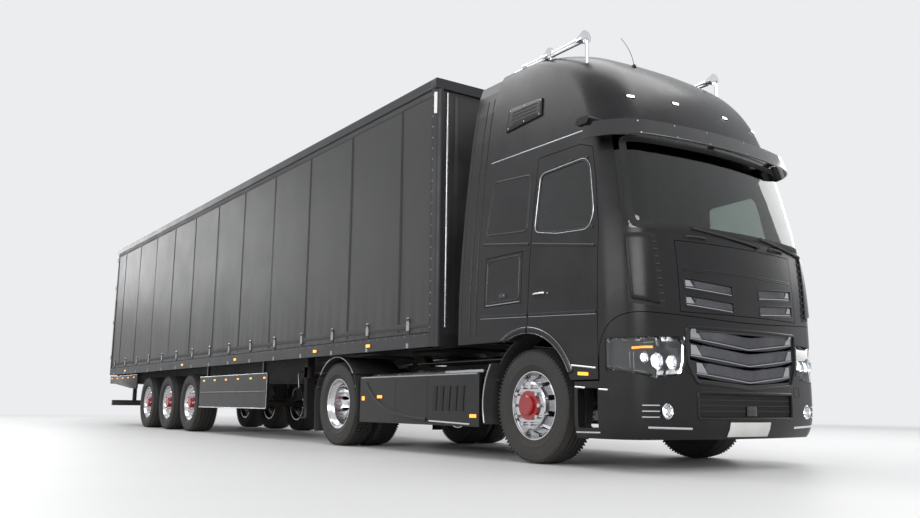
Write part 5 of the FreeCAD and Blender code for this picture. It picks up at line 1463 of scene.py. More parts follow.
@dataclass
class Wheels(Section):
    """Tyres with tread and sidewall detail, polished rims and red hubs."""

    hub_r: float = 0.134
    bead_r: float = 0.2863
    metal_reach: float = 0.4
    shoulder_fins: int = 84
    tread_lugs: int = 68
    groove_depth: float = 0.014
    segments: int = 88

    def build(self) -> None:
        """Dress every wheel node."""
        layout = self.shop.layout
        for side in Side:
            self._wheel("wheel_front_" + side.tag, layout.axle_x, layout.tractor_tyre_r, blocks=False)
            self._wheel("wheel_drive_" + side.tag, layout.drive_x, layout.tractor_tyre_r, blocks=True)
            for n, x in enumerate(layout.trailer_xs):
                self._wheel(f"wheel_trailer_{n + 1}_{side.tag}", x, layout.trailer_tyre_r, blocks=False)

    def _wheel(self, node: str, x: float, z: float, blocks: bool) -> None:
        """Replace one wheel node by a rim, a hub and its tyres.

        Args:
            node: Name of the wheel.
            x: Length of its axis.
            z: Height of its axis.
            blocks: Whether its tyres have tread blocks.
        """
        axis = Vector((x, 0.0, z))
        merged = merged_copy(self.shop.frame["nodes"][node])
        metal, tyres = self._sort_parts(merged, axis)
        low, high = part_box(node)
        for name, faces, finish in self._metal_groups(metal, axis):
            self.shop.dress(copy_faces(node + name, faces, 28.0), finish, node, node)
        for n, (inner, outer) in enumerate(tyres):
            radius = (high.z - low.z) / 2
            tag = ""
            if len(tyres) > 1:
                tag = "_inner" if abs(inner + outer) < abs(sum(tyres[1 - n])) else "_outer"
            self._tyre(node + "_tyre" + tag, node, Vector((x, (inner + outer) / 2, z)), radius,
                       abs(outer - inner) / 2, blocks)
        merged.free()

    def _sort_parts(self, merged: bmesh.types.BMesh, axis: Vector) -> tuple[list, list[Point2]]:
        """Split a wheel's mesh into metal faces and the y ranges of its tyres.

        Args:
            merged: The wheel's merged mesh.
            axis: Point on its axis.

        Returns:
            The metal faces, and each tyre's y range.
        """
        seen: set[int] = set()
        metal: list[bmesh.types.BMFace] = []
        tyres: list[Point2] = []
        for start in merged.faces:
            if start.index in seen:
                continue
            seen.add(start.index)
            island = [start]
            for face in island:
                for edge in face.edges:
                    for other in edge.link_faces:
                        if other.index not in seen:
                            seen.add(other.index)
                            island.append(other)
            reach = max(math.hypot(v.co.x - axis.x, v.co.z - axis.z) for face in island for v in face.verts)
            if reach > self.metal_reach:
                across = [v.co.y for face in island for v in face.verts]
                tyres.append((min(across), max(across)))
            else:
                metal.extend(island)
        return metal, tyres

    def _metal_groups(self, metal: list, axis: Vector) -> list[tuple[str, list, Finish]]:
        """Sort metal faces into the red hub centre and the bright rim.

        Args:
            metal: The metal faces.
            axis: Point on the wheel's axis.

        Returns:
            Each group's name ending, faces and finish.
        """
        hub, rim = [], []
        for face in metal:
            middle = face.calc_center_median()
            radius = math.hypot(middle.x - axis.x, middle.z - axis.z)
            (hub if radius < self.hub_r else rim).append(face)
        return [("_hub", hub, HUB_RED), ("_rim", rim, ALLOY)]

    def _tyre(self, name: str, node: str, centre: Vector, radius: float, half: float, blocks: bool) -> None:
        """Build one tyre: carcass with sidewall ribs, circumferential grooves, and tread blocks where asked.

        Args:
            name: Name of the tyre.
            node: Name of the wheel.
            centre: Its middle.
            radius: Its radius.
            half: Half of its width.
            blocks: Whether it has tread blocks.
        """
        foot = self.bead_r
        bead = half - (0.033 if half < 0.17 else 0.04)
        base = radius - self.groove_depth
        crown = radius - 0.002 if blocks else radius
        tread = half - 0.045
        grooves = [tread * t for t in (-0.62, -0.21, 0.21, 0.62)]
        profile: list[Point2] = [
            (foot, -bead + 0.02), (0.302, -bead), (0.33, -half + 0.016), (0.35, -half + 0.008),
            (0.356, -half + 0.002), (0.372, -half + 0.001), (0.378, -half + 0.004), (radius - 0.078, -half),
            (radius - 0.07, -half + 0.003), (radius - 0.036, -half + 0.007), (radius - 0.02, -half + 0.018),
            (radius - 0.006, -tread)]
        ground = base if blocks else crown
        for groove in grooves:
            profile += [(ground, groove - 0.007), (base, groove - 0.005), (base, groove + 0.005),
                        (ground, groove + 0.007)]
        profile += [(r, -along) for r, along in reversed(profile[:12])]
        profile += [(foot, bead - 0.06), (foot + 0.06, 0.0), (foot, -bead + 0.06)]
        carcass = Shape().lathe(profile, centre, "y", self.segments)
        self.shop.piece(name, carcass, TYRE, node, smooth=26.0, stands_for=node)
        edge = Shape()
        edge.block((radius - 0.034, -half + 0.006, -0.006), (radius - 0.01, -half + 0.022, 0.006))
        edge.block((radius - 0.034, half - 0.022, -0.006), (radius - 0.01, half - 0.006, 0.006))
        self.shop.ring(name + "_shoulder", edge, TYRE, node, self.shoulder_fins, centre)
        if blocks:
            lug = Shape()
            spans = [-tread, *grooves, tread]
            for a, b in zip(spans, spans[1:]):
                shift = 0.006 if (a + b) > 0 else -0.006
                outline = [(a + 0.006, -0.018), (b - 0.006, -0.018 + shift), (b - 0.006, 0.018 + shift),
                           (a + 0.006, 0.018)]
                lug.rings([[Vector((r, y, z)) for y, z in outline] for r in (base - 0.004, radius)])
            self.shop.ring(name + "_tread", lug, TYRE, node, self.tread_lugs, centre)


@dataclass
class CabFront(Section):
    """Grille dressing, air panels, chin, fog lamps, blank plate, cowl and visor details."""

    slat_lows: tuple[float, ...] = (0.7, 0.8367, 0.9733)
    slat_slope: float = 0.1071
    slot_lows: tuple[float, ...] = (1.31, 1.45)
    slot_inner: float = 0.17
    slot_outer: float = 0.7
    slot_height: float = 0.084
    slot_sag: float = 0.034
    bar_pitch: float = 0.012

    def build(self) -> None:
        """Make every piece of the front."""
        for step in (
                self._lower_slats, self._upper_slots, self._grille_frame, self._corner_panels, self._cowl,
                self._lower_opening, self._plate, self._bumper_trim, self._visor, self._screen_band):
            step()

    def _reach(self, low: float) -> float:
        """Half length of a drooping slat at the opening's slanted edge.

        Args:
            low: Height of the slat's foot at the middle.

        Returns:
            The half length.
        """
        reach = 0.6
        for _ in range(12):
            z = low + self.slat_slope * reach
            reach = 0.664 if z > 0.86 else 0.664 - (0.86 - z) * 0.5625
        return reach

    def _lower_slats(self) -> None:
        """Bright lower edges, satin ends and fine mesh on the three drooping slats."""
        bars: list = []
        for n, low in enumerate(self.slat_lows):
            reach = self._reach(low)
            line = [(side * reach * t, low + 0.007 + self.slat_slope * reach * t)
                    for side, t in ((-1, 1.0), (-1, 0.0), (1, 1.0))]
            self.shop.front_trim(
                f"slat_edge_{n}", line, flat_section(0.011, 0.006), SATIN, step=0.03,
                skin=self.shop.closed_skin)
            for side in Side:
                self._slat_end(f"slat_end_{n}", side, reach, low)
            steps = int((reach - 0.1) / self.bar_pitch)
            for k in range(-steps, steps + 1):
                y = k * self.bar_pitch
                bars.append((y, low + 0.062 + self.slat_slope * abs(y)))
        self._mesh("grille_mesh", bars, 0.08, "chassis")

    def _slat_end(self, name: str, side: Side, reach: float, low: float) -> None:
        """One satin plate on a slat's outer end.

        Args:
            name: Name of the plate, less its side.
            side: Side of the plate.
            reach: The slat's half length.
            low: Height of the slat's foot at the middle.
        """
        tag = f"{name}_{side.tag}"
        spots = (
            (reach - 0.115, 0.016), (reach - 0.006, 0.016), (reach - 0.004, 0.092), (reach - 0.06, 0.092))
        corners = [(side * y, low + up + self.slat_slope * y) for y, up in spots]
        self.shop.patch(tag, corners, SATIN, self.shop.closed_skin.front, lift=0.005, cells=(4, 2))

    def _mesh(self, name: str, bars: Sequence[Point2], length: float, body: str, bright: bool = True) -> None:
        """Diagonal fine bars that cross over each other on a face.

        Args:
            name: Name of the piece.
            bars: Places (y, z) of the crossings.
            length: Length of a bar.
            body: The body that it rides on.
            bright: Whether the wire is bright.
        """
        hits, alongs = [], []
        for y, z in bars:
            hit = self.shop.closed_skin.front(y, z)
            if hit and hit.body == body:
                for lean in (0.75, -0.75):
                    hits.append((hit.point + hit.out * (0.001 if lean > 0 else 0.0018), hit.out))
                    alongs.append((0.0, lean, 1.0))
        half = length * 0.62
        template = Shape().block((-half, -0.0012, -0.001), (half, 0.0012, 0.0024))
        self.shop.fasteners(name, hits, template, MESH_GREY if bright else PLASTIC, body, alongs)

    def _upper_slots(self) -> None:
        """Bright lower edges, satin ends and mesh in the flap's slanted slots."""
        bars: list = []
        for n, low in enumerate(self.slot_lows):
            for side in Side:
                tag = f"{n}_{side.tag}"
                slope = self.slot_sag / (self.slot_outer - self.slot_inner)

                def height(y: float) -> float:
                    """Height of the slot's lower edge at a place across."""
                    return low - self.slot_sag + (y - self.slot_inner) * slope

                line = [
                    (side * y, height(y) + 0.01) for y in (self.slot_inner + 0.012, self.slot_outer - 0.012)]
                self.shop.front_trim("slot_edge_" + tag, line, flat_section(0.011, 0.008), SATIN, step=0.03,
                                     skin=self.shop.closed_skin)
                rim = [(side * self.slot_inner, height(self.slot_inner) - 0.006),
                       (side * self.slot_outer, height(self.slot_outer) - 0.006),
                       (side * (self.slot_outer + 0.004), height(self.slot_outer) + self.slot_height + 0.004),
                       (side * self.slot_inner, height(self.slot_inner) + self.slot_height + 0.004)]
                self.shop.front_trim("slot_rim_" + tag, rounded(rim, 0.012) + [rounded(rim, 0.012)[0]],
                                     round_section(0.010, 0.004), PAINT, step=0.02)
                ends = [(side * (self.slot_outer - 0.095), height(self.slot_outer) + 0.022),
                        (side * (self.slot_outer - 0.014), height(self.slot_outer) + 0.022),
                        (side * (self.slot_outer - 0.014), height(self.slot_outer) + 0.070),
                        (side * (self.slot_outer - 0.060), height(self.slot_outer) + 0.070)]
                self.shop.patch(
                    "slot_end_" + tag, ends, SATIN, self.shop.closed_skin.front, lift=0.004, cells=(3, 2))
                steps = int((self.slot_outer - self.slot_inner - 0.12) / self.bar_pitch)
                bars.extend((
                    side * (self.slot_inner + 0.02 + k * self.bar_pitch),
                    height(self.slot_inner + 0.02 + k * self.bar_pitch) + 0.047) for k in range(steps))
        self._mesh("flap_mesh", bars, 0.05, "front_flap")

    def _grille_frame(self) -> None:
        """Raised moulding round the lower grille and a thin seam in the flap."""
        outline = [(-0.708, 1.138), (0.708, 1.138), (0.708, 0.858), (0.616, 0.694), (0.0, 0.651),
                   (-0.616, 0.694), (-0.708, 0.858)]
        line = rounded(outline, 0.03)
        self.shop.front_trim(
            "grille_moulding", line + [line[0]], round_section(0.026, 0.01), PAINT, step=0.025)
        for z in (1.6, 1.615):
            self.shop.front_trim(
                f"flap_crease_{round(z * 1000)}", [(-0.7, z), (0.7, z)], round_section(0.012, 0.0035), PAINT,
                step=0.04)

    def _corner_panels(self) -> None:
        """Air panels round both front corners, each a near-black sheet of painted shade with louvres and a
        curved upright blade.
        """
        skin = self.shop.skin
        for side in Side:
            def around(degrees: float, z: float, side: int = side) -> Optional[Hit]:
                """Surface round this corner."""
                return skin.corner(degrees, z, side)

            # Near-black sheet painted as the shade of the recess round the blade.
            self.shop.patch(
                "air_panel_" + side.tag, [(3.0, 1.275), (60.0, 1.315), (69.0, 1.89), (13.0, 1.89)], SEAM_PRINT_AND_SHADE,
                around, lift=0.0015, sink=0.003, cells=(10, 12))
            for n in range(9):
                z = 1.335 + n * 0.06
                run = kept(around(5.0 + n * 1.1 + k * 3.5, z) for k in range(5))
                self.shop.piece(
                    f"air_louvre_{side.tag}_{n}", Shape().band(run, flat_section(0.016, 0.01)), PLASTIC,
                    "cab")
            self.shop.patch(
                "corner_blade_" + side.tag, [(13.0, 1.31), (56.0, 1.35), (65.0, 1.868), (23.0, 1.868)], PAINT,
                around, lift=0.018, sink=-0.003, cells=(12, 14), bevel=0.005)

    def _cowl(self) -> None:
        """Grab recesses painted as shade, with their bars, and the seam under the windscreen."""
        for side in Side:
            corners = [(side * 0.4, 1.866), (side * 0.66, 1.866), (side * 0.64, 1.908), (side * 0.42, 1.908)]
            # The grab recesses are near-black sheets: painted shade.
            self.shop.patch(
                "cowl_recess_" + side.tag, corners, SEAM_PRINT_AND_SHADE, self.shop.skin.front, lift=0.001, cells=(8, 3))
            path = []
            for k in range(13):
                t = k / 12
                hit = self.shop.skin.front(side * (0.42 + 0.22 * t), 1.888)
                path.append(hit.point + hit.out * (0.003 + 0.018 * min(1.0, 5.0 * min(t, 1.0 - t))))
            self.shop.piece("cowl_handle_" + side.tag, Shape().tube(path, 0.0085, 10), PLASTIC, "cab")
        self.shop.front_trim(
            "cowl_seam", [(-0.95, 1.918), (0.95, 1.918)], flat_section(0.006, 0.0012), SEAM_PRINT_AND_SHADE, step=0.04)

    def _lower_opening(self) -> None:
        """Mesh bars, frame and sensor cover of the chin's opening."""
        outline = rounded(rect(-0.612, 0.412, 0.612, 0.622), 0.03)
        self.shop.front_trim(
            "chin_moulding", outline + [outline[0]], round_section(0.024, 0.01), PAINT, step=0.025)
        bars = [(-0.588 + 0.016 * k, 0.472 + 0.091 * row) for k in range(74) for row in (0, 1)]
        self._mesh("chin_mesh", bars, 0.088, "chassis", bright=False)
        for n, z in enumerate((0.472, 0.517, 0.562)):
            self.shop.front_trim(
                f"chin_bar_{n}", [(-0.59, z), (0.59, z)], flat_section(0.008, 0.01), PLASTIC, step=0.05,
                skin=self.shop.closed_skin)
        corners = [(-0.065, 0.435), (0.065, 0.435), (0.058, 0.515), (-0.058, 0.515)]
        self.shop.patch("sensor_cover", corners, GLOSS, self.shop.closed_skin.front, lift=0.024, cells=(4, 3),
                        bevel=0.004)

    def _plate(self) -> None:
        """Blank plate in its holder."""
        for name, grow, lift, finish in (
                ("plate_holder", 0.008, 0.007, PLASTIC), ("blank_plate", 0.0, 0.01, BLANK_PLATE)):
            corners = rect(-0.26 - grow, 0.272 - grow, 0.26 + grow, 0.385 + grow)
            self.shop.patch(
                name, corners, finish, self.shop.skin.front, lift=lift, cells=(8, 2), bevel=0.0015)

    def _bumper_trim(self) -> None:
        """Bright strips low down, towing covers and the V crease of the chin."""
        for side in Side:
            self.shop.front_trim(
                "bumper_strip_" + side.tag, [(side * 0.66, 0.335), (side * 1.06, 0.345)],
                round_section(0.02, 0.007), CHROME)
            cover = rounded(rect(side * 0.66, 0.6, side * 0.76, 0.68), 0.014)
            self.shop.front_trim(
                "tow_seam_" + side.tag, cover + [cover[0]], flat_section(0.005, 0.0015), SEAM_PRINT_AND_SHADE)
            crease = [(side * 0.02, 0.632), (side * 0.7, 0.775), (side * 0.73, 0.82)]
            self.shop.front_trim("chin_crease_" + side.tag, crease, round_section(0.018, 0.005), PAINT)
            self._fog_lamp(side)

    def _fog_lamp(self, side: Side) -> None:
        """Chrome bowl, ring and bars of one fog lamp behind its clear cover.

        Args:
            side: Side that is dressed.
        """
        hit = self.shop.closed_skin.front(side * 0.905, 0.47)
        centre = (hit.point.x, side * 0.905, 0.47)
        bowl = Shape().lathe([
            (0.0, -0.05), (0.026, -0.046), (0.046, -0.022), (0.052, -0.01), (0.054, -0.01), (0.05, -0.03),
            (0.028, -0.052), (0.0, -0.056)], centre, "x", 40, loop=False)
        ring = Shape().lathe(
            [(0.05, -0.006), (0.06, -0.006), (0.062, 0.003), (0.057, 0.008), (0.051, 0.004)], centre, "x", 48)
        cover = Shape().lathe(
            [(0.0, 0.001), (0.03, 0.0), (0.053, -0.004), (0.053, -0.007), (0.03, -0.003), (0.0, -0.002)],
            centre, "x", 40, loop=False)
        bulb = Shape().lathe(
            [(0.0, -0.02), (0.012, -0.024), (0.015, -0.04), (0.0, -0.045)], centre, "x", 20, loop=False)
        for name, shape, finish in (
                ("bowl", bowl, CHROME), ("ring", ring, CHROME), ("cover", cover, LENS),
                ("bulb", bulb, LED_WHITE)):
            self.shop.piece(f"fog_{name}_{side.tag}", shape, finish, "chassis", stands_for="headlamps")
        for n, z in enumerate((0.425, 0.47, 0.515)):
            path = []
            for k in range(9):
                edge = self.shop.skin.front(side * (0.982 + k * 0.016), z)
                path.append(edge.point + edge.out * 0.004)
            self.shop.piece(f"fog_bar_{side.tag}_{n}", Shape().tube(path, 0.006, 8), CHROME, "chassis")

    def _visor(self) -> None:
        """Fasteners on the sun visor, and the slotted openings over it, painted as shade."""
        visor = Skin(self.shop.frame, ["sun_visor"])
        hits = kept(
            visor.front(y, z) for y in (-0.98, -0.62, -0.25, 0.25, 0.62, 0.98) for z in (2.752, 2.862))
        self.shop.fasteners("visor_screw", hits, screw_head(0.007, 0.003), SATIN, "cab")
        for side in Side:
            for n in range(6):
                y = 0.24 + n * 0.125
                # Each slotted opening is a near-black sheet: painted shade.
                corners = rect(side * y, 2.915, side * (y + 0.1), 2.955)
                self.shop.patch(f"roof_slot_{side.tag}_{n}", corners, SEAM_PRINT_AND_SHADE, self.shop.skin.front,
                                lift=0.001, cells=(4, 2))
        self.shop.front_trim(
            "visor_lip", [(-1.0, 2.742), (1.0, 2.742)], round_section(0.012, 0.004), GLOSS, step=0.05,
            skin=visor)

    def _screen_band(self) -> None:
        """Black printed band round the windscreen."""
        line = rounded([(-1.088, 1.958), (-1.098, 2.08), (-1.028, 2.735), (1.028, 2.735), (1.098, 2.08),
                        (1.088, 1.958)], 0.05)
        self.shop.front_trim(
            "screen_band", line + [line[0]], flat_section(0.06, 0.0024), SEAM_PRINT_AND_SHADE, step=0.03,
            skin=self.shop.closed_skin)


def screw_head(radius: float, height: float) -> Shape:
    """Low domed screw head standing along +Z."""
    profile = [(0.0, -0.001), (radius, -0.001), (radius, height * 0.5), (radius * 0.6, height), (0.0, height)]
    return Shape().lathe(profile, (0.0, 0.0, 0.0), "z", 12, loop=False)


def bolt_head(width: float, height: float) -> Shape:
    """Six-sided bolt head with a washer, standing along +Z."""
    shape = Shape().lathe(rect(0.0, -0.001, width * 0.75, height * 0.3), (0.0, 0.0, 0.0), "z", 14, loop=False)
    return shape.lathe(rect(0.0, height * 0.3, width * 0.58, height), (0.0, 0.0, 0.0), "z", 6, loop=False)


@dataclass
class Lamps(Section):
    """Insides and clear covers of the headlamps."""

    wall: float = 0.003

    def build(self) -> None:
        """Replace the headlamp solids by bowls, lamps and clear covers."""
        merged = merged_copy(self.shop.frame["nodes"]["headlamps"])
        for side in Side:
            cover, bowl = [], []
            centre = Vector((7.72, side * 0.6, 0.8))
            for face in merged.faces:
                middle = face.calc_center_median()
                if middle.y * side < 0 or middle.z < 0.6:
                    continue
                away = middle - centre
                away.z = 0.0
                facing = face.normal.dot(away.normalized())
                edge = abs(face.normal.z) > 0.6
                (cover if facing > 0.35 and not edge else bowl).append(face)
            self._shell("headlamp_cover_" + side.tag, cover, LENS)
            self._shell("headlamp_bowl_" + side.tag, bowl, PLASTIC)
            self._inside(side)
        merged.free()

    def _shell(self, name: str, faces: list, finish: Finish) -> None:
        """Turn some faces of the solid into a thin wall.

        Args:
            name: Name of the piece.
            faces: Faces of the solid.
            finish: Its finish.
        """
        piece = copy_faces(name, faces, 35.0)
        wall = piece.modifiers.new("wall", "SOLIDIFY")
        wall.thickness = self.wall
        wall.offset = -1.0
        flatten(piece)
        self.shop.dress(piece, finish, "chassis", "headlamps")

    def _inside(self, side: Side) -> None:
        """Round lamps, light strips and the brow of one headlamp.

        Args:
            side: Side that is dressed.
        """
        skin = self.shop.closed_skin

        def deep(y: float, z: float, depth: float) -> Vector:
            """Point behind the cover."""
            hit = skin.front(side * abs(y), z)
            return hit.point - hit.out * depth

        for name, y, z, radius in (
                ("main", 0.985, 0.86, 0.06), ("dipped", 0.85, 0.855, 0.05), ("bend", 1.085, 0.885, 0.038)):
            spot = deep(y, z, 0.014)
            bowl = Shape().lathe([
                (0.0, -0.038), (radius * 0.55, -0.034), (radius, 0.0), (radius + 0.004, 0.0),
                (radius + 0.004, -0.008), (radius * 0.6, -0.042), (0.0, -0.044)], spot, "x", 40, loop=False)
            self._lamp_piece(f"headlamp_{name}_bowl_{side.tag}", bowl, CHROME)
            eye = Shape().lathe([
                (0.0, -0.006), (radius * 0.42, -0.01), (radius * 0.58, -0.022), (radius * 0.55, -0.034),
                (0.0, -0.036)], spot, "x", 32, loop=False)
            self._lamp_piece(f"headlamp_{name}_eye_{side.tag}", eye, LED_WHITE)
            rim = Shape().lathe(rect(radius + 0.002, -0.002, radius + 0.009, 0.004), spot, "x", 40)
            self._lamp_piece(f"headlamp_{name}_rim_{side.tag}", rim, SATIN)
        day_light = [(0.742, 0.975), (0.745, 0.86), (0.775, 0.79), (0.84, 0.775), (0.97, 0.775)]
        for name, line, finish, width in (
                ("day_light", day_light, LED_WHITE, 0.014),
                ("brow", [(0.765, 1.015), (0.9, 1.016), (1.09, 1.0)], SATIN, 0.01),
                ("indicator", [(1.02, 0.968), (1.1, 0.965), (1.16, 0.958)], AMBER, 0.018),
                ("fin_a", [(1.15, 0.8), (1.15, 0.93)], SATIN, 0.006),
                ("fin_b", [(1.17, 0.805), (1.17, 0.925)], SATIN, 0.006)):
            path = [deep(y, z, 0.012) for y, z in spread(line, 0.02)]
            self._lamp_piece(f"headlamp_{name}_{side.tag}", Shape().tube(path, width / 2, 8), finish)

    def _lamp_piece(self, name: str, shape: Shape, finish: Finish) -> None:
        """Dress one part of a headlamp."""
        self.shop.piece(name, shape, finish, "chassis", stands_for="headlamps")


@dataclass
class CabSide(Section):
    """Trim of the cab's sides: window frames, handles, lockers, arch edges, strips and lamps."""

    arch_z: float = 0.505

    def build(self) -> None:
        """Make both sides."""
        for side in Side:
            for step in (
                    self._window, self._creases, self._handle, self._locker, self._arch, self._low_strips,
                    self._mirror_camera):
                step(side)

    def _window(self, side: Side) -> None:
        """Rubber, bright frame and small brackets of the door window.

        Args:
            side: Side that is dressed.
        """
        outline = [
            (6.925, 2.06), (6.955, 2.58), (7.51, 2.6), (7.58, 2.53), (7.655, 2.11), (7.6, 1.985),
            (7.23, 2.01)]
        for name, grow, section, finish in (
                ("window_rubber", 0.006, round_section(0.016, 0.004), RUBBER),
                ("window_frame", 0.022, round_section(0.008, 0.005), SATIN)):
            line = rounded(grown(outline, grow), 0.045 + grow)
            self.shop.side_trim(name, line + [line[0]], section, finish, side, step=0.02)
        for n, (x, z) in enumerate(((7.34, 2.635), (7.55, 2.615), (7.66, 1.985))):
            self.shop.oval(f"window_bracket_{side.tag}_{n}", (x, z), (0.016, 0.010), PLASTIC,
                           self.shop.on_side(side), 0.009)

    def _creases(self, side: Side) -> None:
        """Pressed lines along the belt and the waist, a painted highlight on the waist, and the raised panel
        behind the door.

        Args:
            side: Side that is dressed.
        """
        for name, line in (("belt_crease", [(6.13, 2.045), (6.80, 1.955), (7.70, 1.815)]),
                           ("waist_crease", [(6.13, 1.335), (6.80, 1.305), (7.72, 1.262)])):
            self.shop.side_trim(name, line, round_section(0.03, 0.006), PAINT, side, step=0.03)
        # The thin silver line on the waist shoulder is a painted highlight, where the top light catches the
        # pressed shoulder.
        self.shop.side_trim(
            "waist_strip", [(6.13, 1.318), (6.8, 1.288), (7.72, 1.245)], flat_section(0.006, 0.003), SATIN,
            side, step=0.03)
        panel = rounded([(6.17, 2.13), (6.79, 2.08), (6.79, 2.62), (6.22, 2.66)], 0.05)
        self.shop.side_trim(
            "rear_panel", panel + [panel[0]], round_section(0.02, 0.004), PAINT, side, step=0.03)

    def _handle(self, side: Side) -> None:
        """Door handle: oval recess painted as shade, bright bar and lock.

        Args:
            side: Side that is dressed.
        """
        cast = self.shop.on_side(side)
        # The recess is a near-black sheet: painted shade.
        self.shop.oval("handle_recess_" + side.tag, (7.0, 1.475), (0.1, 0.042), SEAM_PRINT_AND_SHADE, cast, 0.0015)
        path = []
        for k in range(15):
            t = k / 14
            hit = cast(6.925 + 0.15 * t, 1.48)
            path.append(hit.point + hit.out * (0.004 + 0.014 * min(1.0, 5.0 * min(t, 1.0 - t))))
        self.shop.piece("handle_bar_" + side.tag, Shape().tube(path, 0.009, 12), CHROME, "door_" + side.tag)
        self.shop.oval("handle_lock_" + side.tag, (7.115, 1.475), (0.009, 0.009), SATIN, cast, 0.004)

    def _locker(self, side: Side) -> None:
        """Bright lower edge, pressed outline and latch of the side locker.

        Args:
            side: Side that is dressed.
        """
        cast = self.shop.on_side(side)
        outline = rounded(rect(6.225, 1.455, 6.715, 1.865), 0.05)
        self.shop.side_trim(
            "locker_press", outline + [outline[0]], round_section(0.018, 0.004), PAINT, side, step=0.03)
        self.shop.side_trim(
            "locker_edge", [(6.215, 1.436), (6.725, 1.436)], flat_section(0.01, 0.004), SATIN, side,
            step=0.03)
        self.shop.patch("locker_latch_" + side.tag, rect(6.42, 1.488, 6.52, 1.532),
                        PLASTIC, cast, lift=0.006, cells=(3, 2), bevel=0.002)
        self.shop.oval("locker_lock_" + side.tag, (6.5, 1.51), (0.008, 0.008), SATIN, cast, 0.009)

    def _arch(self, side: Side) -> None:
        """Bright edges on the wheel arch lip.

        Args:
            side: Side that is dressed.
        """
        x = self.shop.layout.axle_x
        self.shop.side_trim(
            "arch_flare", arc_points(x, self.arch_z, 0.664, 24.5, 137.0, 76), round_section(0.058, 0.018),
            PAINT, side, step=0.03)
        for name, radius, width in (("arch_bead", 0.688, 0.009), ("arch_inner_bead", 0.638, 0.007)):
            self.shop.side_trim(name, arc_points(x, self.arch_z, radius, 26.0, 135.0, 70),
                                round_section(width, 0.011), SATIN, side, step=0.03)

    def _low_strips(self, side: Side) -> None:
        """Strips on the door's foot and the bumper's side, with the marker lamps.

        Args:
            side: Side that is dressed.
        """
        for name, line in (
                ("door_strip", [(7.42, 0.838), (7.71, 0.808)]),
                ("bumper_side_strip", [(7.36, 0.668), (7.72, 0.64), (7.84, 0.632)]),
                ("step_strip", [(7.36, 0.292), (7.74, 0.298)])):
            self.shop.side_trim(name, line, round_section(0.014, 0.006), CHROME, side)
        cast = self.shop.on_side(side)
        self.shop.patch(
            "front_marker_" + side.tag, [(7.5, 0.755), (7.62, 0.748), (7.62, 0.775), (7.5, 0.782)], AMBER,
            cast, lift=0.007, cells=(4, 2), bevel=0.002)

    def _mirror_camera(self, side: Side) -> None:
        """Glass eye on each camera wing.

        Args:
            side: Side that is dressed.
        """
        low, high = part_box("mirror_cams")
        y = side * (high.y - 0.035)
        eye = Shape().lathe(
            [(0.0, -0.006), (0.016, -0.006), (0.018, 0.002), (0.012, 0.006), (0.0, 0.007)],
            (low.x - 0.001, y, (low.z + high.z) / 2), "x", 24, loop=False)
        self.shop.piece(
            "camera_eye_" + side.tag, eye.turned_about(Vector((low.x, y, (low.z + high.z) / 2)), "z", 180.0),
            GLOSS, "cab")


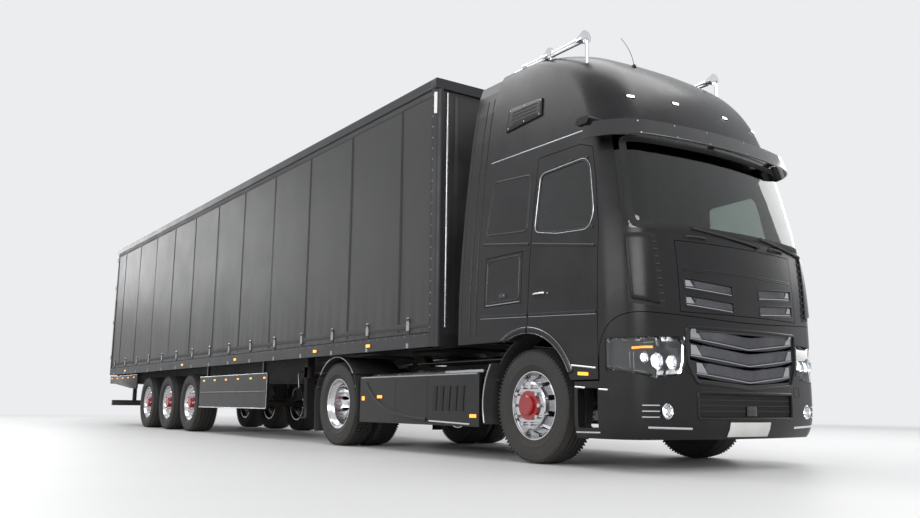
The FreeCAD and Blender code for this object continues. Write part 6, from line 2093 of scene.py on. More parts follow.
@dataclass
class Roof(Section):
    """Seam lip, air box dressing, aerial and marker lamps of the cab's roof."""

    seam_z: float = 2.865

    def build(self) -> None:
        """Make every piece of the roof."""
        self._seam()
        for side in Side:
            self._air_box(side)
            self._markers(side)
            self._fin_lines(side)
        self._aerial()

    def _seam(self) -> None:
        """Bright lip on the roof's lower edge, right round the cab."""
        skin = self.shop.skin
        z = self.seam_z + 0.012
        hits: list[Optional[Hit]] = [skin.side(x, z, 1) for x in np.arange(6.12, 7.86, 0.04)]
        hits += [skin.corner(90.0 - 8.0 * k, z, 1) for k in range(12)]
        hits += [skin.front(y, z) for y in np.arange(1.0, -1.001, -0.05)]
        hits += [skin.corner(2.0 + 8.0 * k, z, -1) for k in range(12)]
        hits += [skin.side(x, z, -1) for x in np.arange(7.86, 6.11, -0.04)]
        for n, (body, run) in enumerate(self.shop.runs(hits)):
            if len(run) > 3:
                self.shop.piece(f"roof_lip_{n}", Shape().band(run, round_section(0.012, 0.004)), SATIN, body)

    def _air_box(self, side: Side) -> None:
        """Louvres, with their slots painted as shade, and small studs on the air box.

        Args:
            side: Side that is dressed.
        """
        cast = self.shop.on_side(side)
        box = [(6.34, 3.15), (6.88, 3.19), (6.86, 3.372), (6.36, 3.392)]
        self.shop.patch("air_box_" + side.tag, box, PAINT, cast, lift=0.016, cells=(8, 4), bevel=0.006)
        for n in range(4):
            z = 3.215 + n * 0.036
            # Each louvre slot is a near-black sheet on the box: painted shade.
            corners = rect(6.42, z, 6.8, z + 0.018)
            self.shop.patch(f"air_box_slot_{side.tag}_{n}", corners, SEAM_PRINT_AND_SHADE, cast, lift=0.0168, cells=(4, 1))
        spots = [(6.38, 3.365), (6.6, 3.362), (6.84, 3.35), (6.38, 3.18), (6.62, 3.195), (6.84, 3.21)]
        hits = [(hit.point + hit.out * 0.016, hit.out) for hit in (cast(x, z) for x, z in spots) if hit]
        self.shop.fasteners("air_box_stud_" + side.tag, hits, screw_head(0.008, 0.004), SATIN, "cab")

    def _markers(self, side: Side) -> None:
        """Small white lamps on the roof's front corners.

        Args:
            side: Side that is dressed.
        """
        cast = self.shop.skin.front
        for n, (y, z) in enumerate(((0.8, 3.15), (0.3, 3.17))):
            corners = rect(side * y, z, side * (y + 0.075), z + 0.026)
            self.shop.patch(f"roof_marker_base_{side.tag}_{n}", corners, PLASTIC, cast, lift=0.006,
                            cells=(3, 2), bevel=0.002)
            inner = rect(side * (y + 0.006), z + 0.004, side * (y + 0.069), z + 0.022)
            self.shop.patch(
                f"roof_marker_{side.tag}_{n}", inner, LED_WHITE, cast, lift=0.012, cells=(3, 2), bevel=0.003)

    def _fin_lines(self, side: Side) -> None:
        """Stiffening lines on the side fin behind the cab.

        Args:
            side: Side that is dressed.
        """
        for n, x in enumerate((5.8, 5.95, 6.05)):
            self.shop.side_trim(
                f"fin_line_{n}", [(x, 1.16), (x, 3.6)], round_section(0.012, 0.004),
                RUBBER if n == 0 else PAINT, side, step=0.06)

    def _aerial(self) -> None:
        """Thin whip aerial that leans back from the roof's front."""
        hit = self.shop.skin.above(7.45, -0.45)
        foot = Shape().lathe(
            [(0.0, -0.004), (0.022, -0.004), (0.02, 0.012), (0.01, 0.026), (0.0, 0.028)], hit.point, "z", 20,
            loop=False)
        self.shop.piece("aerial_foot", foot, RUBBER, "cab")
        height = min(0.42, 3.97 - hit.point.z - 0.02)
        path = [
            hit.point + Vector((-0.1 * t * t - 0.06 * t, 0.0, 0.02 + height * t))
            for t in np.linspace(0, 1, 12)]
        self.shop.piece("aerial_whip", Shape().tube(path, 0.0028, 8), RUBBER, "cab")


@dataclass
class Cabin(Section):
    """Padded seats and bunk, with their bases and trim."""

    seat_y: float = 0.64
    width: float = 0.49
    floor_z: float = 1.3
    voxel: float = 0.009
    frames: int = 20
    cap: float = 0.018

    def build(self) -> None:
        """Replace the seat solids by bases and padded pieces."""
        self._bases()
        cushion = self._pad(
            [(6.85, 0.325), (7.265, 0.325), (7.285, 0.375), (7.27, 0.435), (7.2, 0.445), (6.84, 0.425)],
            0.215, "cushion")
        back = self._pad([
            (6.835, 0.405), (6.925, 0.405), (6.925, 0.5), (6.865, 0.86), (6.815, 0.945), (6.755, 0.945),
            (6.765, 0.7)], 0.205, "back")
        head = self._pad(
            [(6.735, 0.985), (6.8, 0.985), (6.8, 1.06), (6.785, 1.135), (6.735, 1.135)], 0.125, "headrest")
        for name, pad, finish in (
                ("cushion", cushion, SEAT_CLOTH), ("back", back, SEAT_CLOTH),
                ("headrest", head, SEAT_LEATHER)):
            for side in Side:
                points = [Vector((p.x, p.y + side * self.seat_y, p.z)) for p in pad.points]
                made = self.shop.piece(
                    f"seat_{name}_{side.tag}", Shape(points, list(pad.faces)), finish, "cab", smooth=60.0,
                    stands_for="seats")
        self._bunk()
        self._stitches()

    def _bases(self) -> None:
        """Seat boxes, bolsters' frames, headrest rods and the bunk's box."""
        for side in Side:
            y = side * self.seat_y
            base = Shape().prism([
                (6.87, self.floor_z), (7.21, self.floor_z), (7.18, 1.46), (7.24, 1.6), (6.86, 1.6),
                (6.89, 1.46)], "y", y - 0.17, y + 0.17)
            frame = Shape().prism(
                [(6.8, 1.66), (6.835, 1.66), (6.745, 2.22), (6.715, 2.22)], "y", y - 0.19, y + 0.19)
            for name, shape in (("base", base), ("back_shell", frame)):
                self.shop.piece(
                    f"seat_{name}_{side.tag}", shape, INTERIOR, "cab", bevel=0.012, stands_for="seats")
            rods = Shape()
            for shift in (-0.05, 0.05):
                rods.tube([Vector((6.755, y + shift, 2.2)), Vector((6.765, y + shift, 2.32))], 0.007, 10)
            self.shop.piece("seat_rods_" + side.tag, rods, CHROME, "cab", stands_for="seats")
        box = Shape().block((6.187, -0.955, self.floor_z), (6.58, 0.955, 1.665))
        self.shop.piece("bunk_box", box, INTERIOR, "cab", bevel=0.01, stands_for="seats")
        lids = Shape()
        for y in (-0.62, 0.0, 0.62):
            lids.block((6.576, y - 0.27, 1.36), (6.584, y + 0.27, 1.62))
        self.shop.piece("bunk_lids", lids, PLASTIC, "cab", bevel=0.003, stands_for="seats")

    def _pad(self, outline: Sequence[Point2], half: float, name: str) -> Shape:
        """Inflate a cushion from its side outline.

        Args:
            outline: Side outline as (x, height over the floor).
            half: Half of its width before it swells.
            name: Name of the pad.

        Returns:
            The padded shape about the seat's middle.
        """
        side = rounded([(x, self.floor_z + z) for x, z in outline], 0.02, 3)
        middle = Vector((sum(p[0] for p in side) / len(side), sum(p[1] for p in side) / len(side)))
        rings = []
        for t in (-1.0, -0.94, -0.8, -0.5, -0.17, 0.17, 0.5, 0.8, 0.94, 1.0):
            shrink = 1.0 - 0.22 * max(0.0, abs(t) - 0.75) / 0.25
            rings.append([Vector((middle.x + (x - middle.x) * shrink, half * t,
                                  middle.y + (z - middle.y) * shrink)) for x, z in side])
        piece = self.shop.rough_piece("pad_" + name, Shape().rings(rings))
        self._inflate(piece)
        shape = Shape(
            [v.co.copy() for v in piece.data.vertices], [tuple(p.vertices) for p in piece.data.polygons])
        bpy.data.objects.remove(piece)
        return shape

    def _inflate(self, piece: Object, voxel: Optional[float] = None) -> None:
        """Blow a closed form up a little by cloth simulation, and keep the result.

        Args:
            piece: The closed form.
            voxel: Size of its faces, or None for the usual one.
        """
        remesh = piece.modifiers.new("even", "REMESH")
        remesh.mode = "VOXEL"
        remesh.voxel_size = (voxel or self.voxel) * 1.0
        flatten(piece)
        rest = np.empty(len(piece.data.vertices) * 3)
        piece.data.vertices.foreach_get("co", rest)
        rest = rest.reshape(-1, 3)
        cloth = piece.modifiers.new("swell", "CLOTH")
        cloth.settings.use_pressure = True
        cloth.settings.uniform_pressure_force = 4.0
        cloth.settings.quality = 4
        cloth.settings.effector_weights.gravity = 0.0
        cloth.point_cache.frame_start = 1
        cloth.point_cache.frame_end = self.frames
        scene = bpy.context.scene
        for frame in range(1, self.frames + 1):
            scene.frame_set(frame)
        flatten(piece)
        scene.frame_set(1)
        moved = np.empty(len(piece.data.vertices) * 3)
        piece.data.vertices.foreach_get("co", moved)
        step = moved.reshape(-1, 3) - rest
        length = np.linalg.norm(step, axis=1, keepdims=True)
        share = np.minimum(1.0, self.cap / np.maximum(length, 1e-9))
        piece.data.vertices.foreach_set("co", (rest + step * share).ravel())

    def _bunk(self) -> None:
        """Mattress along the back wall, with a folded edge."""
        rings = []
        for t in (-1.0, -0.985, -0.95, -0.6, -0.2, 0.2, 0.6, 0.95, 0.985, 1.0):
            shrink = 1.0 - 0.25 * max(0.0, abs(t) - 0.95) / 0.05
            middle = (6.385, 1.722)
            outline = rounded(rect(6.205, 1.672, 6.565, 1.765), 0.025, 3)
            rings.append([Vector((middle[0] + (x - middle[0]) * shrink, 0.935 * t,
                                  middle[1] + (z - middle[1]) * shrink)) for x, z in outline])
        piece = self.shop.rough_piece("bunk_mattress", Shape().rings(rings))
        self._inflate(piece, 0.014)
        low, high = (6.188, 1.667), (6.582, 1.779)
        for vertex in piece.data.vertices:
            vertex.co.x = min(max(vertex.co.x, low[0]), high[0])
            vertex.co.z = min(max(vertex.co.z, low[1]), high[1])
            vertex.co.y = min(max(vertex.co.y, -0.958), 0.958)
        piece.data.polygons.foreach_set("use_smooth", [True] * len(piece.data.polygons))
        self.shop.dress(piece, SEAT_CLOTH, "cab", "seats")

    def _stitches(self) -> None:
        """Rows of stitches over the seat backs."""
        for side in Side:
            back = bpy.data.objects["seat_back_" + side.tag]
            tree = BVHTree.FromPolygons(
                [v.co for v in back.data.vertices], [tuple(p.vertices) for p in back.data.polygons])
            hits, alongs = [], []
            for shift in (-0.11, 0.11):
                for z in np.arange(1.8, 2.18, 0.012):
                    point, normal, _, _ = tree.ray_cast(
                        Vector((7.2, side * self.seat_y + shift, z)), Vector((-1.0, 0.0, 0.0)))
                    if point is not None:
                        hits.append((point, normal if normal.x > 0 else -normal))
                        alongs.append((0.0, 0.0, 1.0))
            stitch = Shape().block((-0.004, -0.0011, -0.0005), (0.004, 0.0011, 0.001))
            made = self.shop.fasteners("seat_stitches_" + side.tag, hits, stitch, REFLECTOR, "cab", alongs)
            if made:
                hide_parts("seats")


@dataclass
class TractorChassis(Section):
    """Skirt dressing, lamps, guard edges, tank straps and rail bolts of the tractor."""

    def build(self) -> None:
        """Make every piece between and behind the tractor's wheels."""
        for side in Side:
            for step in (self._skirt, self._guards, self._tanks, self._rail_bolts):
                step(side)
        self._coupling()

    def _skirt(self, side: Side) -> None:
        """Swoosh, vents painted as shade, seams, strip and lamps of a skirt.

        Args:
            side: Side that is dressed.
        """
        cast = self.shop.on_side(side)
        curve = []
        for k in range(25):
            t = k / 24
            a, b, c = Vector((3.9, 0.745)), Vector((4.22, 0.36)), Vector((5.18, 0.352))
            spot = a * (1 - t) ** 2 + b * 2 * t * (1 - t) + c * t ** 2
            curve.append((spot.x, spot.y))
        self.shop.side_trim("skirt_swoosh", curve, round_section(0.045, 0.012), PAINT, side)
        self.shop.side_trim(
            "skirt_strip", [(5.24, 0.34), (5.96, 0.322)], round_section(0.016, 0.006), CHROME, side)
        self.shop.side_trim(
            "skirt_top_bead", [(3.79, 0.803), (6.08, 0.803)], round_section(0.014, 0.005), SATIN, side,
            step=0.05)
        for n, x in enumerate((4.55, 5.2)):
            self.shop.side_trim(
                f"skirt_seam_{n}", [(x, 0.31), (x, 0.8)], flat_section(0.007, 0.0012), SEAM_PRINT_AND_SHADE, side,
                step=0.04)
        for n in range(5):
            x = 5.3 + n * 0.12
            # Each vent is a near-black sheet: painted shade in the slot.
            corners = [(x, 0.445), (x + 0.06, 0.445), (x + 0.08, 0.69), (x + 0.02, 0.69)]
            self.shop.patch(f"skirt_vent_{side.tag}_{n}", corners, SEAM_PRINT_AND_SHADE, cast, lift=0.001, cells=(2, 6))
            lip = [(x + 0.062, 0.445), (x + 0.084, 0.692)]
            self.shop.side_trim(f"skirt_vent_lip_{n}", lip, round_section(0.012, 0.009), PAINT, side)
        for n, (x, z) in enumerate(((4.22, 0.585), (6.02, 0.4))):
            base = rect(x - 0.062, z - 0.024, x + 0.062, z + 0.024)
            self.shop.patch(
                f"skirt_lamp_base_{side.tag}_{n}", base, PLASTIC, cast, lift=0.005, cells=(3, 2), bevel=0.002)
            lens = rect(x - 0.052, z - 0.016, x + 0.052, z + 0.016)
            self.shop.patch(
                f"skirt_lamp_{side.tag}_{n}", lens, AMBER, cast, lift=0.012, cells=(3, 2), bevel=0.003)
        reflector = rect(3.8, 0.545, 3.86, 0.59)
        self.shop.patch(
            "skirt_reflector_" + side.tag, reflector, AMBER, cast, lift=0.006, cells=(2, 2), bevel=0.002)

    def _guards(self, side: Side) -> None:
        """Thin bead on the outer edge of each mudguard, silver as a painted highlight on two arcs, and edge
        rolls on the flaps.

        Args:
            side: Side that is dressed.
        """
        layout = self.shop.layout
        y = side * 1.236
        for n, (x, radius, start, end) in enumerate((
                (layout.axle_x, 0.644, 144.0, 195.0), (layout.drive_x, 0.569, -13.0, 35.0),
                (layout.drive_x, 0.569, 39.0, 141.0), (layout.drive_x, 0.569, 145.0, 191.0))):
            arc = arc_points(x, layout.tractor_tyre_r, radius, start, end, 30)
            path = [Vector((px, y, pz)) for px, pz in arc]
            # The silver beads on two arcs are painted highlights on the guards' edges; the other arcs get
            # black rubber beads.
            finish = SATIN if n in (0, 2) else RUBBER
            self.shop.piece(f"guard_bead_{side.tag}_{n}", Shape().tube(path, 0.007, 8), finish, "chassis")
        ribs = Shape()
        for k in range(5):
            ribs.block((2.53, side * (0.62 + k * 0.14), 0.2), (2.5385, side * (0.66 + k * 0.14), 0.37))
        self.shop.piece("mud_flap_ribs_" + side.tag, ribs, RUBBER, "chassis", bevel=0.002)

    def _tanks(self, side: Side) -> None:
        """Straps and caps of the tanks behind the skirts.

        Args:
            side: Side that is dressed.
        """
        for n, x in enumerate((3.98, 4.45, 4.95)):
            outline = rounded(rect(side * 0.431, 0.345, side * 1.135, 0.855), 0.062)
            inner = rounded(rect(side * 0.436, 0.351, side * 1.129, 0.849), 0.058)
            rings = []
            for a, b in zip(outline, inner):
                rings.append([Vector((x - 0.022, *a)), Vector((x + 0.022, *a)), Vector((x + 0.022, *b)),
                              Vector((x - 0.022, *b))])
            self.shop.piece(f"tank_strap_{side.tag}_{n}", Shape().rings(rings, closed=True), STEEL, "chassis")
        cap = Shape().lathe(
            [(0.0, -0.01), (0.045, -0.01), (0.052, 0.006), (0.046, 0.022), (0.0, 0.024)],
            (4.7, side * 0.98, 0.85), "z", 28, loop=False)
        self.shop.piece("tank_cap_" + side.tag, cap, PLASTIC, "chassis")

    def _rail_bolts(self, side: Side) -> None:
        """Bolt heads along the frame rails.

        Args:
            side: Side that is dressed.
        """
        rails = Skin(self.shop.frame, ["frame"])
        hits = []
        for x in np.arange(2.42, 7.7, 0.22):
            for z in (0.74, 0.9):
                hit = rails.side(float(x), z, side)
                if hit and abs(abs(hit.point.y) - 0.43) < 0.004:
                    hits.append((hit.point, hit.out))
        self.shop.fasteners("rail_bolts_" + side.tag, hits, bolt_head(0.013, 0.011), STEEL, "chassis")

    def _coupling(self) -> None:
        """Bolts on the coupling plate."""
        plate = Skin(self.shop.frame, ["fifth_wheel"])
        hits = []
        for y in (-0.36, -0.3, 0.3, 0.36):
            for x in (3.66, 3.84):
                hit = plate.above(x, y)
                if hit and hit.out.z > 0.9:
                    hits.append((hit.point - hit.out * 0.004, hit.out))
        self.shop.fasteners("coupling_bolts", hits, screw_head(0.014, 0.004), STEEL, "chassis")


@dataclass
class Trailer(Section):
    """Curtains with their straps, lamps, rivets, fairings, door gear and roof edge of the trailer."""

    front_x: float = 5.26
    rear_x: float = -8.09
    deck_z: float = 1.25
    top_z: float = 3.8897
    fairing_y: float = 1.262
    weld_count: int = 11
    weld_pitch: float = 1.21
    rivet_count: int = 66
    rivet_pitch: float = 0.2
    bow_count: int = 22
    bow_pitch: float = 0.6
    board_count: int = 11
    board_pitch: float = 1.22
    strap_pitch: float = 0.905
    strap_count: int = 15

    def build(self) -> None:
        """Make every piece of the trailer."""
        for side in Side:
            for step in (
                    self._curtain, self._straps, self._rave, self._front_post, self._fairing, self._door_gear,
                    self._rear_lamps, self._axle_gear):
                step(side)
        self._deck()
        self._roof_bows()
        self._headboard()
        self._blank_plate()
        self._legs()

    def _curtain(self, side: Side) -> None:
        """One side curtain: taut cloth with soft upright folds, held at the rail and by its straps.

        Args:
            side: Side that is dressed.
        """
        count, rows = 420, 26
        outer, inner = [], []
        xs = np.linspace(self.rear_x + 0.004, self.front_x - 0.003, count + 1)
        for row in range(rows + 1):
            t = row / rows
            z = self.deck_z + 0.0005 + (self.top_z - self.deck_z - 0.001) * t
            calm = math.sin(math.pi * min(1.0, t * 1.04 + 0.02)) ** 0.5
            ring_out, ring_in = [], []
            for x in xs:
                phase = (x - self.front_x) * 2.0 * math.pi / self.strap_pitch
                pull = 0.5 + 0.5 * math.cos(phase)
                low_third = max(0.0, 1.0 - t * 3.2)
                fold = 0.003 * (pull - 0.4) * (1.0 - t) ** 4
                soft = 0.0009 * low_third * math.sin(phase * 4.0 + 2.0 * math.sin(x * 1.3))
                long_fold = 0.0022 * calm * math.sin(x * 0.9 + t * 1.1 + 0.5 * math.sin(x * 0.4))
                y = 1.2636 + fold + soft + long_fold
                ring_out.append(Vector((x, side * y, z)))
                ring_in.append(Vector((x, side * (y - 0.0022), z)))
            outer.append(ring_out)
            inner.append(ring_in)
        shape = Shape().rings([a + b[::-1] for a, b in zip(outer, inner)])
        cloth = self.shop.piece(
            "curtain_" + side.tag, shape, CURTAIN, "trailer", smooth=60.0, stands_for="curtains")
        weld = Shape()
        z_steps = np.linspace(self.deck_z + 0.03, self.top_z - 0.03, 40)
        for shift in (0.0, 0.028):
            line = side_run(side, 1.2668, [(self.front_x - 0.62 - shift, z) for z in z_steps])
            weld.band(line, flat_section(0.005, 0.001))
        self.shop.row(
            "curtain_weld_" + side.tag, weld, CURTAIN_SEAM, "trailer", self.weld_count,
            (-self.weld_pitch, 0.0, 0.0))
        for n, z in enumerate((1.335, 3.84)):
            hem = side_run(
                side, 1.266, [(x, z) for x in np.linspace(self.rear_x + 0.01, self.front_x - 0.01, 120)])
            self.shop.piece(
                f"curtain_hem_{side.tag}_{n}", Shape().band(hem, flat_section(0.055, 0.0012)), WEBBING,
                "trailer")

    def _straps(self, side: Side) -> None:
        """Straps, buckles with levers, and rave hooks under each curtain.

        Args:
            side: Side that is dressed.
        """
        first = self.front_x - 0.42
        y = side * 1.269
        strap = Shape().block(
            (first - 0.023, y - side * 0.0015, 1.11), (first + 0.023, y + side * 0.0012, 1.42))
        outline = [
            (first - 0.032, 1.285), (first + 0.032, 1.285), (first + 0.032, 1.37), (first + 0.018, 1.392),
            (first - 0.018, 1.392), (first - 0.032, 1.37)]
        buckle = Shape().prism(outline, "y", y + side * 0.0008, y + side * 0.0048)
        lever = Shape().block(
            (first - 0.02, y + side * 0.0042, 1.296), (first + 0.02, y + side * 0.0058, 1.35))
        roller = Shape().lathe(
            rect(0.0, -0.03, 0.0052, 0.03), (first, side * 1.2695, 1.424), "x", 14, loop=False)
        hook = Shape().prism(
            [(first - 0.026, 1.098), (first + 0.026, 1.098), (first + 0.022, 1.15), (first - 0.022, 1.15)],
            "y", side * 1.2745, side * 1.2765)
        for name, shape, finish in (
                ("strap", strap, WEBBING), ("buckle", buckle, STEEL), ("lever", lever, SATIN),
                ("roller", roller, CHROME), ("hook", hook, STEEL)):
            self.shop.row(f"curtain_{name}_{side.tag}", shape, finish, "trailer", self.strap_count,
                          (-self.strap_pitch, 0.0, 0.0))

    def _rave(self, side: Side) -> None:
        """Marker lamps and rivets on the side rave.

        Args:
            side: Side that is dressed.
        """
        for n, x in enumerate((-6.83, -2.89, -0.27, 2.57, 3.98)):
            base = Shape().block((x - 0.055, side * 1.2745, 1.14), (x + 0.055, side * 1.279, 1.188))
            lens = Shape().block((x - 0.046, side * 1.278, 1.147), (x + 0.046, side * 1.284, 1.181))
            self.shop.piece(f"rave_lamp_base_{side.tag}_{n}", base, PLASTIC, "trailer", bevel=0.0015)
            self.shop.piece(f"rave_lamp_{side.tag}_{n}", lens, AMBER, "trailer", bevel=0.002)
        rivet = screw_head(0.006, 0.0025).turned_about(Vector((0.0, 0.0, 0.0)), "x", -90.0 * side)
        start = Vector((self.front_x - 0.08, side * 1.2749, 1.222))
        rivet.points = [point + start for point in rivet.points]
        self.shop.row(
            "rave_rivets_" + side.tag, rivet, STEEL, "trailer", self.rivet_count,
            (-self.rivet_pitch, 0.0, 0.0))

    def _front_post(self, side: Side) -> None:
        """Rivets, reflective strip, corner casting and bright tube of the front corner post.

        Args:
            side: Side that is dressed.
        """
        post = Skin(self.shop.frame, ["trailer_posts"])
        hits = kept(post.side(5.28, float(z), side) for z in np.arange(1.3, 3.86, 0.12))
        self.shop.fasteners("post_rivets_" + side.tag, hits, screw_head(0.006, 0.0025), STEEL, "trailer")
        corners = rect(5.292, 3.61, 5.322, 3.85)
        self.shop.patch(
            "post_reflector_" + side.tag, corners, REFLECTOR, lambda x, z: post.side(x, z, side), lift=0.0008,
            cells=(3, 4))
        roof = Skin(self.shop.frame, ["trailer_roof"])
        cap_corners = rect(5.245, 3.898, 5.343, 3.99)
        self.shop.patch("corner_cap_" + side.tag, cap_corners, PLASTIC,
                        lambda x, z: roof.side(x, z, side), lift=0.004, cells=(3, 3), bevel=0.0015)
        tube = [Vector((5.33, side * 1.12, z)) for z in np.linspace(1.3, 3.86, 20)]
        self.shop.piece("headboard_tube_" + side.tag, Shape().tube(tube, 0.012, 12), SATIN, "trailer")

    def _deck(self) -> None:
        """Plywood deck boards between dark side raves, in place of the plain floor."""
        merged = merged_copy(self.shop.frame["nodes"]["trailer_floor"])
        deck, rave = [], []
        for face in merged.faces:
            (deck if abs(face.calc_center_median().y) < 1.2 else rave).append(face)
        for name, faces, finish in (("deck_boards", deck, PLYWOOD), ("side_raves", rave, RAIL_GREY)):
            self.shop.dress(copy_faces(name, faces, 30.0), finish, "trailer", "trailer_floor")
        merged.free()
        seam = Shape().block((5.0, -1.2, 1.2495), (5.006, 1.2, 1.2506))
        self.shop.row("deck_seams", seam, SEAM_PRINT_AND_SHADE, "trailer", self.board_count, (-self.board_pitch, 0.0, 0.0))

    def _roof_bows(self) -> None:
        """Cross bows that show under the roof sheet, and the rails' edge beads."""
        rings = []
        for x, z in ((5.02, 3.9998), (4.995, 4.0022), (4.97, 3.9998)):
            rings.append([Vector((x, y, z)) for y in np.linspace(-1.2, 1.2, 13)] +
                         [Vector((x, y, 3.9965)) for y in np.linspace(1.2, -1.2, 13)])
        bow = Shape().rings(rings)
        self.shop.row("roof_bows", bow, CHASSIS, "trailer", self.bow_count, (-self.bow_pitch, 0.0, 0.0))
        for side in Side:
            bead = side_run(side, 1.275, [(x, 3.905) for x in np.linspace(-8.2, 5.33, 60)])
            self.shop.piece("roof_rail_bead_" + side.tag, Shape().band(bead, round_section(0.012, 0.004)),
                            RAIL_GREY, "trailer")

    def _headboard(self) -> None:
        """Ribs on the headboard's front face, with the service panel low down."""
        rib = Shape().block((5.317, -1.02, 1.3), (5.326, -0.98, 3.84))
        self.shop.row("headboard_ribs", rib, CHASSIS, "trailer", 6, (0.0, 0.4, 0.0), bevel=0.003)
        plate = Shape().block((5.318, -0.36, 1.36), (5.332, 0.36, 1.62))
        self.shop.piece("service_panel", plate, RAIL_GREY, "trailer", bevel=0.004)
        for n, y in enumerate((-0.24, -0.08, 0.08, 0.24)):
            coupler = Shape().lathe(
                [(0.0, 0.0), (0.03, 0.0), (0.03, 0.012), (0.022, 0.02), (0.022, 0.03), (0.0, 0.032)],
                (5.315, y, 1.49), "x", 24, loop=False)
            self.shop.piece(f"service_coupler_{n}", coupler, HUB_RED if n == 0 else PLASTIC, "trailer")

    def _fairing(self, side: Side) -> None:
        """Bright edges, lamps and bolts of the side fairings.

        Args:
            side: Side that is dressed.
        """
        y = side * self.fairing_y
        wedge = [(-5.9, 1.066), (-5.9, 0.78), (-6.32, 0.78), (-8.14, 0.93), (-8.14, 1.066)]
        panel = Shape().prism(wedge, "y", y - side * 0.03, y)
        self.shop.piece("rear_fairing_" + side.tag, panel, PAINT, "trailer", bevel=0.004)
        struts = Shape()
        for x in (-6.44, -7.64):
            struts.block((x - 0.025, y - side * 0.07, 0.96), (x + 0.025, y - side * 0.029, 1.152))
        self.shop.piece("rear_fairing_struts_" + side.tag, struts, CHASSIS, "trailer", bevel=0.002)
        for name, a, b in (
                ("top", (0.995, 0.924), (-1.895, 0.924)), ("low", (0.995, 0.426), (-1.895, 0.426)),
                ("front", (0.994, 0.424), (0.994, 0.926)), ("tail", (-5.905, 1.058), (-8.135, 1.058))):
            line = [(a[0] + (b[0] - a[0]) * t, a[1] + (b[1] - a[1]) * t) for t in np.linspace(0.0, 1.0, 30)]
            edge = Shape().band(side_run(side, self.fairing_y, line), round_section(0.012, 0.005))
            self.shop.piece(f"fairing_{name}_{side.tag}", edge, SATIN, "trailer")
        places = [(-1.7 + k * 0.52, 0.862) for k in range(6)] + [(-7.98 + k * 0.46, 1.01) for k in range(5)]
        for n, (x, z) in enumerate(places):
            lens = Shape().block(
                (x - 0.035, y - side * 0.002, z - 0.012), (x + 0.035, y + side * 0.006, z + 0.012))
            self.shop.piece(f"fairing_lamp_{side.tag}_{n}", lens, AMBER, "trailer", bevel=0.003)
        places = [(x, z) for x in np.arange(-1.8, 0.95, 0.3) for z in (0.47, 0.9)]
        hits = side_run(side, self.fairing_y, places)
        self.shop.fasteners("fairing_bolts_" + side.tag, hits, bolt_head(0.009, 0.006), STEEL, "trailer")
        crease = side_run(side, self.fairing_y, [(x, 0.66) for x in np.linspace(-1.85, 0.95, 30)])
        self.shop.piece(
            "fairing_crease_" + side.tag, Shape().band(crease, round_section(0.03, 0.006)), PAINT, "trailer")

    def _door_gear(self, side: Side) -> None:
        """Seal, handles and cam keepers of one rear door.

        Args:
            side: Side that is dressed.
        """
        body = "trailer_door_" + side.tag
        low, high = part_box(body)
        x = -8.2325
        for n, y in enumerate((0.093, 0.423)):
            handle = Shape().tube([
                Vector((x - 0.006, side * y, 1.62)), Vector((x - 0.008, side * (y + 0.06), 1.612)),
                Vector((x - 0.008, side * (y + 0.26), 1.6))], 0.008, 10)
            self.shop.piece(f"door_handle_{side.tag}_{n}", handle, STEEL, body)
            catch = Shape().block(
                (x + 0.001, side * (y + 0.215), 1.575), (x - 0.004, side * (y + 0.275), 1.635))
            self.shop.piece(f"door_catch_{side.tag}_{n}", catch, STEEL, body, bevel=0.002)
        seal = rounded(rect(side * 0.012, low.z + 0.012, side * 1.24, high.z - 0.012), 0.02)
        run = [(Vector((x, y, z)), Vector((-1.0, 0.0, 0.0))) for y, z in spread(seal, 0.05, closed=True)]
        keep = [point for point in run if not any(abs(point[0].z - z) < 0.09 for z in (1.5, 2.3, 3.1, 3.75))
                or abs(point[0].y) < 1.2]
        parts: list[Run] = [[]]
        for point in keep:
            if parts[-1] and (point[0] - parts[-1][-1][0]).length > 0.12:
                parts.append([])
            parts[-1].append(point)
        for n, part in enumerate(parts):
            if len(part) > 2:
                self.shop.piece(
                    f"door_seal_{side.tag}_{n}", Shape().band(part, round_section(0.016, 0.003)), RUBBER,
                    body)

    def _rear_lamps(self, side: Side) -> None:
        """Rear lamp cluster on the lamp board, with its markers.

        Args:
            side: Side that is dressed.
        """
        for n, (y0, y1, finish) in enumerate((
                (1.1, 1.21, AMBER), (0.97, 1.08, RED_LENS), (0.84, 0.95, RED_LENS), (0.71, 0.82, REFLECTOR))):
            base = Shape().block((-8.219, side * y0, 0.935), (-8.226, side * y1, 1.045))
            lens = Shape().block((-8.224, side * (y0 + 0.006), 0.941), (-8.234, side * (y1 - 0.006), 1.039))
            self.shop.piece(f"rear_lamp_base_{side.tag}_{n}", base, PLASTIC, "trailer", bevel=0.002)
            self.shop.piece(f"rear_lamp_{side.tag}_{n}", lens, finish, "trailer", bevel=0.004)
        marker = Shape().block((-8.181, side * 1.19, 3.915), (-8.187, side * 1.25, 3.935))
        self.shop.piece("top_marker_" + side.tag, marker, RED_LENS, "trailer", bevel=0.002)

    def _blank_plate(self) -> None:
        """Blank rear plate on the lamp board."""
        frame = Shape().block((-8.219, -0.275, 0.93), (-8.224, 0.275, 1.05))
        plate = Shape().block((-8.222, -0.262, 0.942), (-8.228, 0.262, 1.038))
        self.shop.piece("rear_plate_frame", frame, PLASTIC, "trailer", bevel=0.002)
        self.shop.piece("rear_blank_plate", plate, BLANK_PLATE, "trailer", bevel=0.002)

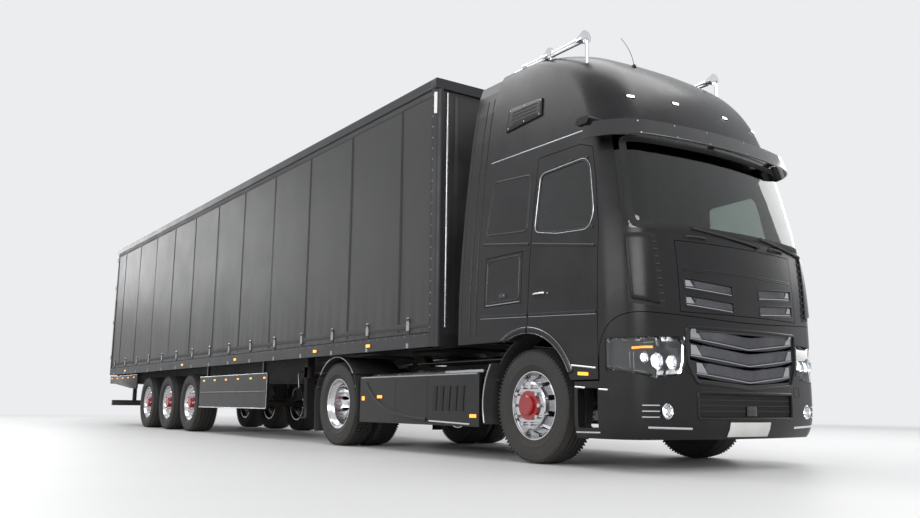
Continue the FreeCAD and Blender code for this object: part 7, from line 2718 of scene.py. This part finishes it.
    def _legs(self) -> None:
        """Crank, gearboxes and cross shaft of the landing legs."""
        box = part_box("landing_legs")
        x = (box[0].x + box[1].x) / 2
        for side in Side:
            gear = Shape().block((x - 0.07, side * 0.775, 0.86), (x + 0.07, side * 0.83, 1.02))
            self.shop.piece("leg_gearbox_" + side.tag, gear, CAST, "trailer", bevel=0.008)
        shaft = Shape().tube([Vector((x, y, 0.94)) for y in (-0.78, -0.4, 0.0, 0.4, 0.78)], 0.014, 12)
        self.shop.piece("leg_cross_shaft", shaft, STEEL, "trailer")
        crank = Shape().tube([
            Vector((x, -0.82, 0.94)), Vector((x, -0.93, 0.94)), Vector((x + 0.01, -0.95, 0.9)),
            Vector((x + 0.05, -0.95, 0.72)), Vector((x + 0.05, -1.02, 0.7))], 0.01, 10)
        self.shop.piece("leg_crank", crank, STEEL, "trailer")

    def _axle_gear(self, side: Side) -> None:
        """Bolts on the suspension hangers.

        Args:
            side: Side that is dressed.
        """
        hangers = Skin(self.shop.frame, ["trailer_axles", "trailer_beams"])
        hits = []
        for axle_x in self.shop.layout.trailer_xs:
            for shift in (0.44, 0.52):
                for z in (0.74, 0.7):
                    hit = hangers.side(axle_x + shift, z, side)
                    if hit and abs(hit.out.y) > 0.9:
                        hits.append((hit.point, hit.out))
        self.shop.fasteners("hanger_bolts_" + side.tag, hits, bolt_head(0.014, 0.012), STEEL, "trailer")


def grown(outline: Sequence[Point2], amount: float) -> list[Point2]:
    """Push an outline's points away from its middle."""
    middle = Vector((sum(p[0] for p in outline) / len(outline), sum(p[1] for p in outline) / len(outline)))
    return [tuple(Vector(p) + (Vector(p) - middle).normalized() * amount) for p in outline]


def side_run(side: Side, y: float, places: Iterable[Point2]) -> Run:
    """Points (x, z) on a flat side at y, with the direction that leads out of it."""
    return [(Vector((x, side * y, z)), Vector((0.0, side, 0.0))) for x, z in places]


def copy_faces(name: str, faces: list, smooth: float) -> Object:
    """Make an object out of chosen faces.

    Args:
        name: Name of the new object.
        faces: Faces of a merged copy of a node.
        smooth: Angle in degrees under which an edge is shaded smooth.

    Returns:
        The object.
    """
    index: dict[int, int] = {}
    points, rings = [], []
    for face in faces:
        ring = []
        for vert in face.verts:
            if vert.index not in index:
                index[vert.index] = len(points)
                points.append(vert.co.copy())
            ring.append(index[vert.index])
        rings.append(tuple(ring))
    mesh = bpy.data.meshes.new(name)
    mesh.from_pydata(points, [], rings)
    mesh.polygons.foreach_set("use_smooth", [True] * len(mesh.polygons))
    mesh.set_sharp_from_angle(angle=math.radians(smooth))
    return new_object(name, mesh)


def build_all(shop: Workshop) -> None:
    """Make every sub-assembly in order.

    Args:
        shop: What all sections use.
    """
    dress_frame(shop)
    Studio().build()
    for section in (Wheels, CabFront, Lamps, CabSide, Roof, Cabin, TractorChassis, Trailer):
        section(shop).build()


def main() -> None:
    """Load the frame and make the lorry's looks."""
    logging.basicConfig(level=logging.INFO, format="%(name)s: %(message)s")
    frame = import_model()
    shop = Workshop(frame)
    build_all(shop)


if __name__ == "__main__":
    main()
